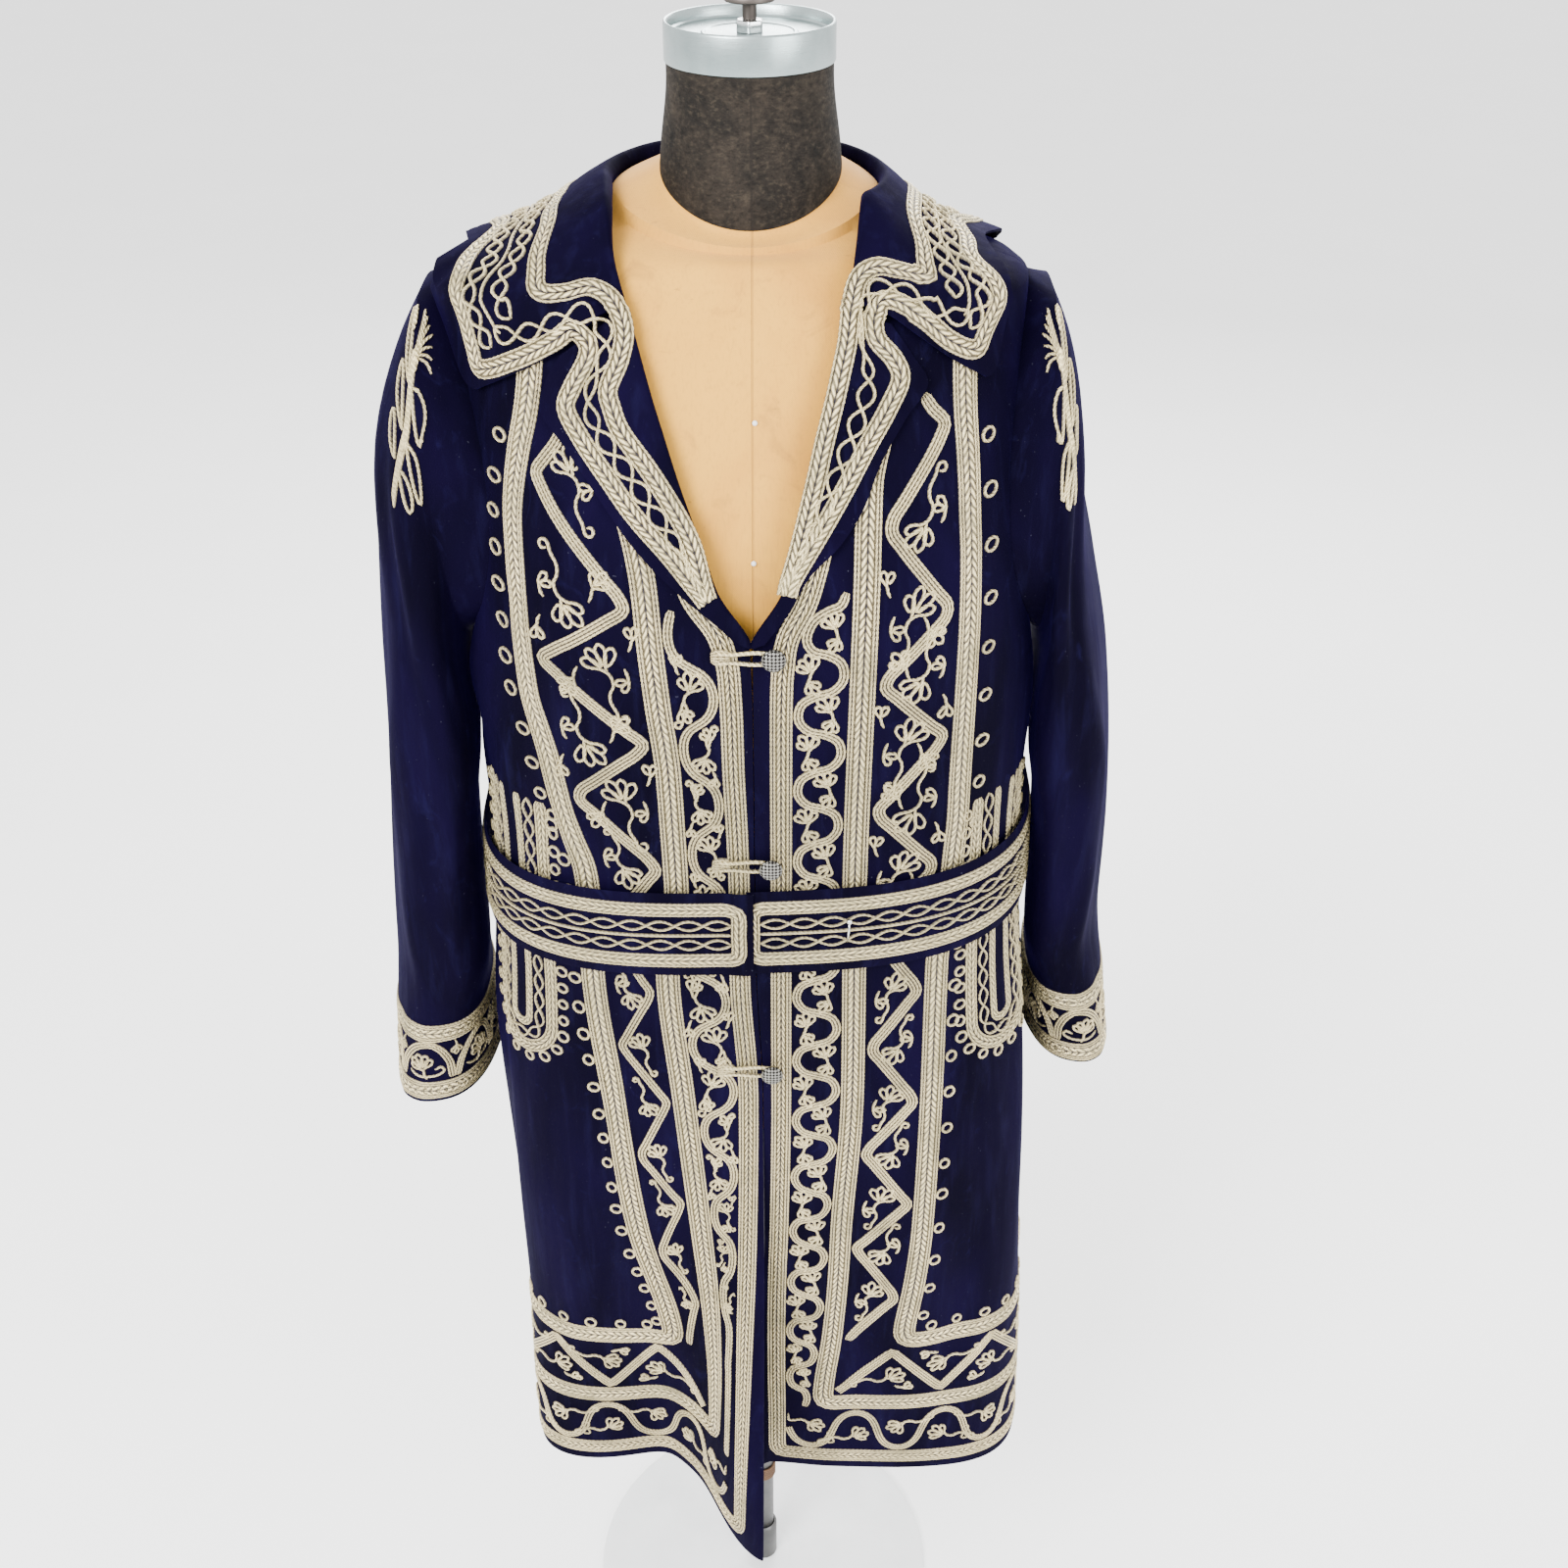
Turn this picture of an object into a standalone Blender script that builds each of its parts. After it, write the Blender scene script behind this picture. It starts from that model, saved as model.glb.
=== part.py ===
"""An embroidered velvet coat on a limbless dress form with its stand.

Metres, +Z up. The origin is on the floor under the middle of the stand. The coat's front
faces -Y and the wearer's right side is at -X. The coat is hollow: every panel is a wall of
lined velvet, and couched braid stands proud of the wall's outer face.
"""

import math

import bmesh
import bpy
import numpy as np

# Cloth and its seams, and the columns of its panels
CLOTH = 0.0016
SEAM = 0.0003
BRAID_RISE = 0.0010
BRAID_STEP = 0.0026
BRAID_WIDTHS = (0.0150, 0.0175, 0.0185)
BACK_COLUMNS = 8
SIDE_COLUMNS = 5

# Heights of the coat's main levels
HEM_Z = 0.322
UNDERARM_Z = 1.100
SHOULDER_Z = 1.345
NECK_Z = 1.396
LAPEL_Z = 1.300

# Turns from the front centre to the side seam and to the middle of the back
SIDE = math.radians(90)
HALF_TURN = math.radians(180)

# Braid borders round the hem, low and high edge, from the lowest up
HEM_BRAIDS = ((0.330, 0.347), (0.399, 0.420), (0.477, 0.499))
BRAID_TOPS = {-1: (1.125, 1.235, 1.300), 1: (1.140, 1.262, 1.300)}
SKIRT_ROWS = (0.57, 0.66, 0.75, 0.84, 0.92, 1.00, 1.055)
SHOULDER_ROWS = (1.358, 1.371, 1.384, NECK_Z)

# Sections of the coat's body: half widths to the wearer's right and left, depth before and
# behind the form's axis, and how square the section is (2 is an ellipse)
BODY_COLUMNS = ("height", "right", "left", "front", "back", "square")
BODY_ROWS = (
    (0.322, 0.192, 0.232, 0.136, 0.150, 4.8),
    (0.450, 0.195, 0.227, 0.140, 0.154, 4.6),
    (0.600, 0.201, 0.219, 0.147, 0.156, 4.2),
    (0.760, 0.204, 0.212, 0.152, 0.150, 3.4),
    (0.870, 0.200, 0.202, 0.1535, 0.135, 3.0),
    (0.922, 0.198, 0.198, 0.153, 0.125, 3.0),
    (0.980, 0.197, 0.197, 0.155, 0.124, 2.9),
    (1.060, 0.194, 0.194, 0.160, 0.128, 2.8),
    (1.140, 0.190, 0.190, 0.164, 0.134, 2.7),
    (1.200, 0.189, 0.185, 0.158, 0.136, 2.6),
    (1.260, 0.192, 0.182, 0.142, 0.132, 2.5),
    (1.310, 0.197, 0.180, 0.122, 0.120, 2.4),
    (SHOULDER_Z, 0.200, 0.179, 0.106, 0.106, 2.3),
    (1.360, 0.170, 0.148, 0.098, 0.099, 2.2),
    (1.375, 0.138, 0.119, 0.090, 0.092, 2.1),
    (1.390, 0.106, 0.093, 0.080, 0.080, 2.05),
    (NECK_Z, 0.092, 0.084, 0.076, 0.075, 2.0),
)

# Largest folds of the body: where each is strongest, how far it reaches and how far it
# stands out. The lean is the turn that it gains for each metre up
FOLD_COLUMNS = ("turn", "turn_reach", "height", "height_reach", "lean", "out")
FOLD_ROWS = (
    (-60, 11, 0.322, 0.150, -20, 0.012),
    (-36, 10, 0.322, 0.170, 20, -0.016),
    (24, 14, 0.322, 0.200, 0, 0.003),
    (100, 9, 0.322, 0.300, 12, -0.010),
    (122, 10, 0.322, 0.360, 8, 0.011),
    (150, 11, 0.322, 0.320, -6, -0.010),
    (183, 12, 0.322, 0.380, 4, 0.012),
    (212, 10, 0.322, 0.300, 10, -0.009),
    (236, 9, 0.322, 0.340, -10, 0.010),
    (258, 8, 0.322, 0.260, 0, -0.008),
    (-72, 9, 1.085, 0.045, 60, 0.010),
    (74, 9, 1.070, 0.060, -50, 0.006),
    (160, 26, 1.030, 0.050, 30, 0.006),
    (205, 20, 1.010, 0.040, -60, 0.005),
)

# The right front swings forward towards its hem corner
FLARE_OUT = 0.100
FLARE_TURN = math.radians(4)
FLARE_REACH = math.radians(17)
FLARE_HEIGHT = 0.200

# How far the hem hangs above its level, by turn, and how far up that is felt
HANG_COLUMNS = ("turn", "lift")
HANG_ROWS = (
    (-180, 0.0),
    (0, 0.0),
    (4, 0.005),
    (24, 0.002),
    (44, -0.005),
    (68, -0.011),
    (90, -0.008),
    (120, 0.0),
    (180, 0.0),
)
HANG_REACH = 0.100

# How far each front's edge and its three braids lie from the centre plane, towards the
# wearer's right or left. Above the fastening the edge is the line where the lapel rolls
FRONT_COLUMNS = ("height", "edge", "braid_1", "braid_2", "braid_3")
RIGHT_FRONT_ROWS = (
    (0.322, -0.002, 0.0100, 0.0290, 0.0620),
    (0.450, -0.003, 0.0090, 0.0300, 0.0660),
    (0.520, -0.004, 0.0085, 0.0340, 0.0740),
    (0.625, -0.005, 0.0070, 0.0435, 0.0950),
    (0.770, -0.005, 0.0055, 0.0545, 0.1080),
    (0.880, -0.001, 0.0105, 0.0620, 0.1165),
    (0.955, -0.0005, 0.0100, 0.0535, 0.1160),
    (1.010, -0.0005, 0.0110, 0.0545, 0.1300),
    (1.060, -0.0005, 0.0125, 0.0560, 0.1385),
    (1.100, -0.0005, 0.0130, 0.0600, 0.1480),
    (1.148, 0.0006, 0.0160, 0.0640, 0.1510),
    (1.190, 0.0235, 0.0390, 0.0670, 0.1520),
    (1.214, 0.0310, 0.0455, 0.0705, 0.1520),
    (1.250, 0.0445, 0.0580, 0.0800, 0.1480),
    (1.284, 0.0560, 0.0680, 0.0900, 0.1400),
    (LAPEL_Z, 0.0615, 0.0730, 0.0940, 0.1370),
    (1.326, 0.0696, 0.0800, 0.1000, 0.1350),
    (1.353, 0.0780, 0.0900, 0.1050, 0.1350),
    (1.376, 0.0865, 0.0900, 0.1050, 0.1350),
    (1.390, 0.0885, 0.0900, 0.1050, 0.1350),
    (NECK_Z, 0.0905, 0.0910, 0.1050, 0.1350),
)
LEFT_FRONT_ROWS = (
    (0.322, 0.0026, 0.0150, 0.0420, 0.1050),
    (0.392, 0.0036, 0.0150, 0.0505, 0.1120),
    (0.446, 0.0036, 0.0145, 0.0550, 0.1160),
    (0.493, 0.0042, 0.0145, 0.0600, 0.1190),
    (0.570, 0.0050, 0.0155, 0.0645, 0.1270),
    (0.625, 0.0056, 0.0170, 0.0660, 0.1300),
    (0.770, 0.0056, 0.0189, 0.0720, 0.1316),
    (0.880, 0.0016, 0.0189, 0.0710, 0.1310),
    (0.955, 0.0011, 0.0190, 0.0698, 0.1382),
    (1.010, 0.0011, 0.0190, 0.0700, 0.1400),
    (1.100, 0.0011, 0.0191, 0.0712, 0.1408),
    (1.148, 0.0012, 0.0210, 0.0720, 0.1410),
    (1.190, 0.0228, 0.0380, 0.0728, 0.1405),
    (1.214, 0.0288, 0.0430, 0.0730, 0.1390),
    (1.250, 0.0372, 0.0510, 0.0735, 0.1370),
    (1.284, 0.0462, 0.0600, 0.0800, 0.1340),
    (LAPEL_Z, 0.0512, 0.0650, 0.0850, 0.1330),
    (1.326, 0.0577, 0.0720, 0.0900, 0.1330),
    (1.353, 0.0627, 0.0780, 0.0950, 0.1330),
    (1.376, 0.0672, 0.0800, 0.0950, 0.1330),
    (1.390, 0.0700, 0.0820, 0.0950, 0.1330),
    (NECK_Z, 0.0712, 0.0830, 0.0950, 0.1330),
)

# Armholes: reach before and behind the side seam, and how much wider they are low down
ARMHOLE_FRONT = 0.085
ARMHOLE_BACK = 0.075
ARMHOLE_SKEW = 0.35
ARMHOLE_STEPS = 8

# Rings of the sleeves from the head down: the ends next to the body and away from it,
# the middle and half depth from front to back, and how far the front leans outward
SLEEVE_COLUMNS = (
    "step", "inner_x", "inner_z", "outer_x", "outer_z", "middle_y", "half_depth", "lean",
)
RIGHT_SLEEVE_ROWS = (
    (0, 0.1995, 1.095, 0.2140, 1.338, -0.003, 0.090, 0.0000),
    (1, 0.2015, 1.083, 0.2320, 1.304, -0.006, 0.092, -0.0020),
    (2, 0.2020, 1.070, 0.2480, 1.255, -0.010, 0.090, -0.0040),
    (3, 0.2020, 1.053, 0.2580, 1.195, -0.012, 0.088, -0.0090),
    (4, 0.2020, 1.033, 0.2640, 1.135, -0.014, 0.085, -0.0120),
    (5, 0.2035, 1.005, 0.2690, 1.065, -0.017, 0.082, -0.0130),
    (6, 0.2085, 0.960, 0.2730, 0.990, -0.019, 0.079, -0.0120),
    (7, 0.2105, 0.890, 0.2800, 0.900, -0.018, 0.075, -0.0110),
    (8, 0.2115, 0.830, 0.2850, 0.832, -0.016, 0.071, -0.0110),
    (9, 0.2150, 0.778, 0.2880, 0.778, -0.014, 0.067, -0.0020),
    (10, 0.2180, 0.690, 0.2915, 0.690, -0.010, 0.063, 0.0090),
)
LEFT_SLEEVE_ROWS = (
    (0, 0.1985, 1.095, 0.1960, 1.337, 0.000, 0.088, 0.0000),
    (1, 0.2010, 1.083, 0.2100, 1.303, -0.002, 0.089, -0.0020),
    (2, 0.2015, 1.070, 0.2190, 1.252, -0.004, 0.087, -0.0040),
    (3, 0.2015, 1.053, 0.2270, 1.195, -0.006, 0.085, -0.0070),
    (4, 0.2020, 1.033, 0.2400, 1.135, -0.007, 0.083, -0.0100),
    (5, 0.2035, 1.005, 0.2550, 1.065, -0.008, 0.081, -0.0130),
    (6, 0.2085, 0.965, 0.2640, 0.995, -0.006, 0.078, -0.0115),
    (7, 0.2110, 0.900, 0.2690, 0.910, -0.002, 0.074, -0.0110),
    (8, 0.2130, 0.840, 0.2710, 0.842, 0.003, 0.070, -0.0120),
    (9, 0.2165, 0.790, 0.2770, 0.790, 0.008, 0.066, -0.0030),
    (10, 0.2200, 0.712, 0.2840, 0.712, 0.012, 0.062, 0.0080),
)
CUFF_STEP = 9
CUFF_HEIGHT = 0.086
HEAD_CLEAR = 0.0001
HEAD_LIFT = 0.0008
CUFF_BRAIDS = ((0.05, 0.26), (0.74, 0.97))
SLEEVE_FLATTEN = 0.80

# Outer edges of the lapels, from the fastening up to the corner, then in to the notch
LAPEL_COLUMNS = ("along", "roll_height", "edge_x", "edge_height")
RIGHT_LAPEL_ROWS = (
    (0.00, 1.1530, 0.0085, 1.1560),
    (0.14, 1.1680, 0.0210, 1.1680),
    (0.26, 1.1900, 0.0400, 1.1840),
    (0.40, 1.2180, 0.0700, 1.2140),
    (0.54, 1.2460, 0.0910, 1.2410),
    (0.68, 1.2760, 0.1124, 1.2700),
    (0.80, 1.3010, 0.1280, 1.2910),
    (0.90, 1.3250, 0.1245, 1.3060),
    (1.00, 1.3490, 0.1150, 1.3215),
)
LEFT_LAPEL_ROWS = (
    (0.00, 1.1530, 0.0085, 1.1555),
    (0.16, 1.1800, 0.0250, 1.1780),
    (0.30, 1.2050, 0.0365, 1.1990),
    (0.42, 1.2290, 0.0560, 1.2190),
    (0.54, 1.2500, 0.0695, 1.2390),
    (0.68, 1.2780, 0.0800, 1.2650),
    (0.80, 1.3020, 0.0945, 1.2880),
    (0.88, 1.3200, 0.1080, 1.3065),
    (0.94, 1.3330, 0.0980, 1.3230),
    (1.00, 1.3470, 0.0850, 1.3405),
)
LAPEL_ACROSS = (0.0, 0.20, 0.35, 0.39, 0.49, 0.53, 0.78, 0.82, 0.92, 0.95, 1.0)
LAPEL_RAISED = (3, 4, 7, 8)
LAPEL_STEPS = 11
LAPEL_OUT = 0.0034

# The collar on each side: front end of each part across it, outer edge and height of its
# stand by turn
COLLAR_FRONT_COLUMNS = ("across", "turn", "height")
RIGHT_COLLAR_FRONT_ROWS = (
    (0.00, 40.0, 1.3510),
    (0.48, 48.9, 1.3240),
    (0.80, 58.5, 1.3040),
    (1.00, 65.0, 1.2920),
)
LEFT_COLLAR_FRONT_ROWS = (
    (0.00, 32.5, 1.3510),
    (0.42, 39.8, 1.3450),
    (0.64, 46.5, 1.3305),
    (0.84, 52.7, 1.3155),
    (1.00, 58.6, 1.3030),
)
COLLAR_EDGE_COLUMNS = ("turn", "height", "stand", "out")
RIGHT_COLLAR_EDGE_ROWS = (
    (38, 1.280, 0.0014, 0.0050),
    (50, 1.284, 0.0060, 0.0052),
    (65, 1.292, 0.0110, 0.0055),
    (76, 1.319, 0.0110, 0.0056),
    (84, 1.345, 0.0115, 0.0056),
    (90, 1.3555, 0.0120, 0.0054),
    (98, 1.352, 0.0125, 0.0053),
    (115, 1.336, 0.0135, 0.0054),
    (140, 1.312, 0.0150, 0.0054),
    (180, 1.300, 0.0150, 0.0052),
)
LEFT_COLLAR_EDGE_ROWS = (
    (32, 1.290, 0.0014, 0.0050),
    (45, 1.295, 0.0060, 0.0052),
    (58.6, 1.303, 0.0105, 0.0055),
    (64, 1.328, 0.0095, 0.0052),
    (72, 1.350, 0.0095, 0.0052),
    (90, 1.360, 0.0100, 0.0050),
    (100, 1.354, 0.0105, 0.0050),
    (115, 1.338, 0.0120, 0.0052),
    (140, 1.312, 0.0145, 0.0054),
    (180, 1.300, 0.0150, 0.0052),
)
COLLAR_STAND = ((0.02, 0.02), (0.34, 0.40), (0.26, 0.90), (-0.20, 0.95))
COLLAR_ACROSS = (0.12, 0.25, 0.39, 0.42, 0.50, 0.53, 0.67, 0.81, 0.84, 0.92, 0.95, 1.0)
COLLAR_RAISED = (3, 4, 8, 9)
COLLAR_ARCH = 0.0036
COLLAR_ARCH_REACH = 0.014
COLLAR_SEAM_HEIGHTS = (1.3512, 1.358, 1.3645, 1.371, 1.3775, 1.384, 1.390, NECK_Z)
COLLAR_BACK_COLUMNS = 15
COLLAR_SETTLE = 0.5
COLLAR_SETTLE_REACH = 0.45
COLLAR_END_REACH = 6.0
COLLAR_CENTRE = (0, 0, NECK_Z + 0.03)

# Belt
BELT_Z = 0.9230
BELT_HEIGHT = 0.072
BELT_THICK = 0.0022
BELT_RISE_LEFT = 0.040
BELT_OUT = 0.0060
BELT_ENDS = (0.4, 359.3)
BELT_STEPS = 38
BELT_ACROSS = (0.0, 0.10, 0.13, 0.27, 0.30, 0.70, 0.73, 0.87, 0.90, 1.0)
BELT_RAISED = (2, 3, 6, 7)

# Braid round the slit pockets: turn of the slit, half width of the U and its ribbon
POCKET_TURNS = (-57.8, 60.3)
POCKET_TOP = 1.012
POCKET_BOTTOM = 0.815
POCKET_RADIUS = 0.025
POCKET_RIBBON = 0.018
POCKET_THICK = 0.0010
POCKET_CLEAR = 0.0005
POCKET_BODY_RADIUS = 0.19
POCKET_SIDE_STEPS = 5
POCKET_BEND_STEPS = 8
POCKET_ACROSS = (-0.5, -0.18, 0.18, 0.5)

# Buttons and the cord loops that fasten them: where each is, and how far its shank's foot
# is above the wall's outer face
BUTTONS = ((0.0145, 1.1460, 0.0001), (0.0120, 0.9795, 0.0019), (0.0123, 0.7935, 0.0019))
BUTTON_RADIUS = 0.0080
LOOP_REACH = 0.036
LOOP_RADIUS = 0.0034
LOOP_CORD = 0.0011
LOOP_CLEAR = 0.0008

# Dress form
FORM_COLUMNS = ("height", "half_width", "front", "back")
FORM_ROWS = (
    (0.700, 0.158, 0.116, 0.124),
    (0.760, 0.172, 0.125, 0.130),
    (0.840, 0.166, 0.122, 0.120),
    (0.930, 0.138, 0.110, 0.096),
    (1.000, 0.146, 0.118, 0.100),
    (1.080, 0.162, 0.136, 0.110),
    (1.150, 0.170, 0.146, 0.118),
    (1.210, 0.173, 0.143, 0.121),
    (1.270, 0.174, 0.127, 0.118),
    (1.345, 0.173, 0.098, 0.098),
)
FORM_HEIGHTS = (0.70, 0.74, 0.83, 0.93, 1.00, 1.08, 1.15, 1.22, 1.30)
FORM_STEPS = 24
FORM_SQUARE = 2.35
FORM_CLEAR = 0.00035
FORM_EASE = 0.0060
FORM_EASE_REACH = math.radians(12)
FORM_TOP_ROWS = (1.403, 1.410)
FORM_RISE = (1.370, 0.040)
FORM_SHOULDER_POWER = 0.7
FORM_TOP_MIDDLE_Z = 1.400
NECK_BASE = (1.40625, 0.0175, 0.00375)
NECK_BASE_RADIUS = 0.0575
NECK_TOP_RADIUS = 0.0520
NECK_TOP_Z = 1.4740
NECK_SHARES = (0, 0.35, 0.7, 1)
NECK_TAPER = 1.3

# The cap on the form's neck, its nut and its bolt
CAP_RADIUS = 0.0532
CAP_TOP_Z = 1.4980
CAP_DEPTH = 0.0075
CAP_LIP = 0.0024
CAP_CHAMFER = 0.0006
NUT_RADIUS = 0.0092
NUT_HEIGHT = 0.0070
BOLT_STEPS = 16
BOLT_PROFILE = (
    (0.0, 0.0),
    (0.0045, 0.0),
    (0.0045, 0.0095),
    (0.0155, 0.0105),
    (0.0160, 0.0130),
    (0.0120, 0.0165),
    (0.0070, 0.0185),
    (0.0, 0.0190),
)

# Stand
POLE_RADIUS = 0.0105
POLE_FOOT_Z = 0.0163
POLE_STEPS = 12
FORM_FOOT_Z = 0.700
FOOT_RADIUS = 0.0135
FOOT_CLEAR = 0.0006
FOOT_TOP_Z = 0.060
FOOT_TOP_RISE = 0.003
BASE_RADIUS = 0.165
BASE_Z = 0.016
BASE_PROFILE = (
    (0.0, 0.0),
    (BASE_RADIUS, 0.0),
    (BASE_RADIUS, 0.0045),
    (BASE_RADIUS - 0.006, 0.0075),
    (0.035, 0.0130),
    (0.025, BASE_Z),
    (0.0, BASE_Z),
)


class Table:
    """Rows of named columns, read at any value of the first column along smooth curves."""

    def __init__(self, columns, rows):
        self.columns = columns
        self.rows = np.array(rows, float)

    def __call__(self, name, at):
        x = self.rows[:, 0]
        y = self.rows[:, self.columns.index(name)]
        step = np.diff(y) / np.diff(x)
        both = step[:-1] * step[1:]
        total = np.where(both > 0, step[:-1] + step[1:], 1.0)
        inner = np.where(both > 0, 2 * both / total, 0.0)
        slope = np.concatenate(([step[0]], inner, [step[-1]]))
        at = np.asarray(at, float)
        i = np.clip(np.searchsorted(x, at) - 1, 0, len(x) - 2)
        span = x[i + 1] - x[i]
        t = np.clip((at - x[i]) / span, 0, 1)
        start = (1 + 2 * t) * (1 - t) ** 2 * y[i] + t * (1 - t) ** 2 * span * slope[i]
        end = t * t * (3 - 2 * t) * y[i + 1] + t * t * (t - 1) * span * slope[i + 1]
        return start + end


BODY = Table(BODY_COLUMNS, BODY_ROWS)
FORM = Table(FORM_COLUMNS, FORM_ROWS)
HANG = Table(HANG_COLUMNS, HANG_ROWS)
FRONTS = {-1: Table(FRONT_COLUMNS, RIGHT_FRONT_ROWS), 1: Table(FRONT_COLUMNS, LEFT_FRONT_ROWS)}
SLEEVES = {
    -1: Table(SLEEVE_COLUMNS, RIGHT_SLEEVE_ROWS),
    1: Table(SLEEVE_COLUMNS, LEFT_SLEEVE_ROWS),
}
LAPELS = {-1: Table(LAPEL_COLUMNS, RIGHT_LAPEL_ROWS), 1: Table(LAPEL_COLUMNS, LEFT_LAPEL_ROWS)}
COLLAR_FRONTS = {
    -1: Table(COLLAR_FRONT_COLUMNS, RIGHT_COLLAR_FRONT_ROWS),
    1: Table(COLLAR_FRONT_COLUMNS, LEFT_COLLAR_FRONT_ROWS),
}
COLLAR_EDGES = {
    -1: Table(COLLAR_EDGE_COLUMNS, RIGHT_COLLAR_EDGE_ROWS),
    1: Table(COLLAR_EDGE_COLUMNS, LEFT_COLLAR_EDGE_ROWS),
}


def ease(t):
    """Smooth step from 0 to 1."""
    t = np.clip(t, 0, 1)
    return t * t * (3 - 2 * t)


def unit(vectors):
    return vectors / np.linalg.norm(vectors, axis=-1, keepdims=True)


# Surface of the coat's body


def folds(turn, z):
    """How far the folds carry the cloth out at a turn and height."""
    out = 0.0
    for at, reach, height, height_reach, lean, depth in FOLD_ROWS:
        middle = math.radians(at) + math.radians(lean) * (z - height)
        away = (turn - middle + HALF_TURN) % (2 * HALF_TURN) - HALF_TURN
        along = (away / math.radians(reach)) ** 2 + ((z - height) / height_reach) ** 2
        out = out + depth * np.exp(-along)
    return out


def body_sizes(turn, z):
    """Half width, depth and squareness of the section, on the side that a turn points to."""
    width = np.where(np.sin(turn) > 0, BODY("left", z), BODY("right", z))
    depth = np.where(np.cos(turn) > 0, BODY("front", z), BODY("back", z))
    return width, depth, BODY("square", z)


def body_middle(turn, z, flare=0.0):
    """Point of the body's cloth at a turn from the front centre, positive to the left."""
    turn = np.asarray(turn, float)
    z = np.asarray(z, float)
    width, depth, square = body_sizes(turn, z)
    across = (np.abs(np.sin(turn)) / width) ** square
    ahead = (np.abs(np.cos(turn)) / depth) ** square
    radius = (across + ahead) ** (-1 / square) + folds(turn, z)
    swing = ((turn - FLARE_TURN) / FLARE_REACH) ** 2 + ((z - HEM_Z) / FLARE_HEIGHT) ** 2
    radius = radius + flare * FLARE_OUT * np.exp(-swing)
    signed = np.degrees((turn + HALF_TURN) % (2 * HALF_TURN) - HALF_TURN)
    hang = HANG("lift", signed) * np.exp(-(((z - HEM_Z) / HANG_REACH) ** 2))
    return np.stack([radius * np.sin(turn), -radius * np.cos(turn), z + hang], -1)


def body_normal(turn, z, flare=0.0):
    """Outward direction of the body's cloth."""
    small = 1e-4
    lower = np.minimum(np.asarray(z, float), NECK_Z - small) - small
    upper = lower + 2 * small
    around = body_middle(turn + small, z, flare) - body_middle(turn - small, z, flare)
    along = body_middle(turn, upper, flare) - body_middle(turn, lower, flare)
    return unit(np.cross(around, along))


def body_point(turn, z, out=0.0, flare=0.0):
    out = np.asarray(out, float)[..., None]
    return body_middle(turn, z, flare) + body_normal(turn, z, flare) * out


def turn_at_x(x, z):
    """Turn of the front's point that lies a signed distance from the centre plane."""
    width, depth, square = body_sizes(np.where(np.asarray(x) >= 0, 0.5, -0.5), z)
    share = np.minimum(np.abs(x) / width, 0.9999)
    return np.arctan2(x, depth * (1 - share**square) ** (1 / square))


def turn_at_y(y, z):
    """Turn of the left side's point that lies a signed distance before or behind the axis."""
    width, depth, square = body_sizes(np.where(np.asarray(y) <= 0, 0.5, 2.5), z)
    share = np.minimum(np.abs(y) / depth, 0.9999)
    return np.arctan2(width * (1 - share**square) ** (1 / square), -y)


def armhole_turn(z, behind):
    """Turn of the armhole's front or back edge at a height, on the left side."""
    middle = (SHOULDER_Z + UNDERARM_Z) / 2
    lift = np.clip((z - middle) / (SHOULDER_Z - middle), -1, 1)
    reach = ARMHOLE_BACK if behind else -ARMHOLE_FRONT
    y = reach * np.sqrt(1 - lift**2) * (1 - ARMHOLE_SKEW * lift)
    return turn_at_y(y, z)


def armhole_heights():
    """Heights of the rows that pass an armhole, from the underarm up."""
    middle = (SHOULDER_Z + UNDERARM_Z) / 2
    half = (SHOULDER_Z - UNDERARM_Z) / 2
    steps = range(ARMHOLE_STEPS + 1)
    return [middle - half * math.cos(math.pi * k / ARMHOLE_STEPS) for k in steps]


def body_rows():
    """Heights of the body's rows from the hem up, with a pair at each edge of a hem braid."""
    heights = [HEM_Z]
    for low, high in HEM_BRAIDS:
        for edge in (low, high):
            heights += [edge - BRAID_STEP / 2, edge + BRAID_STEP / 2]
    return np.array(heights + list(SKIRT_ROWS) + armhole_heights() + list(SHOULDER_ROWS))


def seam_turn(z):
    """Half of a seam's gap as a turn at the side."""
    return SEAM / 2 / BODY("right", z)


def front_braid_columns(side, z):
    """Distances from the centre plane of a front's edge and its braids' edges, in order."""
    table = FRONTS[side]
    edge = table("edge", z)
    columns = [edge + 0 * z]
    last = edge
    for number, width in enumerate(BRAID_WIDTHS, 1):
        middle = table(f"braid_{number}", z)
        half = np.minimum(width / 2, 0.45 * (middle - last))
        slope = np.minimum(BRAID_STEP / 2, 0.3 * half)
        columns += [middle - half - slope, middle - half + slope]
        columns += [middle + half - slope, middle + half + slope]
        last = middle + half + slope
    return np.stack(columns, -1)


def front_turns(side, z, side_steps):
    """Turns of a front's columns at each height, from its edge to the side seam."""
    held = np.minimum(z, LAPEL_Z)
    limit = np.where((z > UNDERARM_Z) & (z < SHOULDER_Z), armhole_turn(z, False), SIDE)
    held_limit = np.where(held > UNDERARM_Z, armhole_turn(held, False), SIDE)
    limit = limit - np.where(np.abs(limit - SIDE) < 1e-3, seam_turn(z), 0)
    inner = side * turn_at_x(side * front_braid_columns(side, held), held[:, None])
    share = (inner - inner[:, :1]) / (held_limit - inner[:, 0])[:, None]
    edge = side * turn_at_x(side * FRONTS[side]("edge", z), z)
    outer = np.linspace(0, 1, side_steps + 1)[1:]
    share = np.concatenate([share, share[:, -1:] + (1 - share[:, -1:]) * outer], 1)
    return side * (edge[:, None] + share * (limit - edge)[:, None])


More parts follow.
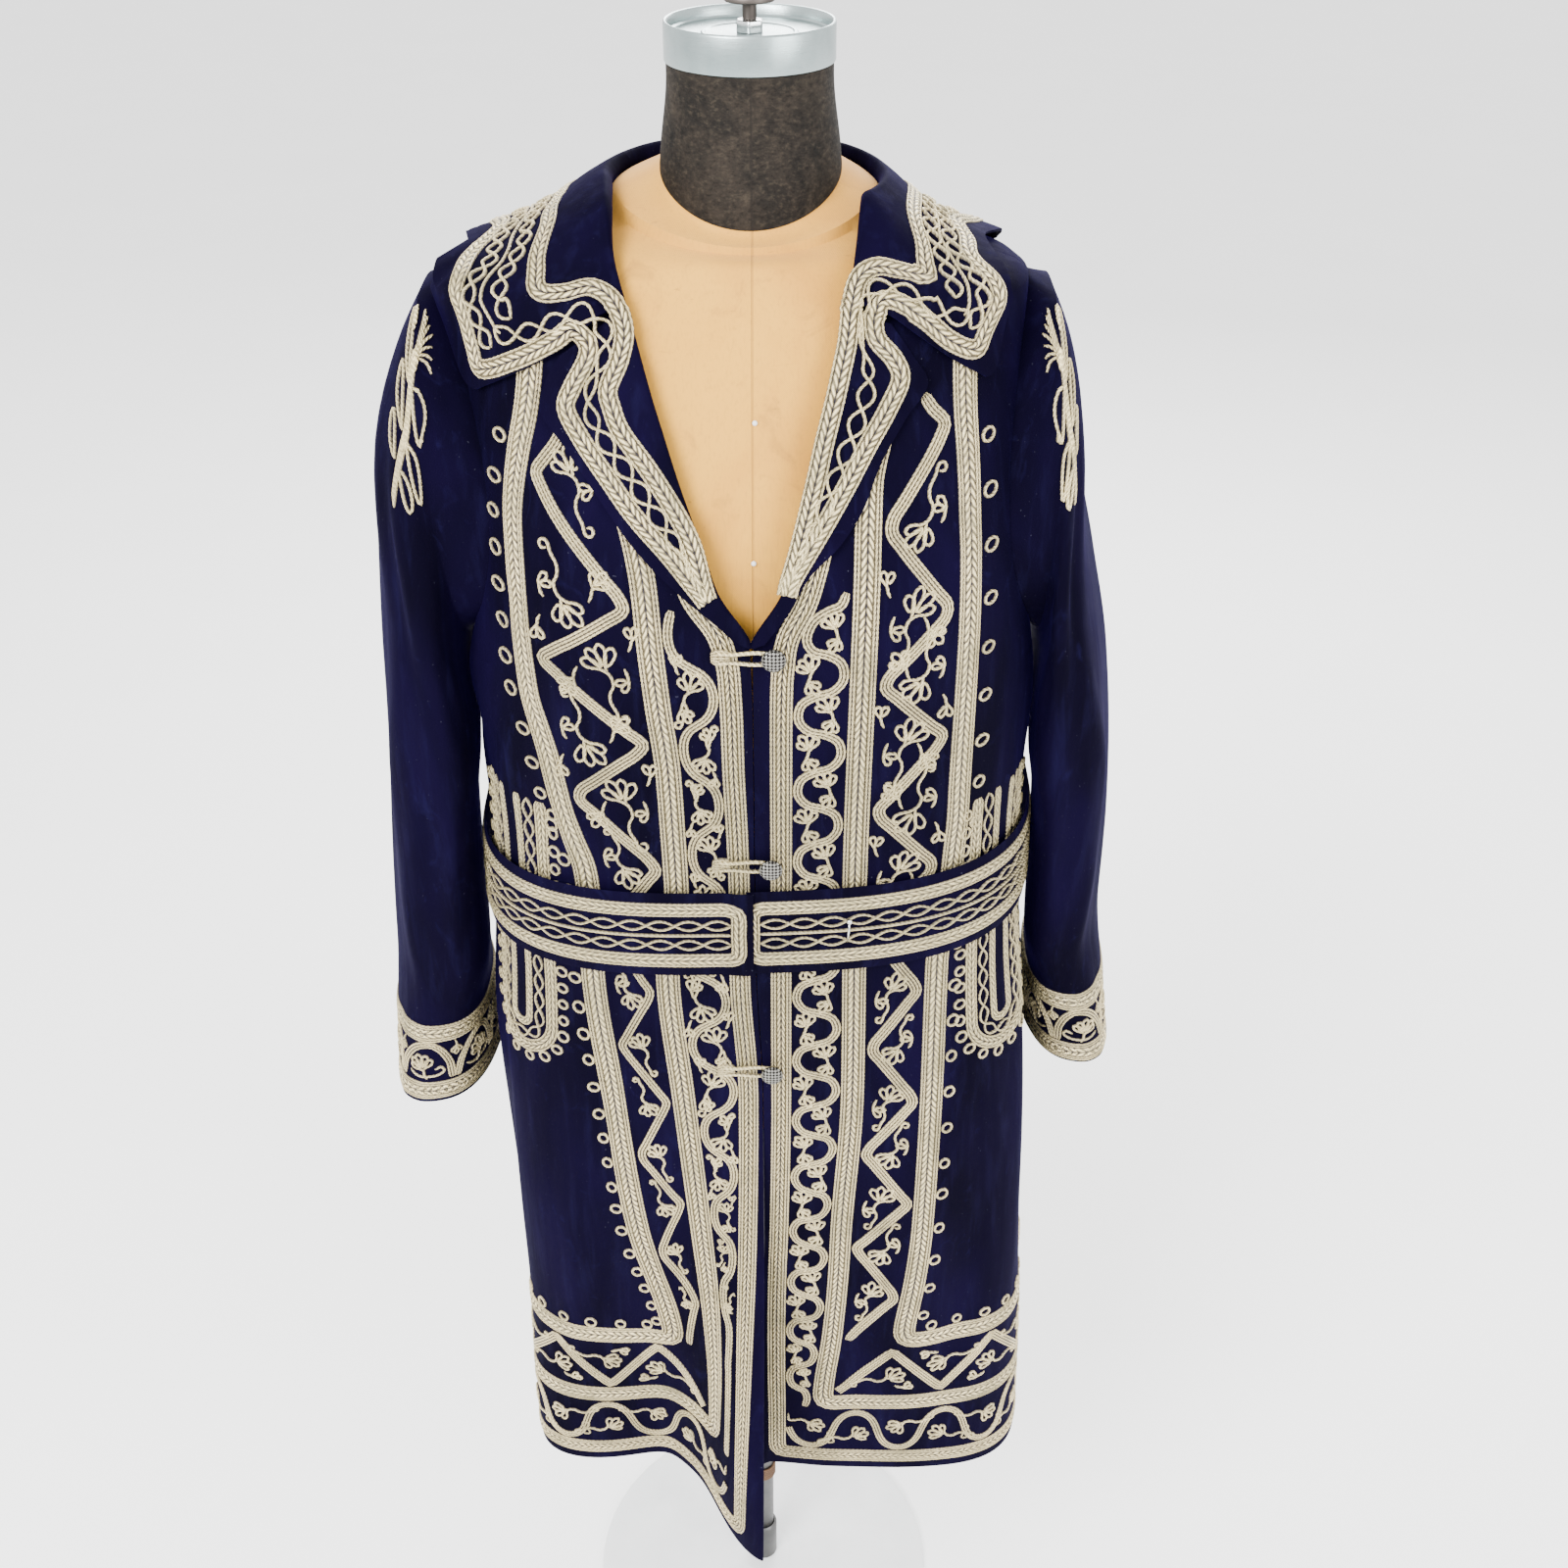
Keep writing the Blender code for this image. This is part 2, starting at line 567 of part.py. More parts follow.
def back_turns(side, z, steps):
    """Turns of a back's columns at each height, from its side seam to the middle seam."""
    limit = np.where((z > UNDERARM_Z) & (z < SHOULDER_Z), armhole_turn(z, True), SIDE)
    limit = limit + np.where(np.abs(limit - SIDE) < 1e-3, seam_turn(z), 0)
    middle = HALF_TURN - SEAM / 2 / BODY("back", z)
    share = np.linspace(0, 1, steps + 1)
    return side * (limit[:, None] + share * (middle - limit)[:, None])


# Solids


def material(name, colour, roughness, metallic=0.0):
    made = bpy.data.materials.new(name)
    made.use_nodes = True
    shader = made.node_tree.nodes["Principled BSDF"]
    shader.inputs["Base Color"].default_value = (*colour, 1.0)
    shader.inputs["Roughness"].default_value = roughness
    shader.inputs["Metallic"].default_value = metallic
    return made


def solid(name, points, faces, look, sharp=40):
    """A named object from points and faces, with its faces out."""
    mesh = bpy.data.meshes.new(name)
    work = bmesh.new()
    corners = [work.verts.new(point) for point in points]
    for face in faces:
        work.faces.new([corners[k] for k in face])
    if work.calc_volume(signed=True) < 0:
        bmesh.ops.reverse_faces(work, faces=work.faces)
    work.to_mesh(mesh)
    work.free()
    mesh.shade_smooth()
    mesh.set_sharp_from_angle(angle=math.radians(sharp))
    mesh.materials.append(look)
    made = bpy.data.objects.new(name, mesh)
    bpy.context.scene.collection.objects.link(made)
    return made


def split(a, b, c, d):
    return [(a, b, c), (a, c, d)]


def wall(name, look, outer, inner, closed=False):
    """A wall between two grids of points. Closed joins the last column to the first."""
    rows, columns = outer.shape[:2]
    count = rows * columns
    faces = []
    spans = columns if closed else columns - 1
    for i in range(rows - 1):
        for j in range(spans):
            k = (j + 1) % columns
            quad = [i * columns + j, i * columns + k, (i + 1) * columns + k, (i + 1) * columns + j]
            faces += split(*quad)
            faces += [face[::-1] for face in split(*[q + count for q in quad])]
    for i, flip in ((0, False), (rows - 1, True)):
        for j in range(spans):
            k = (j + 1) % columns
            quad = [i * columns + j, count + i * columns + j, count + i * columns + k, i * columns + k]
            faces += split(*(quad[::-1] if flip else quad))
    if not closed:
        for j, flip in ((0, True), (columns - 1, False)):
            for i in range(rows - 1):
                low = i * columns + j
                high = low + columns
                quad = [low, low + count, high + count, high]
                faces += split(*(quad[::-1] if flip else quad))
    points = np.concatenate([outer.reshape(-1, 3), inner.reshape(-1, 3)])
    return solid(name, points, faces, look)


def cloth_wall(name, look, turns, heights, raised, out=0.0, thick=CLOTH, flare=0.0):
    """A wall on the body's surface, with its raised points lifted by the braid's rise."""
    turns = np.asarray(turns, float)
    heights = np.broadcast_to(heights, turns.shape)
    lift = out + thick / 2 + np.where(raised, BRAID_RISE, 0.0)
    outer = body_point(turns, heights, lift, flare)
    inner = body_point(turns, heights, out - thick / 2 + 0 * turns, flare)
    return wall(name, look, outer, inner)


def turned(name, look, profile, steps):
    """A solid of revolution round the Z axis, from its (radius, height) profile."""
    points = []
    faces = []
    rings = []
    for radius, z in profile:
        if radius == 0:
            rings.append([len(points)] * steps)
            points.append((0.0, 0.0, z))
            continue
        rings.append(list(range(len(points), len(points) + steps)))
        for k in range(steps):
            angle = 2 * math.pi * k / steps
            points.append((radius * math.cos(angle), radius * math.sin(angle), z))
    for low, high in zip(rings, rings[1:]):
        for k in range(steps):
            n = (k + 1) % steps
            quad = [low[k], low[n], high[n], high[k]]
            faces += [face for face in split(*quad) if len(set(face)) == 3]
    return solid(name, points, faces, look)


def capped_tube(name, look, rings, foot, head):
    """A closed solid through rings of points, with a fan at each end."""
    rows, columns = rings.shape[:2]
    points = [*rings.reshape(-1, 3), foot, head]
    faces = []
    for i in range(rows - 1):
        for j in range(columns):
            k = (j + 1) % columns
            faces += split(i * columns + j, i * columns + k, (i + 1) * columns + k, (i + 1) * columns + j)
    last = (rows - 1) * columns
    for j in range(columns):
        k = (j + 1) % columns
        faces.append((k, j, rows * columns))
        faces.append((last + j, last + k, rows * columns + 1))
    return solid(name, points, faces, look)


def cord(name, look, path, radius, sides=6):
    """A round cord along a path of points."""
    path = np.array(path, float)
    along = unit(np.gradient(path, axis=0))
    over = unit(np.cross(along, np.array([0.0, -1.0, 0.0])))
    beside = np.cross(along, over)
    angles = 2 * math.pi * np.arange(sides) / sides
    around = over[:, None] * np.cos(angles)[:, None] + beside[:, None] * np.sin(angles)[:, None]
    return capped_tube(name, look, path[:, None] + radius * around, path[0], path[-1])


# Pieces of the coat


def hem_rows_of(number):
    """Indexes of the two raised rows of a hem braid, counted from the lowest braid."""
    first = 1 + 4 * number
    return first + 1, first + 2


def build_front(side, look):
    heights = body_rows()
    turns = front_turns(side, heights, SIDE_COLUMNS)
    rows, columns = turns.shape
    raised = np.zeros((rows, columns), bool)
    for number in range(3):
        first = 2 + 4 * number
        low, high = hem_rows_of(number)
        upright = (np.arange(rows) >= low) & (heights < BRAID_TOPS[side][number])
        raised[upright, first] = True
        raised[upright, first + 1] = True
        raised[low : high + 1, first:] = True
    name = "coat_front_right" if side < 0 else "coat_front_left"
    flare = 1.0 if side < 0 else 0.0
    return cloth_wall(name, look, turns, heights[:, None], raised, flare=flare)


def build_back(side, look):
    heights = body_rows()
    turns = back_turns(side, heights, BACK_COLUMNS)
    raised = np.zeros(turns.shape, bool)
    for number in range(3):
        low, high = hem_rows_of(number)
        raised[low : high + 1, :] = True
    name = "coat_back_right" if side < 0 else "coat_back_left"
    return cloth_wall(name, look, turns, heights[:, None], raised)


def armhole_ring(side):
    """Points and outward directions round an armhole, from its top down the front and up."""
    heights = np.array(armhole_heights()[::-1] + armhole_heights()[1:-1])
    behind = np.arange(len(heights)) > ARMHOLE_STEPS
    turns = side * np.where(behind, armhole_turn(heights, True), armhole_turn(heights, False))
    return body_middle(turns, heights), body_normal(turns, heights)


def sleeve_rings(side, steps):
    """Rings of a sleeve below its head, at steps of its table."""
    table = SLEEVES[side]
    count = 2 * ARMHOLE_STEPS
    angle = 2 * math.pi * np.arange(count) / count
    steps = np.asarray(steps, float)[:, None]
    high = np.sign(np.cos(angle)) * np.abs(np.cos(angle)) ** SLEEVE_FLATTEN
    fore = np.sign(np.sin(angle)) * np.abs(np.sin(angle)) ** SLEEVE_FLATTEN
    share = (1 + high) / 2
    x = table("inner_x", steps) * (1 - share) + table("outer_x", steps) * share
    z = table("inner_z", steps) * (1 - share) + table("outer_z", steps) * share
    x = x + table("lean", steps) * fore
    y = table("middle_y", steps) - table("half_depth", steps) * fore
    return np.stack([side * x, y, z], -1)


def build_sleeve(side, look):
    seat, out = armhole_ring(side)
    along = np.roll(seat, -1, 0) - np.roll(seat, 1, 0)
    inward = unit(np.cross(out, along))
    centre = seat.mean(0)
    inward *= np.sign(((centre - seat) * inward).sum(-1, keepdims=True))
    clear = seat + inward * (SEAM + HEAD_CLEAR)
    first = clear - out * CLOTH / 2
    second = clear + out * (CLOTH / 2 + HEAD_LIFT)
    steps = list(range(CUFF_STEP))
    raised = [False] * (len(steps) + 2)
    edge = BRAID_STEP / 2 / CUFF_HEIGHT
    steps.append(CUFF_STEP)
    raised.append(False)
    for low, high in CUFF_BRAIDS:
        steps += [CUFF_STEP + at for at in (low, low + 2 * edge, high - 2 * edge, high)]
        raised += [False, True, True, False]
    steps.append(CUFF_STEP + 1)
    raised.append(False)
    rings = np.concatenate([[first, second], sleeve_rings(side, steps)])
    around = np.roll(rings, -1, 1) - np.roll(rings, 1, 1)
    away = unit(np.cross(around, np.gradient(rings, axis=0)))
    middle = rings.mean(1, keepdims=True)
    away *= np.sign(((rings - middle) * away).sum(-1).sum(-1))[:, None, None]
    lift = np.where(raised, BRAID_RISE, 0.0)[:, None, None]
    name = "sleeve_right" if side < 0 else "sleeve_left"
    return wall(name, look, rings + away * lift, rings - away * CLOTH, closed=True)


def build_lapel(side, look):
    along = np.linspace(0, 1, LAPEL_STEPS)[:, None]
    across = np.array(LAPEL_ACROSS)[None, :]
    table = LAPELS[side]
    roll_z = table("roll_height", along)
    roll_x = FRONTS[side]("edge", roll_z)
    x = roll_x + (table("edge_x", along) - roll_x) * across
    z = roll_z + (table("edge_height", along) - roll_z) * across
    raised = np.zeros(x.shape, bool)
    raised[1:, list(LAPEL_RAISED)] = True
    name = "lapel_right" if side < 0 else "lapel_left"
    out = np.where(across > 0, LAPEL_OUT, CLOTH + 2 * SEAM) + 0 * x
    return cloth_wall(name, look, turn_at_x(side * x, z), z, raised, out=out)


def collar_base():
    """Turns and heights along the neck seam, from the left front round the back."""
    heights = np.array(COLLAR_SEAM_HEIGHTS)
    left = turn_at_x(FRONTS[1]("edge", heights), heights)
    right = 2 * math.pi + turn_at_x(-FRONTS[-1]("edge", heights), heights)
    back = np.linspace(left[-1], right[-1], COLLAR_BACK_COLUMNS + 2)[1:-1]
    turns = np.concatenate([left, back, right[::-1]])
    return turns, np.concatenate([heights, np.full(len(back), NECK_Z), heights[::-1]])


def collar_edge(name, turn):
    """A value of the collar's outer edge at turns that run from the left round the back."""
    folded = np.degrees(np.minimum(turn, 2 * math.pi - turn))
    return np.where(turn < math.pi, COLLAR_EDGES[1](name, folded), COLLAR_EDGES[-1](name, folded))


def collar_row(turns, heights, across):
    """Points of one row of the collar's fall, from the neck seam's turns and heights."""
    left = math.radians(COLLAR_FRONTS[1]("turn", across))
    right = 2 * math.pi - math.radians(COLLAR_FRONTS[-1]("turn", across))
    turn = left + (right - left) * (turns - turns[0]) / (turns[-1] - turns[0])
    seam = np.interp(turn, turns, heights)
    z = seam + (collar_edge("height", turn) - seam) * across
    for side, end in ((1, left), (-1, right)):
        near = np.exp(-((np.degrees(turn - end) / COLLAR_END_REACH) ** 2))
        z = z + (COLLAR_FRONTS[side]("height", across) - z) * near
    settle = (1 - ease(across / COLLAR_SETTLE_REACH)) * collar_edge("stand", turn) * COLLAR_SETTLE
    arch = COLLAR_ARCH * np.exp(-(((z - SHOULDER_Z) / COLLAR_ARCH_REACH) ** 2))
    return body_point(turn, z, collar_edge("out", turn) + settle + arch)


def build_collar(look):
    turns, heights = collar_base()
    base = body_middle(turns, heights)
    out = body_normal(turns, heights)
    inward = unit(np.cross(out, np.gradient(base, axis=0)))
    inward *= np.sign(((np.array(COLLAR_CENTRE) - base) * inward).sum(-1, keepdims=True))
    stand = collar_edge("stand", turns)[:, None]
    rows = []
    for inside, up in COLLAR_STAND:
        rows.append(base + inward * (stand * inside + SEAM + CLOTH / 2) + out * stand * up)
    rows += [collar_row(turns, heights, across) for across in COLLAR_ACROSS]
    grid = np.array(rows)
    around = np.gradient(grid, axis=1)
    down = np.gradient(grid, axis=0)
    normals = unit(np.cross(down, around))
    outermost = normals[-1] * unit(grid[-1] * np.array([1, 1, 0]))
    normals *= np.sign(outermost.sum())
    lift = np.zeros(len(grid))
    lift[[len(COLLAR_STAND) + k for k in COLLAR_RAISED]] = BRAID_RISE
    outer = grid + normals * (CLOTH / 2 + lift)[:, None, None]
    inner = grid - normals * CLOTH / 2
    return wall("collar", look, outer, inner)


def build_belt(look):
    across = np.array(BELT_ACROSS)[:, None]
    turns = np.radians(np.linspace(*BELT_ENDS, BELT_STEPS + 1))[None, :] + 0 * across
    signed = np.where(turns > math.pi, turns - 2 * math.pi, turns)
    x = body_middle(signed, BELT_Z + 0 * turns)[..., 0]
    z = BELT_Z + BELT_RISE_LEFT * x + BELT_HEIGHT * (across - 0.5)
    raised = np.zeros(turns.shape, bool)
    raised[list(BELT_RAISED), :] = True
    return cloth_wall("belt", look, signed, z, raised, out=BELT_OUT, thick=BELT_THICK)


def build_pocket(side, look):
    """A ribbon of braid in a long U round a pocket's slit."""
    turn = math.radians(POCKET_TURNS[0 if side < 0 else 1])
    fall = (POCKET_TOP - POCKET_BOTTOM) / POCKET_SIDE_STEPS
    path = [(-POCKET_RADIUS, POCKET_TOP - fall * k) for k in range(POCKET_SIDE_STEPS)]
    for k in range(POCKET_BEND_STEPS + 1):
        angle = math.pi * (1 + k / POCKET_BEND_STEPS)
        path.append((POCKET_RADIUS * math.cos(angle), POCKET_BOTTOM + POCKET_RADIUS * math.sin(angle)))
    path += [(POCKET_RADIUS, z) for _, z in path[POCKET_SIDE_STEPS - 1 :: -1]]
    path = np.array(path)
    along = unit(np.gradient(path, axis=0))
    beside = np.stack([along[:, 1], -along[:, 0]], -1)
    across = np.array(POCKET_ACROSS) * POCKET_RIBBON
    spots = path[:, None] + beside[:, None] * across[:, None]
    turns = turn + spots[..., 0] / POCKET_BODY_RADIUS
    out = CLOTH / 2 + POCKET_CLEAR + POCKET_THICK / 2
    name = "pocket_braid_right" if side < 0 else "pocket_braid_left"
    flat = np.zeros(turns.shape, bool)
    return cloth_wall(name, look, turns, spots[..., 1], flat, out=out, thick=POCKET_THICK)


def build_button(number, look):
    """A domed button on its shank, turned towards -Y."""
    x, z, seat = BUTTONS[number - 1]
    profile = (
        (0, 0), (0.0020, 0), (0.0020, 0.0040), (0.0074, 0.0042), (BUTTON_RADIUS, 0.0056),
        (0.0070, 0.0078), (0.0045, 0.0090), (0, 0.0096),
    )
    made = turned(f"button_{number}", look, profile, 12)
    made.rotation_euler = (math.radians(90), 0, 0)
    made.location = body_point(turn_at_x(x, z), np.array(z), CLOTH / 2 + seat)
    return made


def build_loop(number, look):
    """A loop of cord from the right front round a button's shank."""
    x, z, _ = BUTTONS[number - 1]
    lift = CLOTH / 2 + BRAID_RISE + LOOP_CLEAR + LOOP_CORD
    bend = [math.pi * (0.5 - k / 6) for k in range(7)]
    route = [(-LOOP_REACH, LOOP_RADIUS), (-LOOP_REACH / 2, LOOP_RADIUS)]
    route += [(LOOP_RADIUS * math.cos(a), LOOP_RADIUS * math.sin(a)) for a in bend]
    route += [(-LOOP_REACH / 2, -LOOP_RADIUS), (-LOOP_REACH, -LOOP_RADIUS)]
    path = [body_point(turn_at_x(x + dx, z + dz), np.array(z + dz), lift) for dx, dz in route]
    return cord(f"button_loop_{number}", look, path, LOOP_CORD)


# Form and stand


def neck_base_z(turn):
    level, front, side = NECK_BASE
    return level - front * np.cos(turn) - side * np.cos(2 * turn)


def form_rise(turn, z):
    """How far the form's top rows bend towards the base of the neck."""
    start, reach = FORM_RISE
    return (neck_base_z(turn) - FORM_TOP_ROWS[-1]) * ease((z - start) / reach)


def form_rings():
    """Rings of the torso from its foot to the neck, close under the coat at the shoulders."""
    turns = 2 * math.pi * np.arange(FORM_STEPS) / FORM_STEPS
    folded = np.abs((turns + math.pi) % (2 * math.pi) - math.pi)
    rings = []
    for z in FORM_HEIGHTS:
        depth = np.where(np.cos(turns) > 0, FORM("front", z), FORM("back", z))
        across = (np.abs(np.sin(turns)) / FORM("half_width", z)) ** FORM_SQUARE
        ahead = (np.abs(np.cos(turns)) / depth) ** FORM_SQUARE
        radius = (across + ahead) ** (-1 / FORM_SQUARE)
        rings.append(np.stack([radius * np.sin(turns), -radius * np.cos(turns), z + 0 * turns], -1))
    clear = 1 - np.exp(-(((folded - SIDE) / FORM_EASE_REACH) ** 2))
    under = CLOTH / 2 + FORM_CLEAR + FORM_EASE * clear
    for z in (SHOULDER_Z,) + SHOULDER_ROWS:
        ring = body_point(turns, z + 0 * turns, -under)
        ring[:, 2] += form_rise(turns, z)
        rings.append(ring)
    last = np.hypot(rings[-1][:, 0], rings[-1][:, 1])
    for z in FORM_TOP_ROWS:
        share = ease((z - NECK_Z) / (FORM_TOP_ROWS[-1] - NECK_Z)) ** FORM_SHOULDER_POWER
        radius = last + (NECK_BASE_RADIUS - last) * share
        height = z + form_rise(turns, z)
        rings.append(np.stack([radius * np.sin(turns), -radius * np.cos(turns), height], -1))
    return np.array(rings)


def build_torso(look):
    rings = form_rings()
    return capped_tube("form_torso", look, rings, (0, 0, FORM_FOOT_Z), (0, 0, FORM_TOP_MIDDLE_Z))


def build_neck(look):
    turns = 2 * math.pi * np.arange(FORM_STEPS) / FORM_STEPS
    rings = []
    for share in NECK_SHARES:
        radius = NECK_BASE_RADIUS + (NECK_TOP_RADIUS - NECK_BASE_RADIUS) * min(1, share * NECK_TAPER)
        low = neck_base_z(turns) + SEAM
        height = low + (NECK_TOP_Z - low) * share
        rings.append(np.stack([radius * np.sin(turns), -radius * np.cos(turns), height], -1))
    foot = (0, 0, FORM_TOP_MIDDLE_Z + SEAM)
    return capped_tube("form_neck", look, np.array(rings), foot, (0, 0, NECK_TOP_Z))


def build_cap(metal, dark):
    low = NECK_TOP_Z + SEAM
    floor = CAP_TOP_Z - CAP_DEPTH
    rim = (
        (0, low),
        (CAP_RADIUS, low),
        (CAP_RADIUS, CAP_TOP_Z - CAP_CHAMFER),
        (CAP_RADIUS - CAP_CHAMFER, CAP_TOP_Z),
        (CAP_RADIUS - CAP_LIP, CAP_TOP_Z),
        (CAP_RADIUS - CAP_LIP - CAP_CHAMFER, floor),
        (0, floor),
    )
    turned("neck_cap", metal, rim, FORM_STEPS)
    seat = floor + SEAM
    top = seat + NUT_HEIGHT
    turned("cap_nut", metal, ((0, seat), (NUT_RADIUS, seat), (NUT_RADIUS, top), (0, top)), 6)
    bolt = [(radius, top + SEAM + z) for radius, z in BOLT_PROFILE]
    turned("cap_bolt", dark, bolt, BOLT_STEPS)


def circle_rows(radii, heights):
    """Circles of points round the pole, one for each radius and height."""
    angle = 2 * math.pi * np.arange(POLE_STEPS) / POLE_STEPS
    circle = np.stack([np.cos(angle), np.sin(angle)], -1)
    rows = [np.column_stack([circle * r, np.full(POLE_STEPS, z)]) for r, z in zip(radii, heights)]
    return np.array(rows)


def build_stand(steel, paint):
    top = FORM_FOOT_Z - SEAM
    pole = ((0, POLE_FOOT_Z), (POLE_RADIUS, POLE_FOOT_Z), (POLE_RADIUS, top), (0, top))
    turned("stand_pole", steel, pole, POLE_STEPS)
    low = BASE_Z + SEAM
    bore = POLE_RADIUS + FOOT_CLEAR
    outer = circle_rows((FOOT_RADIUS, FOOT_RADIUS), (low, FOOT_TOP_Z))
    inner = circle_rows((bore, bore), (low, FOOT_TOP_Z + FOOT_TOP_RISE))
    wall("pole_collar", steel, outer, inner, closed=True)
    turned("stand_base", paint, BASE_PROFILE, FORM_STEPS)


def build_all():
    for made in list(bpy.data.objects):
        bpy.data.objects.remove(made, do_unlink=True)
    velvet = material("velvet", (0.012, 0.010, 0.075), 0.75)
    braid = material("metal_braid", (0.55, 0.50, 0.36), 0.45, 0.35)
    linen = material("linen", (0.66, 0.49, 0.27), 0.85)
    dark_cloth = material("neck_cloth", (0.05, 0.042, 0.030), 0.8)
    bright = material("bright_metal", (0.55, 0.60, 0.60), 0.3, 1.0)
    dark_metal = material("dark_metal", (0.06, 0.05, 0.045), 0.45, 0.9)
    button_metal = material("button_metal", (0.50, 0.50, 0.52), 0.35, 1.0)
    pole_steel = material("pole_steel", (0.10, 0.10, 0.10), 0.4, 0.9)
    pale_paint = material("pale_paint", (0.72, 0.73, 0.73), 0.5)
    build_torso(linen)
    build_neck(dark_cloth)
    build_cap(bright, dark_metal)
    build_stand(pole_steel, pale_paint)
    build_collar(velvet)
    build_belt(velvet)
    for side in (-1, 1):
        build_front(side, velvet)
        build_back(side, velvet)
        build_sleeve(side, velvet)
        build_lapel(side, velvet)
        build_pocket(side, braid)
    for number in range(1, len(BUTTONS) + 1):
        build_button(number, button_metal)
        build_loop(number, braid)


build_all()
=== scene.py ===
"""Afghan coat of navy velvet with couched metal braid, on its dress form."""
import math

import bmesh
import bpy
import numpy as np
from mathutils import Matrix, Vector


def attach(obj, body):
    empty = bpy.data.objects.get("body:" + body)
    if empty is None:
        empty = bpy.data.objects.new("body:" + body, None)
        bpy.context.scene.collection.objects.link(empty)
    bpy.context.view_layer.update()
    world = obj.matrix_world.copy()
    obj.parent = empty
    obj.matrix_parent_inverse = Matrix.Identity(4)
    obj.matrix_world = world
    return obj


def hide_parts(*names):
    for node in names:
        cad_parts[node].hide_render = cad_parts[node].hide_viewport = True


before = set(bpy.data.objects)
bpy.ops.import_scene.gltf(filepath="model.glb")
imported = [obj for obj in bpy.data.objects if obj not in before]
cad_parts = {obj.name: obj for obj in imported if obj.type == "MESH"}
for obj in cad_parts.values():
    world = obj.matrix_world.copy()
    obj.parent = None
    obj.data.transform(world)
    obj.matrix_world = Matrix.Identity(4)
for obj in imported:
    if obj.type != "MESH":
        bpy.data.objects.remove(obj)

# Wearer's sides
SIDE_NAMES = {-1: "right", 1: "left"}


class Table:
    """Rows of named columns, read at any value of the first column along smooth curves."""

    def __init__(self, columns, rows):
        self.columns = columns.split()
        self.rows = np.array(rows, float)

    def __call__(self, name, at):
        x = self.rows[:, 0]
        y = self.rows[:, self.columns.index(name)]
        step = np.diff(y) / np.diff(x)
        both = step[:-1] * step[1:]
        total = np.where(both > 0, step[:-1] + step[1:], 1.0)
        inner = np.where(both > 0, 2 * both / total, 0.0)
        slope = np.concatenate(([step[0]], inner, [step[-1]]))
        at = np.asarray(at, float)
        i = np.clip(np.searchsorted(x, at) - 1, 0, len(x) - 2)
        span = x[i + 1] - x[i]
        t = np.clip((at - x[i]) / span, 0, 1)
        start = (1 + 2 * t) * (1 - t) ** 2 * y[i] + t * (1 - t) ** 2 * span * slope[i]
        end = t * t * (3 - 2 * t) * y[i + 1] + t * t * (t - 1) * span * slope[i + 1]
        return start + end


def both_sides(columns, right, left):
    """A table for the wearer's right and one for the left."""
    return {-1: Table(columns, right), 1: Table(columns, left)}


# Cloth and its seams
CLOTH = 0.0016
SEAM = 0.0003
BRAID_RISE = 0.001
BRAID_WIDTHS = (0.015, 0.0175, 0.0185)

# Heights of the coat's main levels
HEM_Z = 0.322
UNDERARM_Z = 1.1
SHOULDER_Z = 1.345
ARMHOLE_MIDDLE_Z = (SHOULDER_Z + UNDERARM_Z) / 2
ARMHOLE_HALF = (SHOULDER_Z - UNDERARM_Z) / 2
NECK_Z = 1.396
LAPEL_Z = 1.3

# Turns from the front centre to the side seam and to the middle of the back, and how much
# each side's front is flared
SIDE = math.radians(90)
HALF_TURN = math.radians(180)
FLARES = {-1: 1.0, 1: 0.0}

# Braid borders round the hem, low and high edge, from the lowest up
HEM_BRAIDS = ((0.33, 0.347), (0.399, 0.42), (0.477, 0.499))

# Sections of the coat's body: half widths to the wearer's right and left, depth before and
# behind the form's axis, and how square the section is (2 is an ellipse)
BODY = Table("height right left front back square", (
    (0.322, 0.192, 0.232, 0.136, 0.15, 4.8), (0.45, 0.195, 0.227, 0.14, 0.154, 4.6),
    (0.6, 0.201, 0.219, 0.147, 0.156, 4.2), (0.76, 0.204, 0.212, 0.152, 0.15, 3.4),
    (0.87, 0.2, 0.202, 0.1535, 0.135, 3.0), (0.922, 0.198, 0.198, 0.153, 0.125, 3.0),
    (0.98, 0.197, 0.197, 0.155, 0.124, 2.9), (1.06, 0.194, 0.194, 0.16, 0.128, 2.8),
    (1.14, 0.19, 0.19, 0.164, 0.134, 2.7), (1.2, 0.189, 0.185, 0.158, 0.136, 2.6),
    (1.26, 0.192, 0.182, 0.142, 0.132, 2.5), (1.31, 0.197, 0.18, 0.122, 0.12, 2.4),
    (SHOULDER_Z, 0.2, 0.179, 0.106, 0.106, 2.3), (1.36, 0.17, 0.148, 0.098, 0.099, 2.2),
    (1.375, 0.138, 0.119, 0.09, 0.092, 2.1), (1.39, 0.106, 0.093, 0.08, 0.08, 2.05),
    (NECK_Z, 0.092, 0.084, 0.076, 0.075, 2.0),
))

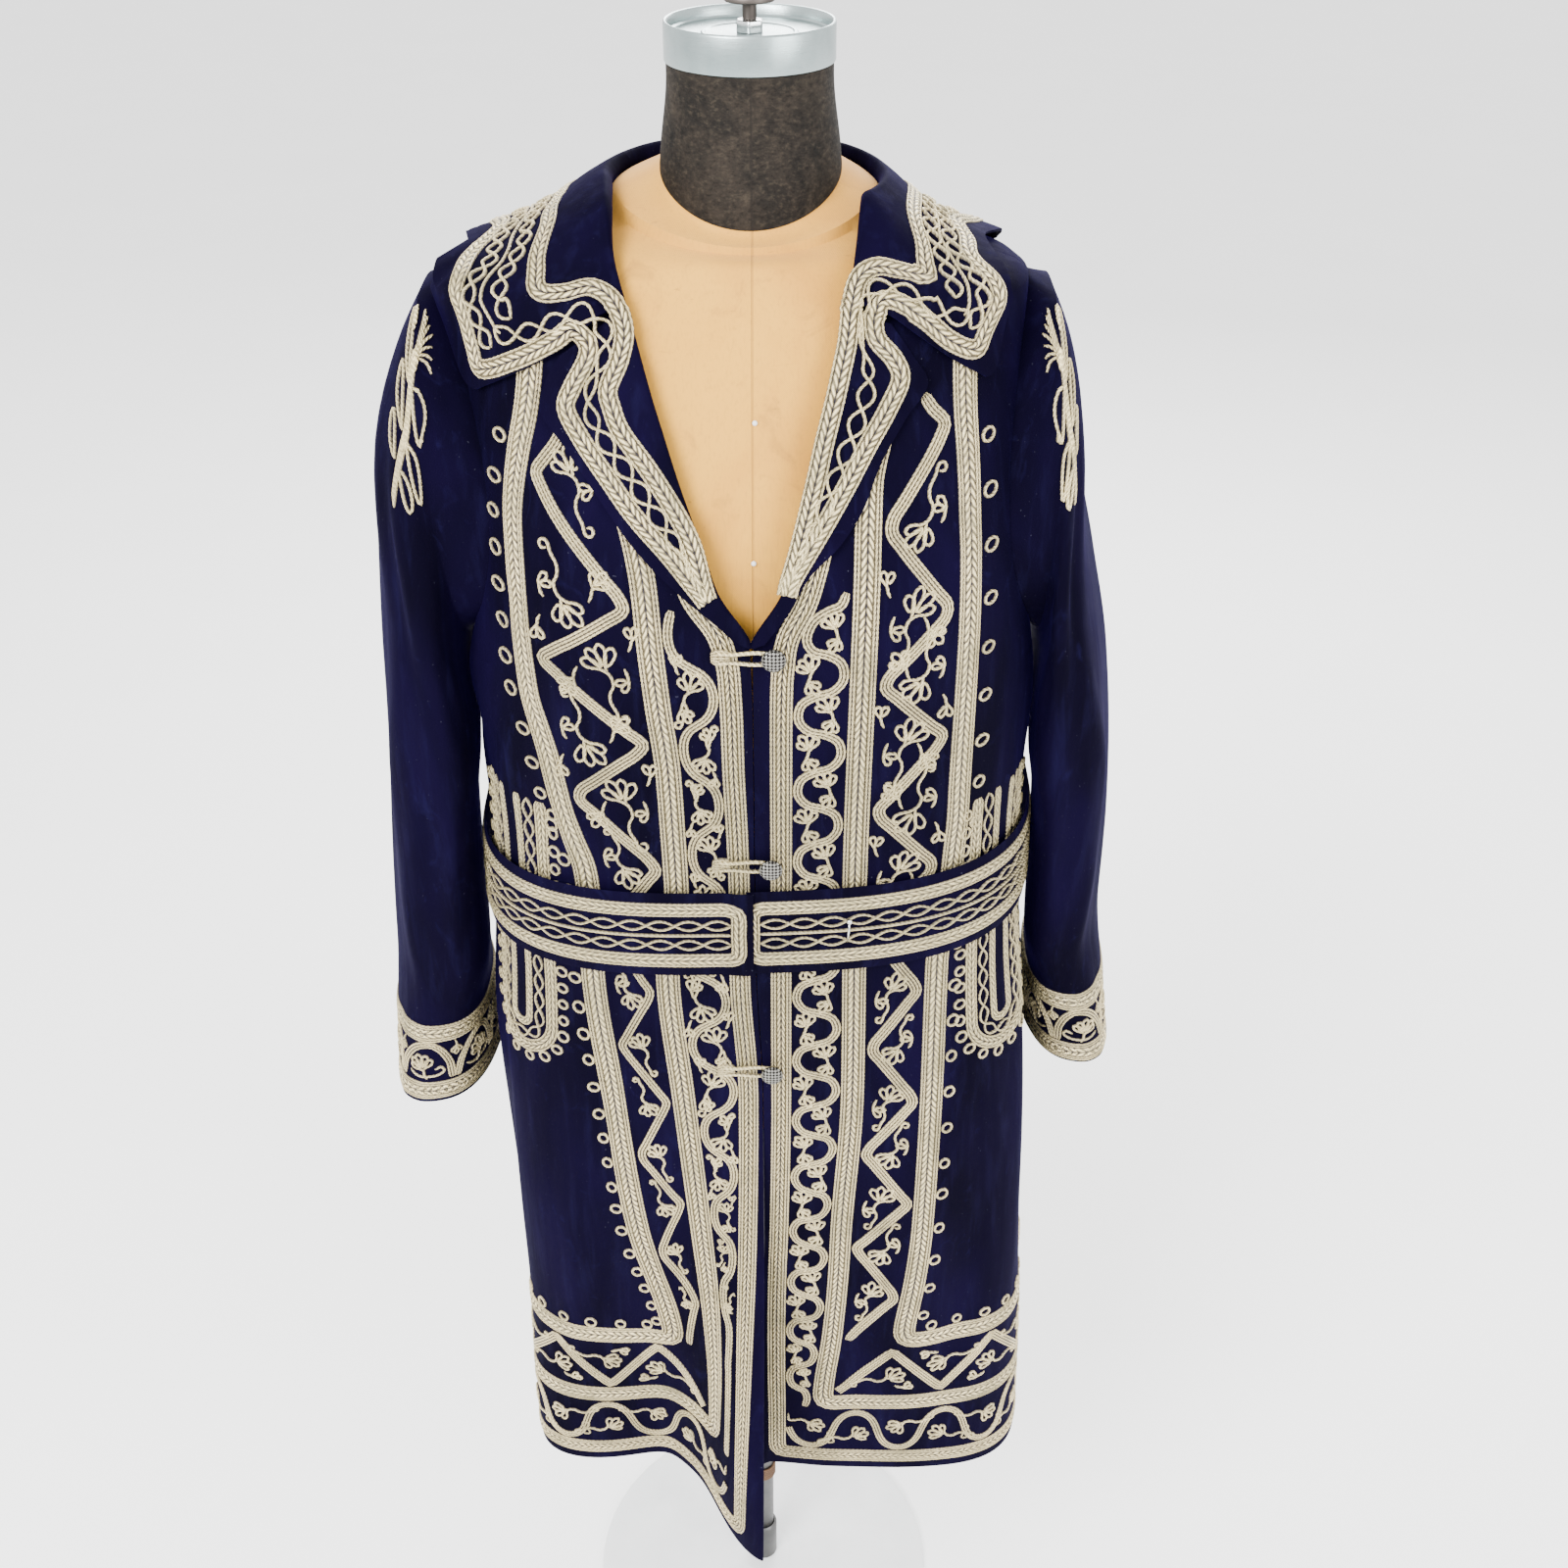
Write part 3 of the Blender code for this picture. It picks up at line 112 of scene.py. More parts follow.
# Largest folds of the body: turn, height, reach round and up, lean in degrees a metre, and
# how far out
FOLDS = (
    (-60, 0.322, 11, 0.15, -20, 0.012), (-36, 0.322, 10, 0.17, 20, -0.016),
    (24, 0.322, 14, 0.2, 0, 0.003), (100, 0.322, 9, 0.3, 12, -0.01),
    (122, 0.322, 10, 0.36, 8, 0.011), (150, 0.322, 11, 0.32, -6, -0.01),
    (183, 0.322, 12, 0.38, 4, 0.012), (212, 0.322, 10, 0.3, 10, -0.009),
    (236, 0.322, 9, 0.34, -10, 0.01), (258, 0.322, 8, 0.26, 0, -0.008),
    (-72, 1.085, 9, 0.045, 60, 0.01), (74, 1.07, 9, 0.06, -50, 0.006),
    (160, 1.03, 26, 0.05, 30, 0.006), (205, 1.01, 20, 0.04, -60, 0.005),
)

# The right front swings forward towards its hem corner
FLARE_OUT = 0.1
FLARE_TURN = math.radians(4)
FLARE_REACH = math.radians(17)
FLARE_HEIGHT = 0.2

# How far the hem hangs above its level, by turn, and how far up that is felt
HANG = Table("turn lift", (
    (-180, 0.0), (0, 0.0), (4, 0.005), (24, 0.002), (44, -0.005), (68, -0.011), (90, -0.008),
    (120, 0.0), (180, 0.0),
))
HANG_REACH = 0.1

# How far each front's edge and its three braids lie from the centre plane, towards the
# wearer's right or left. Above the fastening the edge is the line where the lapel rolls
FRONTS = both_sides("height edge braid_1 braid_2 braid_3", (
    (0.322, -0.002, 0.01, 0.029, 0.062), (0.45, -0.003, 0.009, 0.03, 0.066),
    (0.52, -0.004, 0.0085, 0.034, 0.074), (0.625, -0.005, 0.007, 0.0435, 0.095),
    (0.77, -0.005, 0.0055, 0.0545, 0.108), (0.88, -0.001, 0.0105, 0.062, 0.1165),
    (0.955, -0.0005, 0.01, 0.0535, 0.116), (1.01, -0.0005, 0.011, 0.0545, 0.13),
    (1.06, -0.0005, 0.0125, 0.056, 0.1385), (1.1, -0.0005, 0.013, 0.06, 0.148),
    (1.148, 0.0006, 0.016, 0.064, 0.151), (1.19, 0.0235, 0.039, 0.067, 0.152),
    (1.214, 0.031, 0.0455, 0.0705, 0.152), (1.25, 0.0445, 0.058, 0.08, 0.148),
    (1.284, 0.056, 0.068, 0.09, 0.14), (LAPEL_Z, 0.0615, 0.073, 0.094, 0.137),
    (1.326, 0.0696, 0.08, 0.1, 0.135), (1.353, 0.078, 0.09, 0.105, 0.135),
    (1.376, 0.0865, 0.09, 0.105, 0.135), (1.39, 0.0885, 0.09, 0.105, 0.135),
    (NECK_Z, 0.0905, 0.091, 0.105, 0.135),
), (
    (0.322, 0.0026, 0.015, 0.042, 0.105), (0.392, 0.0036, 0.015, 0.0505, 0.112),
    (0.446, 0.0036, 0.0145, 0.055, 0.116), (0.493, 0.0042, 0.0145, 0.06, 0.119),
    (0.57, 0.005, 0.0155, 0.0645, 0.127), (0.625, 0.0056, 0.017, 0.066, 0.13),
    (0.77, 0.0056, 0.0189, 0.072, 0.1316), (0.88, 0.0016, 0.0189, 0.071, 0.131),
    (0.955, 0.0011, 0.019, 0.0698, 0.1382), (1.01, 0.0011, 0.019, 0.07, 0.14),
    (1.1, 0.0011, 0.0191, 0.0712, 0.1408), (1.148, 0.0012, 0.021, 0.072, 0.141),
    (1.19, 0.0228, 0.038, 0.0728, 0.1405), (1.214, 0.0288, 0.043, 0.073, 0.139),
    (1.25, 0.0372, 0.051, 0.0735, 0.137), (1.284, 0.0462, 0.06, 0.08, 0.134),
    (LAPEL_Z, 0.0512, 0.065, 0.085, 0.133), (1.326, 0.0577, 0.072, 0.09, 0.133),
    (1.353, 0.0627, 0.078, 0.095, 0.133), (1.376, 0.0672, 0.08, 0.095, 0.133),
    (1.39, 0.07, 0.082, 0.095, 0.133), (NECK_Z, 0.0712, 0.083, 0.095, 0.133),
))

# Armholes: reach before and behind the side seam, and how much wider they are low down
ARMHOLE_FRONT = 0.085
ARMHOLE_BACK = 0.075
ARMHOLE_SKEW = 0.35

# Rings of the sleeves from the head down: the ends next to the body and away from it,
# the middle and half depth from front to back, and how far the front leans outward
SLEEVES = both_sides("step inner_x inner_z outer_x outer_z middle_y half_depth lean", (
    (0, 0.1995, 1.095, 0.214, 1.338, -0.003, 0.09, 0.0),
    (1, 0.2015, 1.083, 0.232, 1.304, -0.006, 0.092, -0.002),
    (2, 0.202, 1.07, 0.248, 1.255, -0.01, 0.09, -0.004),
    (3, 0.202, 1.053, 0.258, 1.195, -0.012, 0.088, -0.009),
    (4, 0.202, 1.033, 0.264, 1.135, -0.014, 0.085, -0.012),
    (5, 0.2035, 1.005, 0.269, 1.065, -0.017, 0.082, -0.013),
    (6, 0.2085, 0.96, 0.273, 0.99, -0.019, 0.079, -0.012),
    (7, 0.2105, 0.89, 0.28, 0.9, -0.018, 0.075, -0.011),
    (8, 0.2115, 0.83, 0.285, 0.832, -0.016, 0.071, -0.011),
    (9, 0.215, 0.778, 0.288, 0.778, -0.014, 0.067, -0.002),
    (10, 0.218, 0.69, 0.2915, 0.69, -0.01, 0.063, 0.009),
), (
    (0, 0.1985, 1.095, 0.196, 1.337, 0.0, 0.088, 0.0),
    (1, 0.201, 1.083, 0.21, 1.303, -0.002, 0.089, -0.002),
    (2, 0.2015, 1.07, 0.219, 1.252, -0.004, 0.087, -0.004),
    (3, 0.2015, 1.053, 0.227, 1.195, -0.006, 0.085, -0.007),
    (4, 0.202, 1.033, 0.24, 1.135, -0.007, 0.083, -0.01),
    (5, 0.2035, 1.005, 0.255, 1.065, -0.008, 0.081, -0.013),
    (6, 0.2085, 0.965, 0.264, 0.995, -0.006, 0.078, -0.0115),
    (7, 0.211, 0.9, 0.269, 0.91, -0.002, 0.074, -0.011),
    (8, 0.213, 0.84, 0.271, 0.842, 0.003, 0.07, -0.012),
    (9, 0.2165, 0.79, 0.277, 0.79, 0.008, 0.066, -0.003),
    (10, 0.22, 0.712, 0.284, 0.712, 0.012, 0.062, 0.008),
))
CUFF_STEP = 9
CUFF_HEIGHT = 0.086
HEAD_LIFT = -0.0022
CUFF_BRAIDS = ((0.05, 0.26), (0.74, 0.97))
CUFF_WIDTHS = (0.018, 0.019)
CUFF_ARCHES = 7
SLEEVE_FLATTEN = 0.8

# Outer edges of the lapels, from the fastening up to the corner, then in to the notch
LAPELS = both_sides("along roll_height edge_x edge_height", (
    (0.0, 1.153, 0.0085, 1.156), (0.14, 1.168, 0.021, 1.168), (0.26, 1.19, 0.04, 1.184),
    (0.4, 1.218, 0.07, 1.214), (0.54, 1.246, 0.091, 1.241), (0.68, 1.276, 0.1124, 1.27),
    (0.8, 1.301, 0.128, 1.291), (0.9, 1.325, 0.1245, 1.306), (1.0, 1.349, 0.115, 1.3215),
), (
    (0.0, 1.153, 0.0085, 1.1555), (0.16, 1.18, 0.025, 1.178), (0.3, 1.205, 0.0365, 1.199),
    (0.42, 1.229, 0.056, 1.219), (0.54, 1.25, 0.0695, 1.239), (0.68, 1.278, 0.08, 1.265),
    (0.8, 1.302, 0.0945, 1.288), (0.88, 1.32, 0.108, 1.3065), (0.94, 1.333, 0.098, 1.323),
    (1.0, 1.347, 0.085, 1.3405),
))
LAPEL_OUT = 0.0034
LAPEL_ROLL = 0.0019

# The collar on each side: front end of each part across it, outer edge and height of its
# stand by turn
COLLAR_FRONTS = both_sides("across turn height", (
    (0.0, 40.0, 1.351), (0.48, 48.9, 1.324), (0.8, 58.5, 1.304), (1.0, 65.0, 1.292),
), (
    (0.0, 32.5, 1.351), (0.42, 39.8, 1.345), (0.64, 46.5, 1.3305), (0.84, 52.7, 1.3155),
    (1.0, 58.6, 1.303),
))
COLLAR_EDGES = both_sides("turn height stand out", (
    (38, 1.28, 0.0014, 0.005), (50, 1.284, 0.006, 0.0052), (65, 1.292, 0.011, 0.0055),
    (76, 1.319, 0.011, 0.0056), (84, 1.345, 0.0115, 0.0056), (90, 1.3555, 0.012, 0.0054),
    (98, 1.352, 0.0125, 0.0053), (115, 1.336, 0.0135, 0.0054), (140, 1.312, 0.015, 0.0054),
    (180, 1.3, 0.015, 0.0052),
), (
    (32, 1.29, 0.0014, 0.005), (45, 1.295, 0.006, 0.0052), (58.6, 1.303, 0.0105, 0.0055),
    (64, 1.328, 0.0095, 0.0052), (72, 1.35, 0.0095, 0.0052), (90, 1.36, 0.01, 0.005),
    (100, 1.354, 0.0105, 0.005), (115, 1.338, 0.012, 0.0052), (140, 1.312, 0.0145, 0.0054),
    (180, 1.3, 0.015, 0.0052),
))
COLLAR_STAND = ((0.02, 0.02), (0.34, 0.4), (0.26, 0.9), (-0.2, 0.95))
COLLAR_FALL_FROM = 0.12
COLLAR_ARCH = 0.0036
COLLAR_ARCH_REACH = 0.014
COLLAR_SEAM_HEIGHTS = (1.3512, 1.358, 1.3645, 1.371, 1.3775, 1.384, 1.39, NECK_Z)
COLLAR_SETTLE = 0.5
COLLAR_SETTLE_REACH = 0.45
COLLAR_END_REACH = 6.0
COLLAR_CENTRE = (0, 0, NECK_Z + 0.03)

# Belt
BELT_Z = 0.923
BELT_HEIGHT = 0.072
BELT_THICK = 0.0022
BELT_RISE_LEFT = 0.04
BELT_OUT = 0.006

# Braid round the slit pockets: turn of each slit and the heights of its braid
POCKET_TURNS = (-57.8, 60.3)
POCKET_TOP = 1.012
POCKET_BOTTOM = 0.815
POCKET_BODY_RADIUS = 0.19
# Half widths of its plait, its slim border, the chain between them and the rings outside
POCKET_ROUTES = (0.0285, 0.0085, 0.0182, 0.0378)

# Buttons and the cord loops that fasten them: where each is, and how far its shank's foot
# is above the wall's outer face
BUTTONS = ((0.0145, 1.146, 0.0001), (0.012, 0.9795, 0.0019), (0.0123, 0.7935, 0.0019))
LOOP_REACH = 0.036
LOOP_RADIUS = 0.0034
LOOP_CORD = 0.0011
LOOP_CLEAR = 0.0008

# Dress form
FORM = Table("height half_width front back", (
    (0.7, 0.158, 0.116, 0.124), (0.76, 0.172, 0.125, 0.13), (0.84, 0.166, 0.122, 0.12),
    (0.93, 0.138, 0.11, 0.096), (1.0, 0.146, 0.118, 0.1), (1.08, 0.162, 0.136, 0.11),
    (1.15, 0.17, 0.146, 0.118), (1.21, 0.173, 0.143, 0.121), (1.27, 0.174, 0.127, 0.118),
    (1.345, 0.173, 0.098, 0.098),
))
FORM_LOWER_TOP_Z = 1.3
FORM_SQUARE = 2.35
FORM_CLEAR = 0.00035
FORM_EASE = 0.006
FORM_EASE_REACH = math.radians(12)
FORM_TOP_Z = 1.41
FORM_RISE = (1.37, 0.04)
FORM_SHOULDER_POWER = 0.7
FORM_TOP_MIDDLE_Z = 1.4
NECK_BASE = (1.40625, 0.0175, 0.00375)
NECK_BASE_RADIUS = 0.0575
NECK_TOP_RADIUS = 0.052
NECK_TOP_Z = 1.474

# The cap on the form's neck, its nut and its bolt
CAP_RADIUS = 0.0532
CAP_TOP_Z = 1.498
CAP_DEPTH = 0.0075
NUT_RADIUS = 0.0092
NUT_HEIGHT = 0.007

# Stand
POLE_RADIUS = 0.0105
POLE_FOOT_Z = 0.0163
FORM_FOOT_Z = 0.7
FOOT_RADIUS = 0.0135
FOOT_CLEAR = 0.0006
FOOT_TOP_Z = 0.06
BASE_RADIUS = 0.165
BASE_Z = 0.016


def ease(t):
    """Smooth step from 0 to 1."""
    t = np.clip(t, 0, 1)
    return t * t * (3 - 2 * t)


def unit(vectors):
    return vectors / np.linalg.norm(vectors, axis=-1, keepdims=True)


def wrapped(turn):
    """The same turn, within half a turn of the front centre."""
    return (turn + HALF_TURN) % (2 * HALF_TURN) - HALF_TURN


def folded(turn):
    return np.abs(wrapped(turn))


def round_turn(turn):
    """The same turn counted from 0 on the left round the back."""
    return np.asarray(turn, float) % (2 * HALF_TURN)


def whole_turn(steps):
    return 2 * math.pi * np.arange(steps) / steps


def matched(a, b):
    return np.broadcast_arrays(np.asarray(a, float), np.asarray(b, float))


def paired(a, b):
    """Points of two numbers, each of them an array or one value."""
    return np.stack(matched(a, b), -1)


def run_length(points):
    """Distance of each point along a line."""
    return np.concatenate([[0], np.cumsum(np.linalg.norm(np.diff(points, axis=0), axis=1))])


def around(radius, turn, z):
    """Points about the axis, at turns from the front centre."""
    return np.stack([radius * np.sin(turn), -radius * np.cos(turn), z + 0 * turn], -1)


def curve_point(a, b, c, d, t):
    """Point between b and c of a smooth curve through four points."""
    return 0.5 * (2 * b + (c - a) * t + (2 * a - 5 * b + 4 * c - d) * (t * t)
                  + (3 * b - a - 3 * c + d) * t**3)


# Surface of the coat's body


def bulges(rows, turn, level):
    """How far soft folds carry a cloth out. Each has its turn, level, reach round and along,
    lean in degrees for each unit along, and how far out it stands."""
    out = np.zeros(np.broadcast(turn, level).shape)
    for at, middle, reach, rise, lean, depth in rows:
        away = wrapped(turn - (math.radians(at) + math.radians(lean) * (level - middle)))
        far = -((away / math.radians(reach)) ** 2) - ((level - middle) / rise) ** 2
        out = out + depth * np.exp(far)
    return out


def body_sizes(turn, z):
    """Half width, depth and squareness of the section, on the side that a turn points to."""
    width = np.where(np.sin(turn) > 0, BODY("left", z), BODY("right", z))
    depth = np.where(np.cos(turn) > 0, BODY("front", z), BODY("back", z))
    return width, depth, BODY("square", z)


def body_middle(turn, z, flare=0.0):
    """Point of the body's cloth at a turn from the front centre, positive to the left."""
    turn = np.asarray(turn, float)
    z = np.asarray(z, float)
    width, depth, square = body_sizes(turn, z)
    across = (np.abs(np.sin(turn)) / width) ** square
    ahead = (np.abs(np.cos(turn)) / depth) ** square
    radius = (across + ahead) ** (-1 / square) + bulges(FOLDS, turn, z)
    swing = ((turn - FLARE_TURN) / FLARE_REACH) ** 2 + ((z - HEM_Z) / FLARE_HEIGHT) ** 2
    radius = radius + flare * FLARE_OUT * np.exp(-swing)
    hang = HANG("lift", np.degrees(wrapped(turn))) * np.exp(-(((z - HEM_Z) / HANG_REACH) ** 2))
    return around(radius, turn, z + hang)


def body_normal(turn, z, flare=0.0):
    """Outward direction of the body's cloth."""
    small = 1e-4
    lower = np.minimum(np.asarray(z, float), NECK_Z - small) - small
    upper = lower + 2 * small
    around = body_middle(turn + small, z, flare) - body_middle(turn - small, z, flare)
    along = body_middle(turn, upper, flare) - body_middle(turn, lower, flare)
    return unit(np.cross(around, along))


def body_point(turn, z, out=0.0, flare=0.0):
    out = np.asarray(out, float)[..., None]
    return body_middle(turn, z, flare) + body_normal(turn, z, flare) * out


def turn_at_x(x, z):
    """Turn of the front's point that lies a signed distance from the centre plane."""
    width, depth, square = body_sizes(np.where(np.asarray(x) >= 0, 0.5, -0.5), z)
    share = np.minimum(np.abs(x) / width, 0.9999)
    return np.arctan2(x, depth * (1 - share**square) ** (1 / square))


def turn_at_y(y, z):
    """Turn of the left side's point that lies a signed distance before or behind the axis."""
    width, depth, square = body_sizes(np.where(np.asarray(y) <= 0, 0.5, 2.5), z)
    share = np.minimum(np.abs(y) / depth, 0.9999)
    return np.arctan2(width * (1 - share**square) ** (1 / square), -y)


def armhole_turn(z, behind):
    """Turn of the armhole's front or back edge at a height, on the left side."""
    lift = np.clip((z - ARMHOLE_MIDDLE_Z) / (SHOULDER_Z - ARMHOLE_MIDDLE_Z), -1, 1)
    reach = ARMHOLE_BACK if behind else -ARMHOLE_FRONT
    y = reach * np.sqrt(1 - lift**2) * (1 - ARMHOLE_SKEW * lift)
    return turn_at_y(y, z)


# Surface places. Each takes two numbers on a surface and a distance out of its outer face


# Soft creases of the body beside the folds: turn, height, reach round and up, lean in degrees
# a metre, and how far out
CREASES = (
    (-84, 1.175, 4.5, 0.06, 60, 0.003), (-76, 1.14, 3.5, 0.05, 90, -0.0035),
    (-70, 1.195, 4.0, 0.04, -120, 0.0022), (-63, 1.11, 3.0, 0.05, 160, -0.0022),
    (-58, 1.02, 4.5, 0.03, 40, 0.0022), (-80, 1.01, 4.5, 0.03, -60, 0.003),
    (-47, 1.0, 3.5, 0.022, 30, -0.0018), (-30, 1.0, 4.0, 0.02, 20, 0.0012),
    (84, 1.15, 4.0, 0.07, -70, 0.0026), (76, 1.12, 3.0, 0.06, -110, -0.0028),
    (68, 1.17, 3.5, 0.05, -60, 0.0018), (62, 1.03, 4.0, 0.034, -30, 0.002),
    (80, 1.0, 5.0, 0.03, 0, -0.0026), (46, 1.005, 3.5, 0.022, 0, 0.0014),
    (-78, 0.76, 3.5, 0.1, -8, 0.004), (-69, 0.64, 3.2, 0.16, 10, -0.0042),
    (-88, 0.7, 4.2, 0.15, 4, -0.0032), (-47, 0.59, 4.0, 0.12, 30, 0.003),
    (-40, 0.7, 3.6, 0.1, 45, -0.0026), (-26, 0.6, 4.2, 0.11, 25, 0.0024),
    (-17, 0.72, 3.4, 0.09, 12, -0.0018), (17, 0.62, 4.0, 0.14, -8, 0.002),
    (28, 0.54, 4.6, 0.12, -20, -0.003), (40, 0.64, 4.4, 0.15, -12, 0.0034),
    (52, 0.56, 3.8, 0.14, 8, -0.0036), (66, 0.7, 3.6, 0.16, 12, 0.0038),
    (76, 0.6, 3.8, 0.17, -6, -0.004), (88, 0.52, 4.6, 0.16, 5, 0.0044),
    (108, 0.56, 4.8, 0.2, 6, 0.0046), (131, 0.64, 4.2, 0.17, -5, -0.0044),
    (141, 0.5, 4.6, 0.15, 8, 0.004), (166, 0.66, 5.0, 0.19, 3, 0.004),
    (174, 0.52, 4.0, 0.15, -6, -0.0036), (194, 0.6, 4.6, 0.18, 4, -0.0044),
    (203, 0.7, 4.2, 0.15, -8, 0.0036), (224, 0.56, 4.6, 0.18, 5, 0.0046),
    (247, 0.64, 4.4, 0.16, -7, -0.004), (266, 0.54, 4.8, 0.2, 6, 0.0042),
    (128, 1.02, 7.0, 0.026, 50, 0.003), (146, 0.995, 8.0, 0.02, -30, -0.0026),
    (186, 1.005, 9.0, 0.022, 10, 0.003), (222, 1.02, 8.0, 0.024, -40, 0.0028),
    (236, 1.06, 7.0, 0.04, -60, -0.0026), (115, 1.15, 5.0, 0.09, 40, 0.003),
    (244, 1.14, 5.0, 0.08, -40, 0.0032), (140, 1.23, 8.0, 0.06, 30, -0.0022),
    (215, 1.24, 8.0, 0.06, -30, -0.002), (180, 1.18, 6.0, 0.11, 0, 0.0016),
)
CREASE_TOP = 1.262
CREASE_FADE = 0.06
# How far a seam and the belt flatten the creases beside them
SEAM_REACH = 0.02
BELT_FLATTENS = 0.047


def creases(turn, z):
    """How far small creases move the body's cloth. They fade out at the belt and the top."""
    turn, z = matched(turn, z)
    seam = 1 - np.exp(-(((folded(turn) - SIDE) / SEAM_REACH) ** 2)) * (z < UNDERARM_Z)
    seam = seam * (1 - np.exp(-(((folded(turn) - HALF_TURN) / SEAM_REACH) ** 2)))
    belt = 1 - np.exp(-(((z - BELT_Z) / BELT_FLATTENS) ** 6))
    top = 1 - ease((z - CREASE_TOP + CREASE_FADE) / CREASE_FADE)
    hem = ease((z - HEM_Z + 0.08) / 0.12)
    return bulges(CREASES, turn, z) * seam * belt * top * hem


def body_place(flare):
    """Places on the outer face of the body's cloth by turn and height."""
    def place(turn, z, out=0.0):
        return body_point(turn, z, CLOTH / 2 + creases(turn, z) + out, flare)
    return place


def collar_base(count):
    """Turns and heights along the neck seam, from the left front round the back."""
    heights = np.interp(np.linspace(0, 1, count), np.linspace(0, 1, 8), COLLAR_SEAM_HEIGHTS)
    left = turn_at_x(FRONTS[1]("edge", heights), heights)
    right = 2 * math.pi + turn_at_x(-FRONTS[-1]("edge", heights), heights)
    back = np.linspace(left[-1], right[-1], 4 * count)[1:-1]
    turns = np.concatenate([left, back, right[::-1]])
    return turns, np.concatenate([heights, np.full(len(back), NECK_Z), heights[::-1]])


SEAM_TURNS, SEAM_ZS = collar_base(16)


def collar_edge(name, turn):
    """A value of the collar's outer edge at turns that run from the left round the back."""
    near = np.degrees(np.minimum(turn, 2 * math.pi - turn))
    left = COLLAR_EDGES[1](name, near)
    return np.where(turn < math.pi, left, COLLAR_EDGES[-1](name, near))


def collar_out(turn, z, across):
    settle = (1 - ease(across / COLLAR_SETTLE_REACH)) * collar_edge("stand", turn) * COLLAR_SETTLE
    arch = COLLAR_ARCH * np.exp(-(((z - SHOULDER_Z) / COLLAR_ARCH_REACH) ** 2))
    return collar_edge("out", turn) + settle + arch


def collar_spot(turns, heights, across):
    """Turn and height of the collar's fall under the neck seam's points."""
    left = np.radians(COLLAR_FRONTS[1]("turn", across))
    right = 2 * math.pi - np.radians(COLLAR_FRONTS[-1]("turn", across))
    turn = left + (right - left) * (turns - turns[0]) / (turns[-1] - turns[0])
    seam = np.interp(turn, SEAM_TURNS, SEAM_ZS)
    z = seam + (collar_edge("height", turn) - seam) * across
    for side, end in ((1, left), (-1, right)):
        near = np.exp(-((np.degrees(turn - end) / COLLAR_END_REACH) ** 2))
        z = z + (COLLAR_FRONTS[side]("height", across) - z) * near
    return turn, z


def collar_front_turn(side, z):
    """Turn of the collar's front end at a height."""
    across = np.linspace(0, 1, 41)
    heights = COLLAR_FRONTS[side]("height", across)
    turns = np.radians(COLLAR_FRONTS[side]("turn", across))
    return np.interp(z, heights[::-1], turns[::-1])


def trim_place(side):
    """Places on the collar and, across its front end, on the lapel."""
    def place(turn, z, out=0.0):
        full = round_turn(turn)
        seam = np.interp(full, SEAM_TURNS, SEAM_ZS)
        span = np.maximum(seam - collar_edge("height", full), 0.004)
        across = np.clip((seam - z) / span, 0, 1)
        past = (folded(turn) - collar_front_turn(side, z)) * 0.13
        share = ease(1.0 + (past + 0.001) / 0.007) * ease((z - 1.28) / 0.01)
        base = LAPEL_OUT + (collar_out(full, z, across) - LAPEL_OUT) * share
        return body_point(turn, z, base + CLOTH / 2 + out)
    return place


def belt_place(turn, across, out=0.0):
    """Places on the belt by turn and share of its width. Its right end lies over the other."""
    turn = np.asarray(turn, float)
    lap = 0.0027 * ease((np.degrees(turn) - 351.0) / 7.0)
    dip = -0.0004 * np.cos(turn * 5 + 1) * ease(turn) * ease(2 * math.pi - turn)
    x = body_middle(turn, BELT_Z + 0 * turn)[..., 0]
    z = BELT_Z + BELT_RISE_LEFT * x + BELT_HEIGHT * (across - 0.5)
    return body_point(turn, z, BELT_OUT + BELT_THICK / 2 + lap + dip + out)


def armhole_points(side, angle):
    """Points and outward directions of the armhole at angles from its top down the front."""
    heights = ARMHOLE_MIDDLE_Z + ARMHOLE_HALF * np.cos(angle)
    behind = np.sin(angle) < 0
    turns = side * np.where(behind, armhole_turn(heights, True), armhole_turn(heights, False))
    return body_middle(turns, heights), body_normal(turns, heights)


def sleeve_ring(side, step, angle):
    table = SLEEVES[side]
    high = np.sign(np.cos(angle)) * np.abs(np.cos(angle)) ** SLEEVE_FLATTEN
    fore = np.sign(np.sin(angle)) * np.abs(np.sin(angle)) ** SLEEVE_FLATTEN
    share = (1 + high) / 2
    x = table("inner_x", step) * (1 - share) + table("outer_x", step) * share
    z = table("inner_z", step) * (1 - share) + table("outer_z", step) * share
    x = x + table("lean", step) * fore
    y = table("middle_y", step) - table("half_depth", step) * fore
    return np.stack([side * x, y, z], -1)


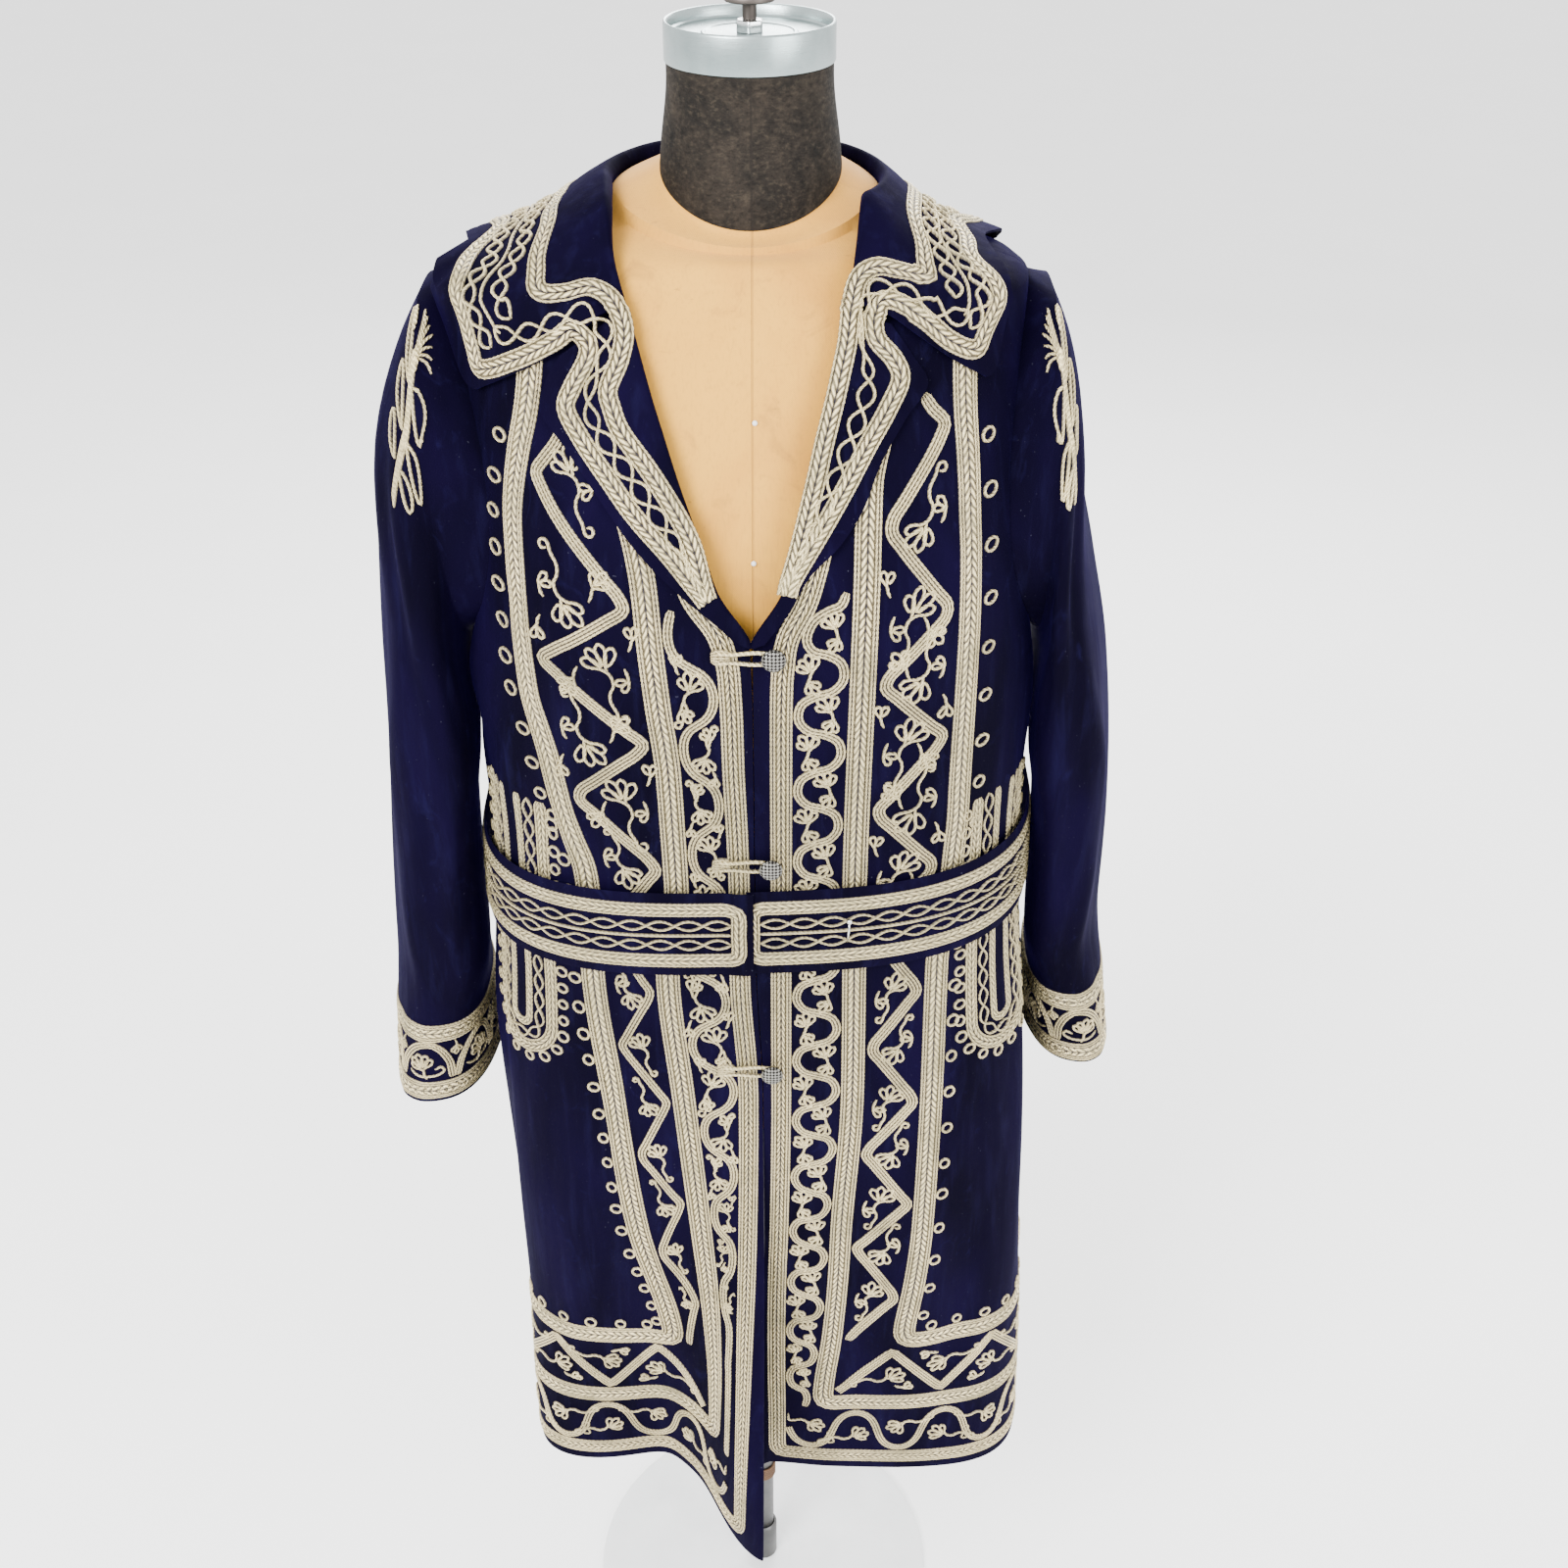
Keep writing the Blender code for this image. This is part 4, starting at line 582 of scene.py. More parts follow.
# Creases of the sleeves: angle from the top round the front, step, reaches, lean and out
SLEEVE_CREASES = (
    (30, 2.2, 13, 1.2, 10, 0.003), (62, 3.2, 12, 1.6, 12, -0.0034), (95, 2.6, 13, 1.4, -8, 0.0032),
    (120, 4.2, 12, 1.5, 10, -0.003), (48, 5.2, 14, 1.3, -14, 0.0036),
    (80, 6.0, 13, 1.2, 8, -0.0034), (20, 6.4, 13, 1.3, 8, -0.0028), (105, 6.6, 13, 1.2, -10, 0.003),
    (60, 7.6, 12, 1.1, 12, 0.003), (130, 5.4, 12, 1.2, 8, 0.0026), (-30, 3.0, 14, 1.6, 8, 0.0032),
    (-60, 4.4, 13, 1.8, -10, -0.0036), (-90, 3.4, 14, 1.5, 8, 0.0034),
    (-40, 6.2, 14, 1.4, 10, -0.003), (-80, 6.8, 13, 1.3, -8, 0.0034),
    (-115, 5.0, 13, 1.6, 6, -0.003), (-20, 7.6, 13, 1.2, -8, 0.0026),
    (-140, 7.0, 12, 1.4, 6, 0.0022), (40, 9.4, 12, 0.8, 0, -0.0016), (85, 9.5, 12, 0.8, 0, 0.0018),
    (-60, 9.4, 13, 0.8, 0, -0.0018),
)


def sleeve_place(side):
    """Places on a sleeve by angle from its top round the front and step of its table."""
    def surface(angle, step):
        seat, out = armhole_points(side, angle)
        spot = sleeve_ring(side, np.maximum(step, 0.0), angle)
        # The head's first stretch curves from the armhole into the sleeve
        share = ease(np.clip(step + 1, 0, 1))
        first = seat + out * (CLOTH / 2 + HEAD_LIFT)
        return first + (spot - first) * (share * 0.5 + 0.5 * np.clip(step + 1, 0, 1))[..., None]

    def place(angle, step, out=0.0):
        angle, step = matched(angle, step)
        small = 1e-3
        around = surface(angle + small, step) - surface(angle - small, step)
        along = surface(angle, np.minimum(step + small, 10)) - surface(angle, step - small)
        normal = unit(np.cross(around, along)) * side
        # They fade out at the head, and beside the body above the cuff
        inside = 0.5 + 0.5 * np.cos(angle)
        clear = ease(np.maximum(inside * 2.4, ease((step - 7) / 2)))
        move = bulges(SLEEVE_CREASES, angle, step) * ease((step - 0.3) / 1.2) * clear
        return surface(angle, step) + normal * (np.asarray(out, float) + move)[..., None]
    return place


# Meshes


def placed(name, data):
    """An object in the scene that shows a mesh, light or camera."""
    made = bpy.data.objects.new(name, data)
    bpy.context.collection.objects.link(made)
    return made


def smooth_object(name, mesh, sharp):
    """An object shaded smooth but for edges sharper than an angle."""
    mesh.polygons.foreach_set("use_smooth", np.full(len(mesh.polygons), True))
    if sharp is not None:
        mesh.set_sharp_from_angle(angle=math.radians(sharp))
    return placed(name, mesh)


def new_object(name, verts, quads, uvs=None, sharp=None):
    """A mesh object from arrays of points and of quads."""
    mesh = bpy.data.meshes.new(name)
    quads = np.asarray(quads, np.int32)
    mesh.vertices.add(len(verts))
    mesh.vertices.foreach_set("co", np.asarray(verts, np.float32).ravel())
    mesh.loops.add(quads.size)
    mesh.loops.foreach_set("vertex_index", quads.ravel())
    mesh.polygons.add(len(quads))
    mesh.polygons.foreach_set("loop_start", np.arange(0, quads.size, 4, dtype=np.int32))
    mesh.update(calc_edges=True)
    mesh.validate()
    if uvs is not None:
        layer = mesh.uv_layers.new(name="UVMap")
        layer.data.foreach_set("uv", np.asarray(uvs, np.float32)[quads.ravel()].ravel())
    return smooth_object(name, mesh, sharp)


def grid_quads(rows, columns, start=0, closed=False):
    i = np.arange(rows - 1)[:, None] * columns
    j = np.arange(columns if closed else columns - 1)[None, :]
    k = (j + 1) % columns
    return np.stack([i + j, i + k, i + columns + k, i + columns + j], -1).reshape(-1, 4) + start


def shell(name, outer, inner, closed=False):
    """A thin wall between two grids of points, with its edges closed."""
    rows, columns = outer.shape[:2]
    count = rows * columns
    points = np.concatenate([outer.reshape(-1, 3), inner.reshape(-1, 3)])
    face = grid_quads(rows, columns, closed=closed)
    quads = [face, face[:, ::-1] + count]
    j = np.arange(columns if closed else columns - 1)
    k = (j + 1) % columns
    for i, flip in ((0, False), (rows - 1, True)):
        rim = np.stack([i * columns + j, count + i * columns + j, count + i * columns + k,
                        i * columns + k], -1)
        quads.append(rim[:, ::-1] if flip else rim)
    if not closed:
        i = np.arange(rows - 1)
        for j, flip in ((0, True), (columns - 1, False)):
            low = i * columns + j
            rim = np.stack([low, low + count, low + columns + count, low + columns], -1)
            quads.append(rim[:, ::-1] if flip else rim)
    quads = np.concatenate(quads)
    corners = points[quads]
    volume = (corners[:, 0] * np.cross(corners[:, 1], corners[:, 2])).sum()
    volume += (corners[:, 0] * np.cross(corners[:, 2], corners[:, 3])).sum()
    if volume < 0:
        quads = quads[:, ::-1]
    across = np.linalg.norm(np.diff(outer, axis=1), axis=2).mean(0)
    along = np.linalg.norm(np.diff(outer, axis=0), axis=2).mean(1)
    lines = [np.concatenate([[0], np.cumsum(steps)]) for steps in (across, along)]
    uv = np.stack(np.meshgrid(*lines), -1).reshape(-1, 2)
    return new_object(name, points, quads, np.concatenate([uv, uv]), sharp=55)


# Braid


# Steps of a smooth path between two of its points
PATH_STEPS = 8


def smooth_path(points, closed=False):
    """A curve through points, close enough that it can be measured and cut anew."""
    p = np.asarray(points, float)
    if closed:
        p = np.concatenate([p[-1:], p, p[:2]])
    else:
        p = np.concatenate([2 * p[:1] - p[1:2], p, 2 * p[-1:] - p[-2:-1]])
    t = np.arange(PATH_STEPS)[:, None, None] / PATH_STEPS
    curve = curve_point(p[:-3], p[1:-2], p[2:-1], p[3:], t).transpose(1, 0, 2).reshape(-1, 2)
    return curve if closed else np.concatenate([curve, p[-2:-1]])


# Cords wider than this are plaited
PLAIT_LEAST = 0.0024
# How far a row's outer edges and its inner ones lie from the cloth
EDGE_DIP = -0.0003
INNER_RISE = 0.0001


def cords_profile(widths, heights, gap=0.0005):
    """Points across a row of cords: offset, height and running number, from 10 on for a plait's."""
    total = sum(widths) + gap * (len(widths) - 1)
    at = -total / 2
    rows = []
    for k, (width, height) in enumerate(zip(widths, heights)):
        number = k + (10 if width > PLAIT_LEAST else 0)
        last = k == len(widths) - 1
        rows.append((at, INNER_RISE if k else EDGE_DIP, number + 0.001))
        for share, lift in ((0.12, 0.66), (0.5, 1.0), (0.88, 0.66)):
            rows.append((at + width * share, height * lift, number + share))
        at += width
        rows.append((at, EDGE_DIP if last else INNER_RISE, number + 0.999))
        if not last:
            at += gap
    return np.array(rows)


CORD = cords_profile([0.0022], [0.0014])
FINE = cords_profile([0.0017], [0.0012])
LINE = cords_profile([0.0018] * 3, [0.0014] * 3)
LINE4 = cords_profile([0.0018] * 4, [0.0014] * 4)


# Borders narrower than this have one cord beside the plait
NARROW_BORDER = 0.0145


def band(width):
    """A border: a thin pair of cords on each side of a plait."""
    if width < NARROW_BORDER:
        plait = (width - 0.0047) / 2
        return cords_profile([0.0016, plait, plait, 0.0016], [0.0012, 0.0017, 0.0017, 0.0012])
    thin = 0.0017
    gap = 0.0006
    plait = (width - 4 * thin - 5 * gap) / 2
    return cords_profile([thin, thin, plait, plait, thin, thin],
                         [0.0012, 0.0013, 0.0016, 0.0016, 0.0013, 0.0012], gap)


def steady(vectors):
    """Unit vectors, also where a vector is nearly nothing."""
    return vectors / np.maximum(np.linalg.norm(vectors, axis=1, keepdims=True), 1e-9)


class Braid:
    """Cords laid on one surface, gathered and built as one mesh."""

    def __init__(self, name, place):
        self.name = name
        self.place = place
        self.strips = []

    def add(self, path, profile, rise=0.0, closed=False, step=0.0022, taper=True, raw=False):
        """Lay a profile along a path given in the surface's own two numbers."""
        path = np.asarray(path, float) if raw else smooth_path(path, closed)
        spot = self.place(path[:, 0], path[:, 1])
        if closed:
            path = np.concatenate([path, path[:1]])
            spot = np.concatenate([spot, spot[:1]])
        length = run_length(spot)
        if length[-1] < 1e-4:
            return
        count = max(4, int(round(length[-1] / step)) + 1)
        at = np.linspace(0, length[-1], count)
        rise = np.asarray(rise(at / length[-1]) if callable(rise) else rise + 0 * at, float)
        uv = np.stack([np.interp(at, length, path[:, k]) for k in (0, 1)], -1)
        self.strips.append((uv, at, rise, profile, closed, taper))

    def build(self):
        middle = np.concatenate([s[0] for s in self.strips])
        small = 1e-4
        spot = self.place(middle[:, 0], middle[:, 1])
        du = (self.place(middle[:, 0] + small, middle[:, 1]) - spot) / small
        dv = (self.place(middle[:, 0], middle[:, 1] + small) - spot) / small
        normal = unit(np.cross(du, dv))
        verts_u, verts_v, verts_h, quads, uvs = [], [], [], [], []
        start = 0
        first = 0
        for uv, at, rise, profile, closed, taper in self.strips:
            n = len(uv)
            part = slice(first, first + n)
            p = spot[part]
            step = np.diff(p, axis=0)
            before = np.concatenate([step[-1:] if closed else step[:1], step])
            after = np.concatenate([step, step[:1] if closed else step[-1:]])
            a = steady(before)
            t = steady(a + steady(after))
            mitre = 1 / np.maximum(0.55, (a * t).sum(1))
            beside = steady(np.cross(normal[part], t)) * mitre[:, None]
            e, f = du[part], dv[part]
            ee, ff, ef = (e * e).sum(1), (f * f).sum(1), (e * f).sum(1)
            be, bf = (beside * e).sum(1), (beside * f).sum(1)
            det = np.maximum(ee * ff - ef * ef, 1e-12)
            alpha = (be * ff - bf * ef) / det
            beta = (bf * ee - be * ef) / det
            w = profile[:, 0][None, :]
            size = np.ones(n)
            if taper and not closed:
                size[0] = size[-1] = 0.35
                if n > 6:
                    size[1] = size[-2] = 0.85
            u = uv[:, :1] + alpha[:, None] * w * np.sqrt(size)[:, None]
            v = uv[:, 1:] + beta[:, None] * w * np.sqrt(size)[:, None]
            lift = np.where(profile[:, 1] > 0, 1.0, 0.0)[None, :]
            h = profile[:, 1][None, :] * size[:, None] + rise[:, None] * lift
            verts_u.append(u.ravel())
            verts_v.append(v.ravel())
            verts_h.append(h.ravel())
            quads.append(grid_quads(n, len(profile), start))
            uvs.append(paired(profile[:, 2][None, :], at[:, None]).reshape(-1, 2))
            start += n * len(profile)
            first += n
        u, v, h = (np.concatenate(x) for x in (verts_u, verts_v, verts_h))
        quads = np.concatenate(quads)
        points = self.place(u, v, h)
        face = points[quads[:, :3]]
        flat = np.cross(face[:, 1] - face[:, 0], face[:, 2] - face[:, 0])
        out = self.place(u, v, h + 0.001) - points
        turned_in = (flat * out[quads[:, 0]]).sum(1).sum() < 0
        quads = quads[:, ::-1] if turned_in else quads
        return new_object(self.name, points, quads, np.concatenate(uvs))


# Patterns of cord. Each takes real distances and a map from them to a surface's two numbers
rng = np.random.default_rng(7)


def shake(amount):
    return rng.uniform(-amount, amount)


def petals(count, length, width, spread):
    """A fan of looped petals from one cord, standing on the origin and pointing up."""
    steps = np.array([0.22, 0.55, 0.95, 1.57, 2.19, 2.59, 2.92])
    points = []
    for k in range(count):
        lean = spread * (k - (count - 1) / 2) / max(1, count - 1)
        size = length * (1 - 0.22 * abs(2 * k / max(1, count - 1) - 1)) * (1 + shake(0.08))
        along = size * np.sin(steps)
        side = width * np.sin(2 * steps) * (1 if k % 2 else -1)
        c, s = math.cos(lean), math.sin(lean)
        points.append(np.stack([side * c + along * s, along * c - side * s], -1))
    return np.concatenate(points)


# A stem from the small curl at its far end to the fan's foot, and the short stem of a tuft
STEM = np.array([(0.0064, -0.0242), (0.0086, -0.0236), (0.0098, -0.0254), (0.009, -0.0276),
                 (0.0067, -0.028), (0.0053, -0.0262), (0.0044, -0.0225), (0.0016, -0.017),
                 (0.0016, -0.012), (0.0034, -0.0075), (0.0018, -0.0022)])
SHORT = np.array([(0.003, -0.009), (0.0012, -0.0052), (0.0004, -0.0012)])


def lay(braid, to_uv, points, x, z, out, up, size, profile):
    """Lay a drawn cord, mirrored by its two signs."""
    px = x + out * size * points[:, 0]
    pz = z + up * size * points[:, 1]
    braid.add(to_uv(px, pz), profile, rise=lambda t: 0.0004 * np.sin(t * math.pi * 7) ** 2,
              step=0.0019)


def turned(points, tilt):
    c, s = math.cos(tilt), math.sin(tilt)
    return points @ np.array([[c, -s], [s, c]])


def sprig(braid, to_uv, x, z, out, up, size, count, tilt, profile=CORD):
    """A fan of petals on a winding stem. Its far end lies towards out, its petals point up."""
    fan = turned(petals(count, 0.015, 0.0024, 0.4 * count), tilt + shake(0.12))
    points = np.concatenate([STEM * (1 + shake(0.06)), fan + [0, 0.0006], [(0.0006, -0.0008)]])
    lay(braid, to_uv, points, x, z, out, up, size, profile)


def tuft(braid, to_uv, x, z, out, up, size, count, tilt, profile=CORD):
    """A few petals on a short stem."""
    fan = turned(petals(count, 0.0122, 0.0022, 0.4 * count), tilt + shake(0.15))
    points = np.concatenate([SHORT, fan, [(0.0006, -0.0008)]])
    lay(braid, to_uv, points, x, z, out, up, size, profile)


def ring(braid, to_uv, x, y, radius=0.0039, tilt=0.0):
    angle = np.linspace(0, 2 * math.pi, 11)[:-1] + tilt
    wide = radius * (1 + shake(0.1))
    high = radius * (1.1 + shake(0.12))
    px, py = wide * np.cos(angle), high * np.sin(angle)
    braid.add(to_uv(x + px, y + py), CORD, rise=0.0003, closed=True, step=0.0019)


def rounded_wave(phase, sharp=0.995):
    """A triangle wave with rounded corners, from -1 to 1."""
    return np.arcsin(sharp * np.cos(phase)) / math.asin(sharp)


def beside_on(place, to_uv, spot):
    """Steps in the map that go one real metre across a line on the surface."""
    small = 1e-4
    x, y = spot.T

    def real(x, y):
        return place(*to_uv(x, y).T)

    ex = (real(x + small, y) - real(x - small, y)) / (2 * small)
    ey = (real(x, y + small) - real(x, y - small)) / (2 * small)
    along = np.gradient(real(x, y), axis=0)
    # Smoothed along the line, so that the chain turns evenly
    ones = np.ones(13) / 13
    rows = [np.convolve(np.pad(row, 6, "edge"), ones, "valid") for row in along.T]
    along = unit(np.stack(rows, -1))
    across = unit(np.cross(unit(np.cross(ex, ey)), along))
    xx, xy, yy = (ex * ex).sum(-1), (ex * ey).sum(-1), (ey * ey).sum(-1)
    ax, ay = (across * ex).sum(-1), (across * ey).sum(-1)
    return np.stack([ax * yy - ay * xy, ay * xx - ax * xy], -1) / (xx * yy - xy**2)[:, None]


def chain(braid, to_uv, path, half, pitch, profile=CORD):
    """Two cords that wave across each other along a path, by the surface's real distances."""
    step = run_length(braid.place(*to_uv(*path.T).T))
    total = step[-1]
    waves = max(2, int(round(total / pitch)))
    at = np.linspace(0, total, waves * 8 + 1)
    spot = np.stack([np.interp(at, step, path[:, k]) for k in (0, 1)], -1)
    beside = beside_on(braid.place, to_uv, spot)
    size = half if np.isscalar(half) else np.interp(at / total, np.linspace(0, 1, len(half)), half)
    for sign in (1, -1):
        wave = sign * size * np.sin(math.pi * waves * at / total)
        points = spot + beside * wave[:, None]

        def lift(t, sign=sign):
            return 0.0005 + 0.0005 * sign * np.cos(math.pi * waves * t)

        braid.add(to_uv(*points.T), profile, rise=lift, step=0.0018)


# The coat's cloth


def panel_heights():
    low = np.linspace(HEM_Z, UNDERARM_Z, 100)[:-1]
    armhole = ARMHOLE_MIDDLE_Z - ARMHOLE_HALF * np.cos(np.linspace(0, math.pi, 35))
    top = np.linspace(SHOULDER_Z, NECK_Z, 10)[1:]
    return np.concatenate([low, armhole, top])


def body_panel(name, side, near, far, count, flare):
    """A sheet of the body between two turns, given at each of the panels' heights."""
    turns = side * (near[:, None] + np.linspace(0, 1, count) * (far - near)[:, None])
    level = panel_heights()[:, None] + 0 * turns
    place = body_place(flare)
    outer = place(turns, level)
    return shell(name, outer, place(turns, level, -CLOTH)), outer


def side_limit(z, behind):
    """Turn of a panel's edge at the side seam and the armhole."""
    inside = (z > UNDERARM_Z + 1e-6) & (z < SHOULDER_Z - 1e-6)
    seam = SEAM / 2 / BODY("right", z)
    return np.where(inside, armhole_turn(z, behind), SIDE + (seam if behind else -seam))


def front_panel(side):
    z = panel_heights()
    edge = side * turn_at_x(side * FRONTS[side]("edge", z), z)
    name = f"front_{SIDE_NAMES[side]}"
    return body_panel(name, side, edge, side_limit(z, False), 74, FLARES[side])


def back_panel(side):
    z = panel_heights()
    middle = HALF_TURN - SEAM / 2 / BODY("back", z)
    return body_panel(f"back_{SIDE_NAMES[side]}", side, side_limit(z, True), middle, 56, 0.0)


def lapel_panel(side):
    """The turned-back top of a front, with the roll along its inner edge."""
    table = LAPELS[side]
    along = np.linspace(0, 1, 100)[:, None]
    across = np.linspace(0.012, 1, 34)[None, :]
    roll_z = table("roll_height", along)
    roll_x = FRONTS[side]("edge", roll_z)
    x = roll_x + (table("edge_x", along) - roll_x) * across
    z = roll_z + (table("edge_height", along) - roll_z) * across
    turns = turn_at_x(side * x, z)
    out = LAPEL_OUT + 0.0009 * ease((across - 0.8) / 0.2) * np.sin(9 * along + 1) ** 2
    grids = []
    bend = np.radians(np.linspace(12, 165, 9))[None, :]
    edge = turn_at_x(side * roll_x, roll_z)
    spread = LAPEL_ROLL * np.sin(bend) / BODY("front", roll_z)
    for lift in (CLOTH / 2, -CLOTH / 2):
        rolled = edge - side * spread * (1 + lift / LAPEL_ROLL)
        high = LAPEL_OUT / 2 - (LAPEL_OUT / 2 + lift) * np.cos(bend)
        first = body_point(rolled, roll_z + 0 * bend, high)
        grids.append(np.concatenate([first, body_point(turns, z, out + lift)], 1))
    return shell(f"lapel_cloth_{SIDE_NAMES[side]}", *grids), grids[0]


def collar_panel():
    turns, heights = SEAM_TURNS, SEAM_ZS
    base = body_middle(turns, heights)
    out = body_normal(turns, heights)
    inward = unit(np.cross(out, np.gradient(base, axis=0)))
    inward *= np.sign(((np.array(COLLAR_CENTRE) - base) * inward).sum(-1, keepdims=True))
    stand = collar_edge("stand", turns)[:, None]
    rows = [base + inward * (stand * i + SEAM + CLOTH / 2) + out * stand * u for i, u in COLLAR_STAND]
    fall = []
    for across in np.linspace(COLLAR_FALL_FROM, 1, 34):
        turn, z = collar_spot(turns, heights, across)
        fall.append(body_point(turn, z, collar_out(turn, z, across)))
    keys = np.array(rows + fall[:4])
    # Smooth the stand's few rows into the fall
    smooth = []
    p = np.concatenate([2 * keys[:1] - keys[1:2], keys])
    for i in range(1, 5):
        for t in np.arange(5) / 5:
            smooth.append(curve_point(*p[i - 1:i + 3], t))
    grid = np.array(smooth + fall)
    normals = unit(np.cross(np.gradient(grid, axis=0), np.gradient(grid, axis=1)))
    normals *= np.sign((normals[-1] * unit(grid[-1] * np.array([1, 1, 0]))).sum())
    return shell("collar_cloth", grid + normals * CLOTH / 2, grid - normals * CLOTH / 2), grid


def sleeve_panel(side):
    place = sleeve_place(side)
    angle = np.linspace(0, 2 * math.pi, 89)[:-1][None, :]
    step = np.concatenate([np.linspace(-1, 1, 13)[:-1], np.linspace(1, 10, 84)])[:, None]
    outer = place(angle, step)
    name = f"sleeve_cloth_{SIDE_NAMES[side]}"
    return shell(name, outer, place(angle, step, -CLOTH), closed=True), outer


def belt_panel():
    turn = np.radians(np.linspace(-2.0, 359.9, 300))[None, :]
    across = np.concatenate([[0.0, 0.008], np.linspace(0.03, 0.97, 20), [0.992, 1.0]])[:, None]
    crown = -0.001 * np.abs(2 * across - 1) ** 8
    t, a = turn + 0 * across, across + 0 * turn
    outer = belt_place(t, a, crown + 0 * t)
    inner = belt_place(t, a, -BELT_THICK - crown + 0 * t)
    return shell("belt_cloth", outer, inner), outer


# The braid that is laid on it


def lane(side, number, z):
    """Middle and width of the lane between two borders, as distances from the centre plane."""
    table = FRONTS[side]
    inner = table(f"braid_{number}", z) + BRAID_WIDTHS[number - 1] / 2
    outer = table(f"braid_{number + 1}", z) - BRAID_WIDTHS[number] / 2
    return (inner + outer) / 2, outer - inner


# A border's corner at the hem: turn past it and height above the hem's border
BORDER_CORNER = ((0.002, 0.0085), (0.018, 0.0022), (0.055, 0.0))
# Where the fronts' borders end, under the lapels and the collar
BAND_TOPS = {-1: (1.205, 1.245, 1.328), 1: (1.225, 1.28, 1.326)}


def border_path(side, number):
    """A border from under the lapel down the front, and round its corner along the hem."""
    table = FRONTS[side]
    level = sum(HEM_BRAIDS[number - 1]) / 2
    top = BAND_TOPS[side][number - 1]
    z = np.linspace(top, level + 0.02, 40)
    first = paired(turn_at_x(side * table(f"braid_{number}", z), z), z)
    corner = turn_at_x(side * table(f"braid_{number}", level + 0.012), level)
    near = [(corner + side * away, level + up) for away, up in BORDER_CORNER]
    along = np.linspace(corner + side * 0.11, side * SIDE, 26)
    return np.concatenate([first, near, paired(along, level)])


def front_map(side):
    """Signed distance from the centre plane and height, to turn and height."""
    def to_uv(x, z):
        x, z = matched(x, z)
        return paired(turn_at_x(side * x, z), z)
    return to_uv


ZIGZAG = {-1: (1, (1.254, 1.176, 1.131, 1.075, 1.028)), 1: (-1, (1.226, 1.166, 1.122, 1.073, 1.02))}
ZIGZAG_STEP = 0.0535
ZIGZAG_END = 0.5
# Height of the zigzag's first stretch, and how far above its first corner it starts
ZIGZAG_TOP = 0.056
ZIGZAG_LEAD = {-1: 0.06, 1: 0.074}
# Above this the zigzag has four cords, below it three
BROAD_ABOVE = {-1: 0.9, 1: 0.0}
SCROLL_STEP = {-1: 0.043, 1: 0.03}


def zigzag_lane(braid, side):
    """A broad zigzag band with a sprig in each of its triangles."""
    to_uv = front_map(side)
    first, nodes = ZIGZAG[side]
    nodes = list(nodes)
    while nodes[-1] > ZIGZAG_END:
        nodes.append(nodes[-1] - ZIGZAG_STEP * (1 + shake(0.06)))
    nodes = np.array(nodes)
    z = np.linspace(nodes[0] + ZIGZAG_LEAD[side], nodes[-1] - 0.005, 380)
    phase = np.interp(z, nodes[::-1], math.pi * np.arange(len(nodes))[::-1])
    phase = np.where(z > nodes[0], -math.pi * (z - nodes[0]) / ZIGZAG_TOP, phase)
    past = nodes[0] + ZIGZAG_TOP
    phase = np.where(z > past, -math.pi * (1 + (z - past) / 0.03), phase)
    middle, width = lane(side, 2, z)
    x = middle + first * (width / 2 - 0.0046) * rounded_wave(phase)
    broad = z > BROAD_ABOVE[side]
    braid.add(to_uv(x[broad], z[broad])[::4], LINE4, step=0.003)
    if not broad.all():
        braid.add(to_uv(x[~broad], z[~broad])[::4], LINE, step=0.003)
    for k, level in enumerate(nodes[:-1]):
        towards = -first * (-1) ** k
        middle, width = lane(side, 2, level)
        size = float(np.clip(width / 0.04, 0.6, 1.34))
        up = -1 if towards > 0 else 1
        cx = middle + towards * (width / 2 - 0.015 * size - 0.002)
        sprig(braid, to_uv, cx, level + up * 0.001 + shake(0.001), towards, up, size, 4,
              -0.5 if width > 0.03 else -0.2)
        if width > 0.036:
            spot = middle + towards * (width / 2 - 0.007)
            tuft(braid, to_uv, spot, level - up * 0.006, -towards, -up, 0.95, 2, 1.0)
        if width > 0.05:
            side_x = middle - towards * width * 0.14
            tuft(braid, to_uv, side_x, level - up * 0.011, towards, -up, 1.15, 3, -0.6)
            far = middle + towards * (width / 2 - 0.004)
            tuft(braid, to_uv, far, level + up * 0.024, -towards, up, 0.95, 2, 0.1)


# How far the winding band's bays are rounded, where it starts under the lapel, and the middle
# of its first crossing
ROUNDED = 0.003
SCROLL_SHOWS = {-1: 1.125, 1: 1.14}
SCROLL_TOPS = {-1: 1.18, 1: 1.207}
SCROLL_END = 0.4


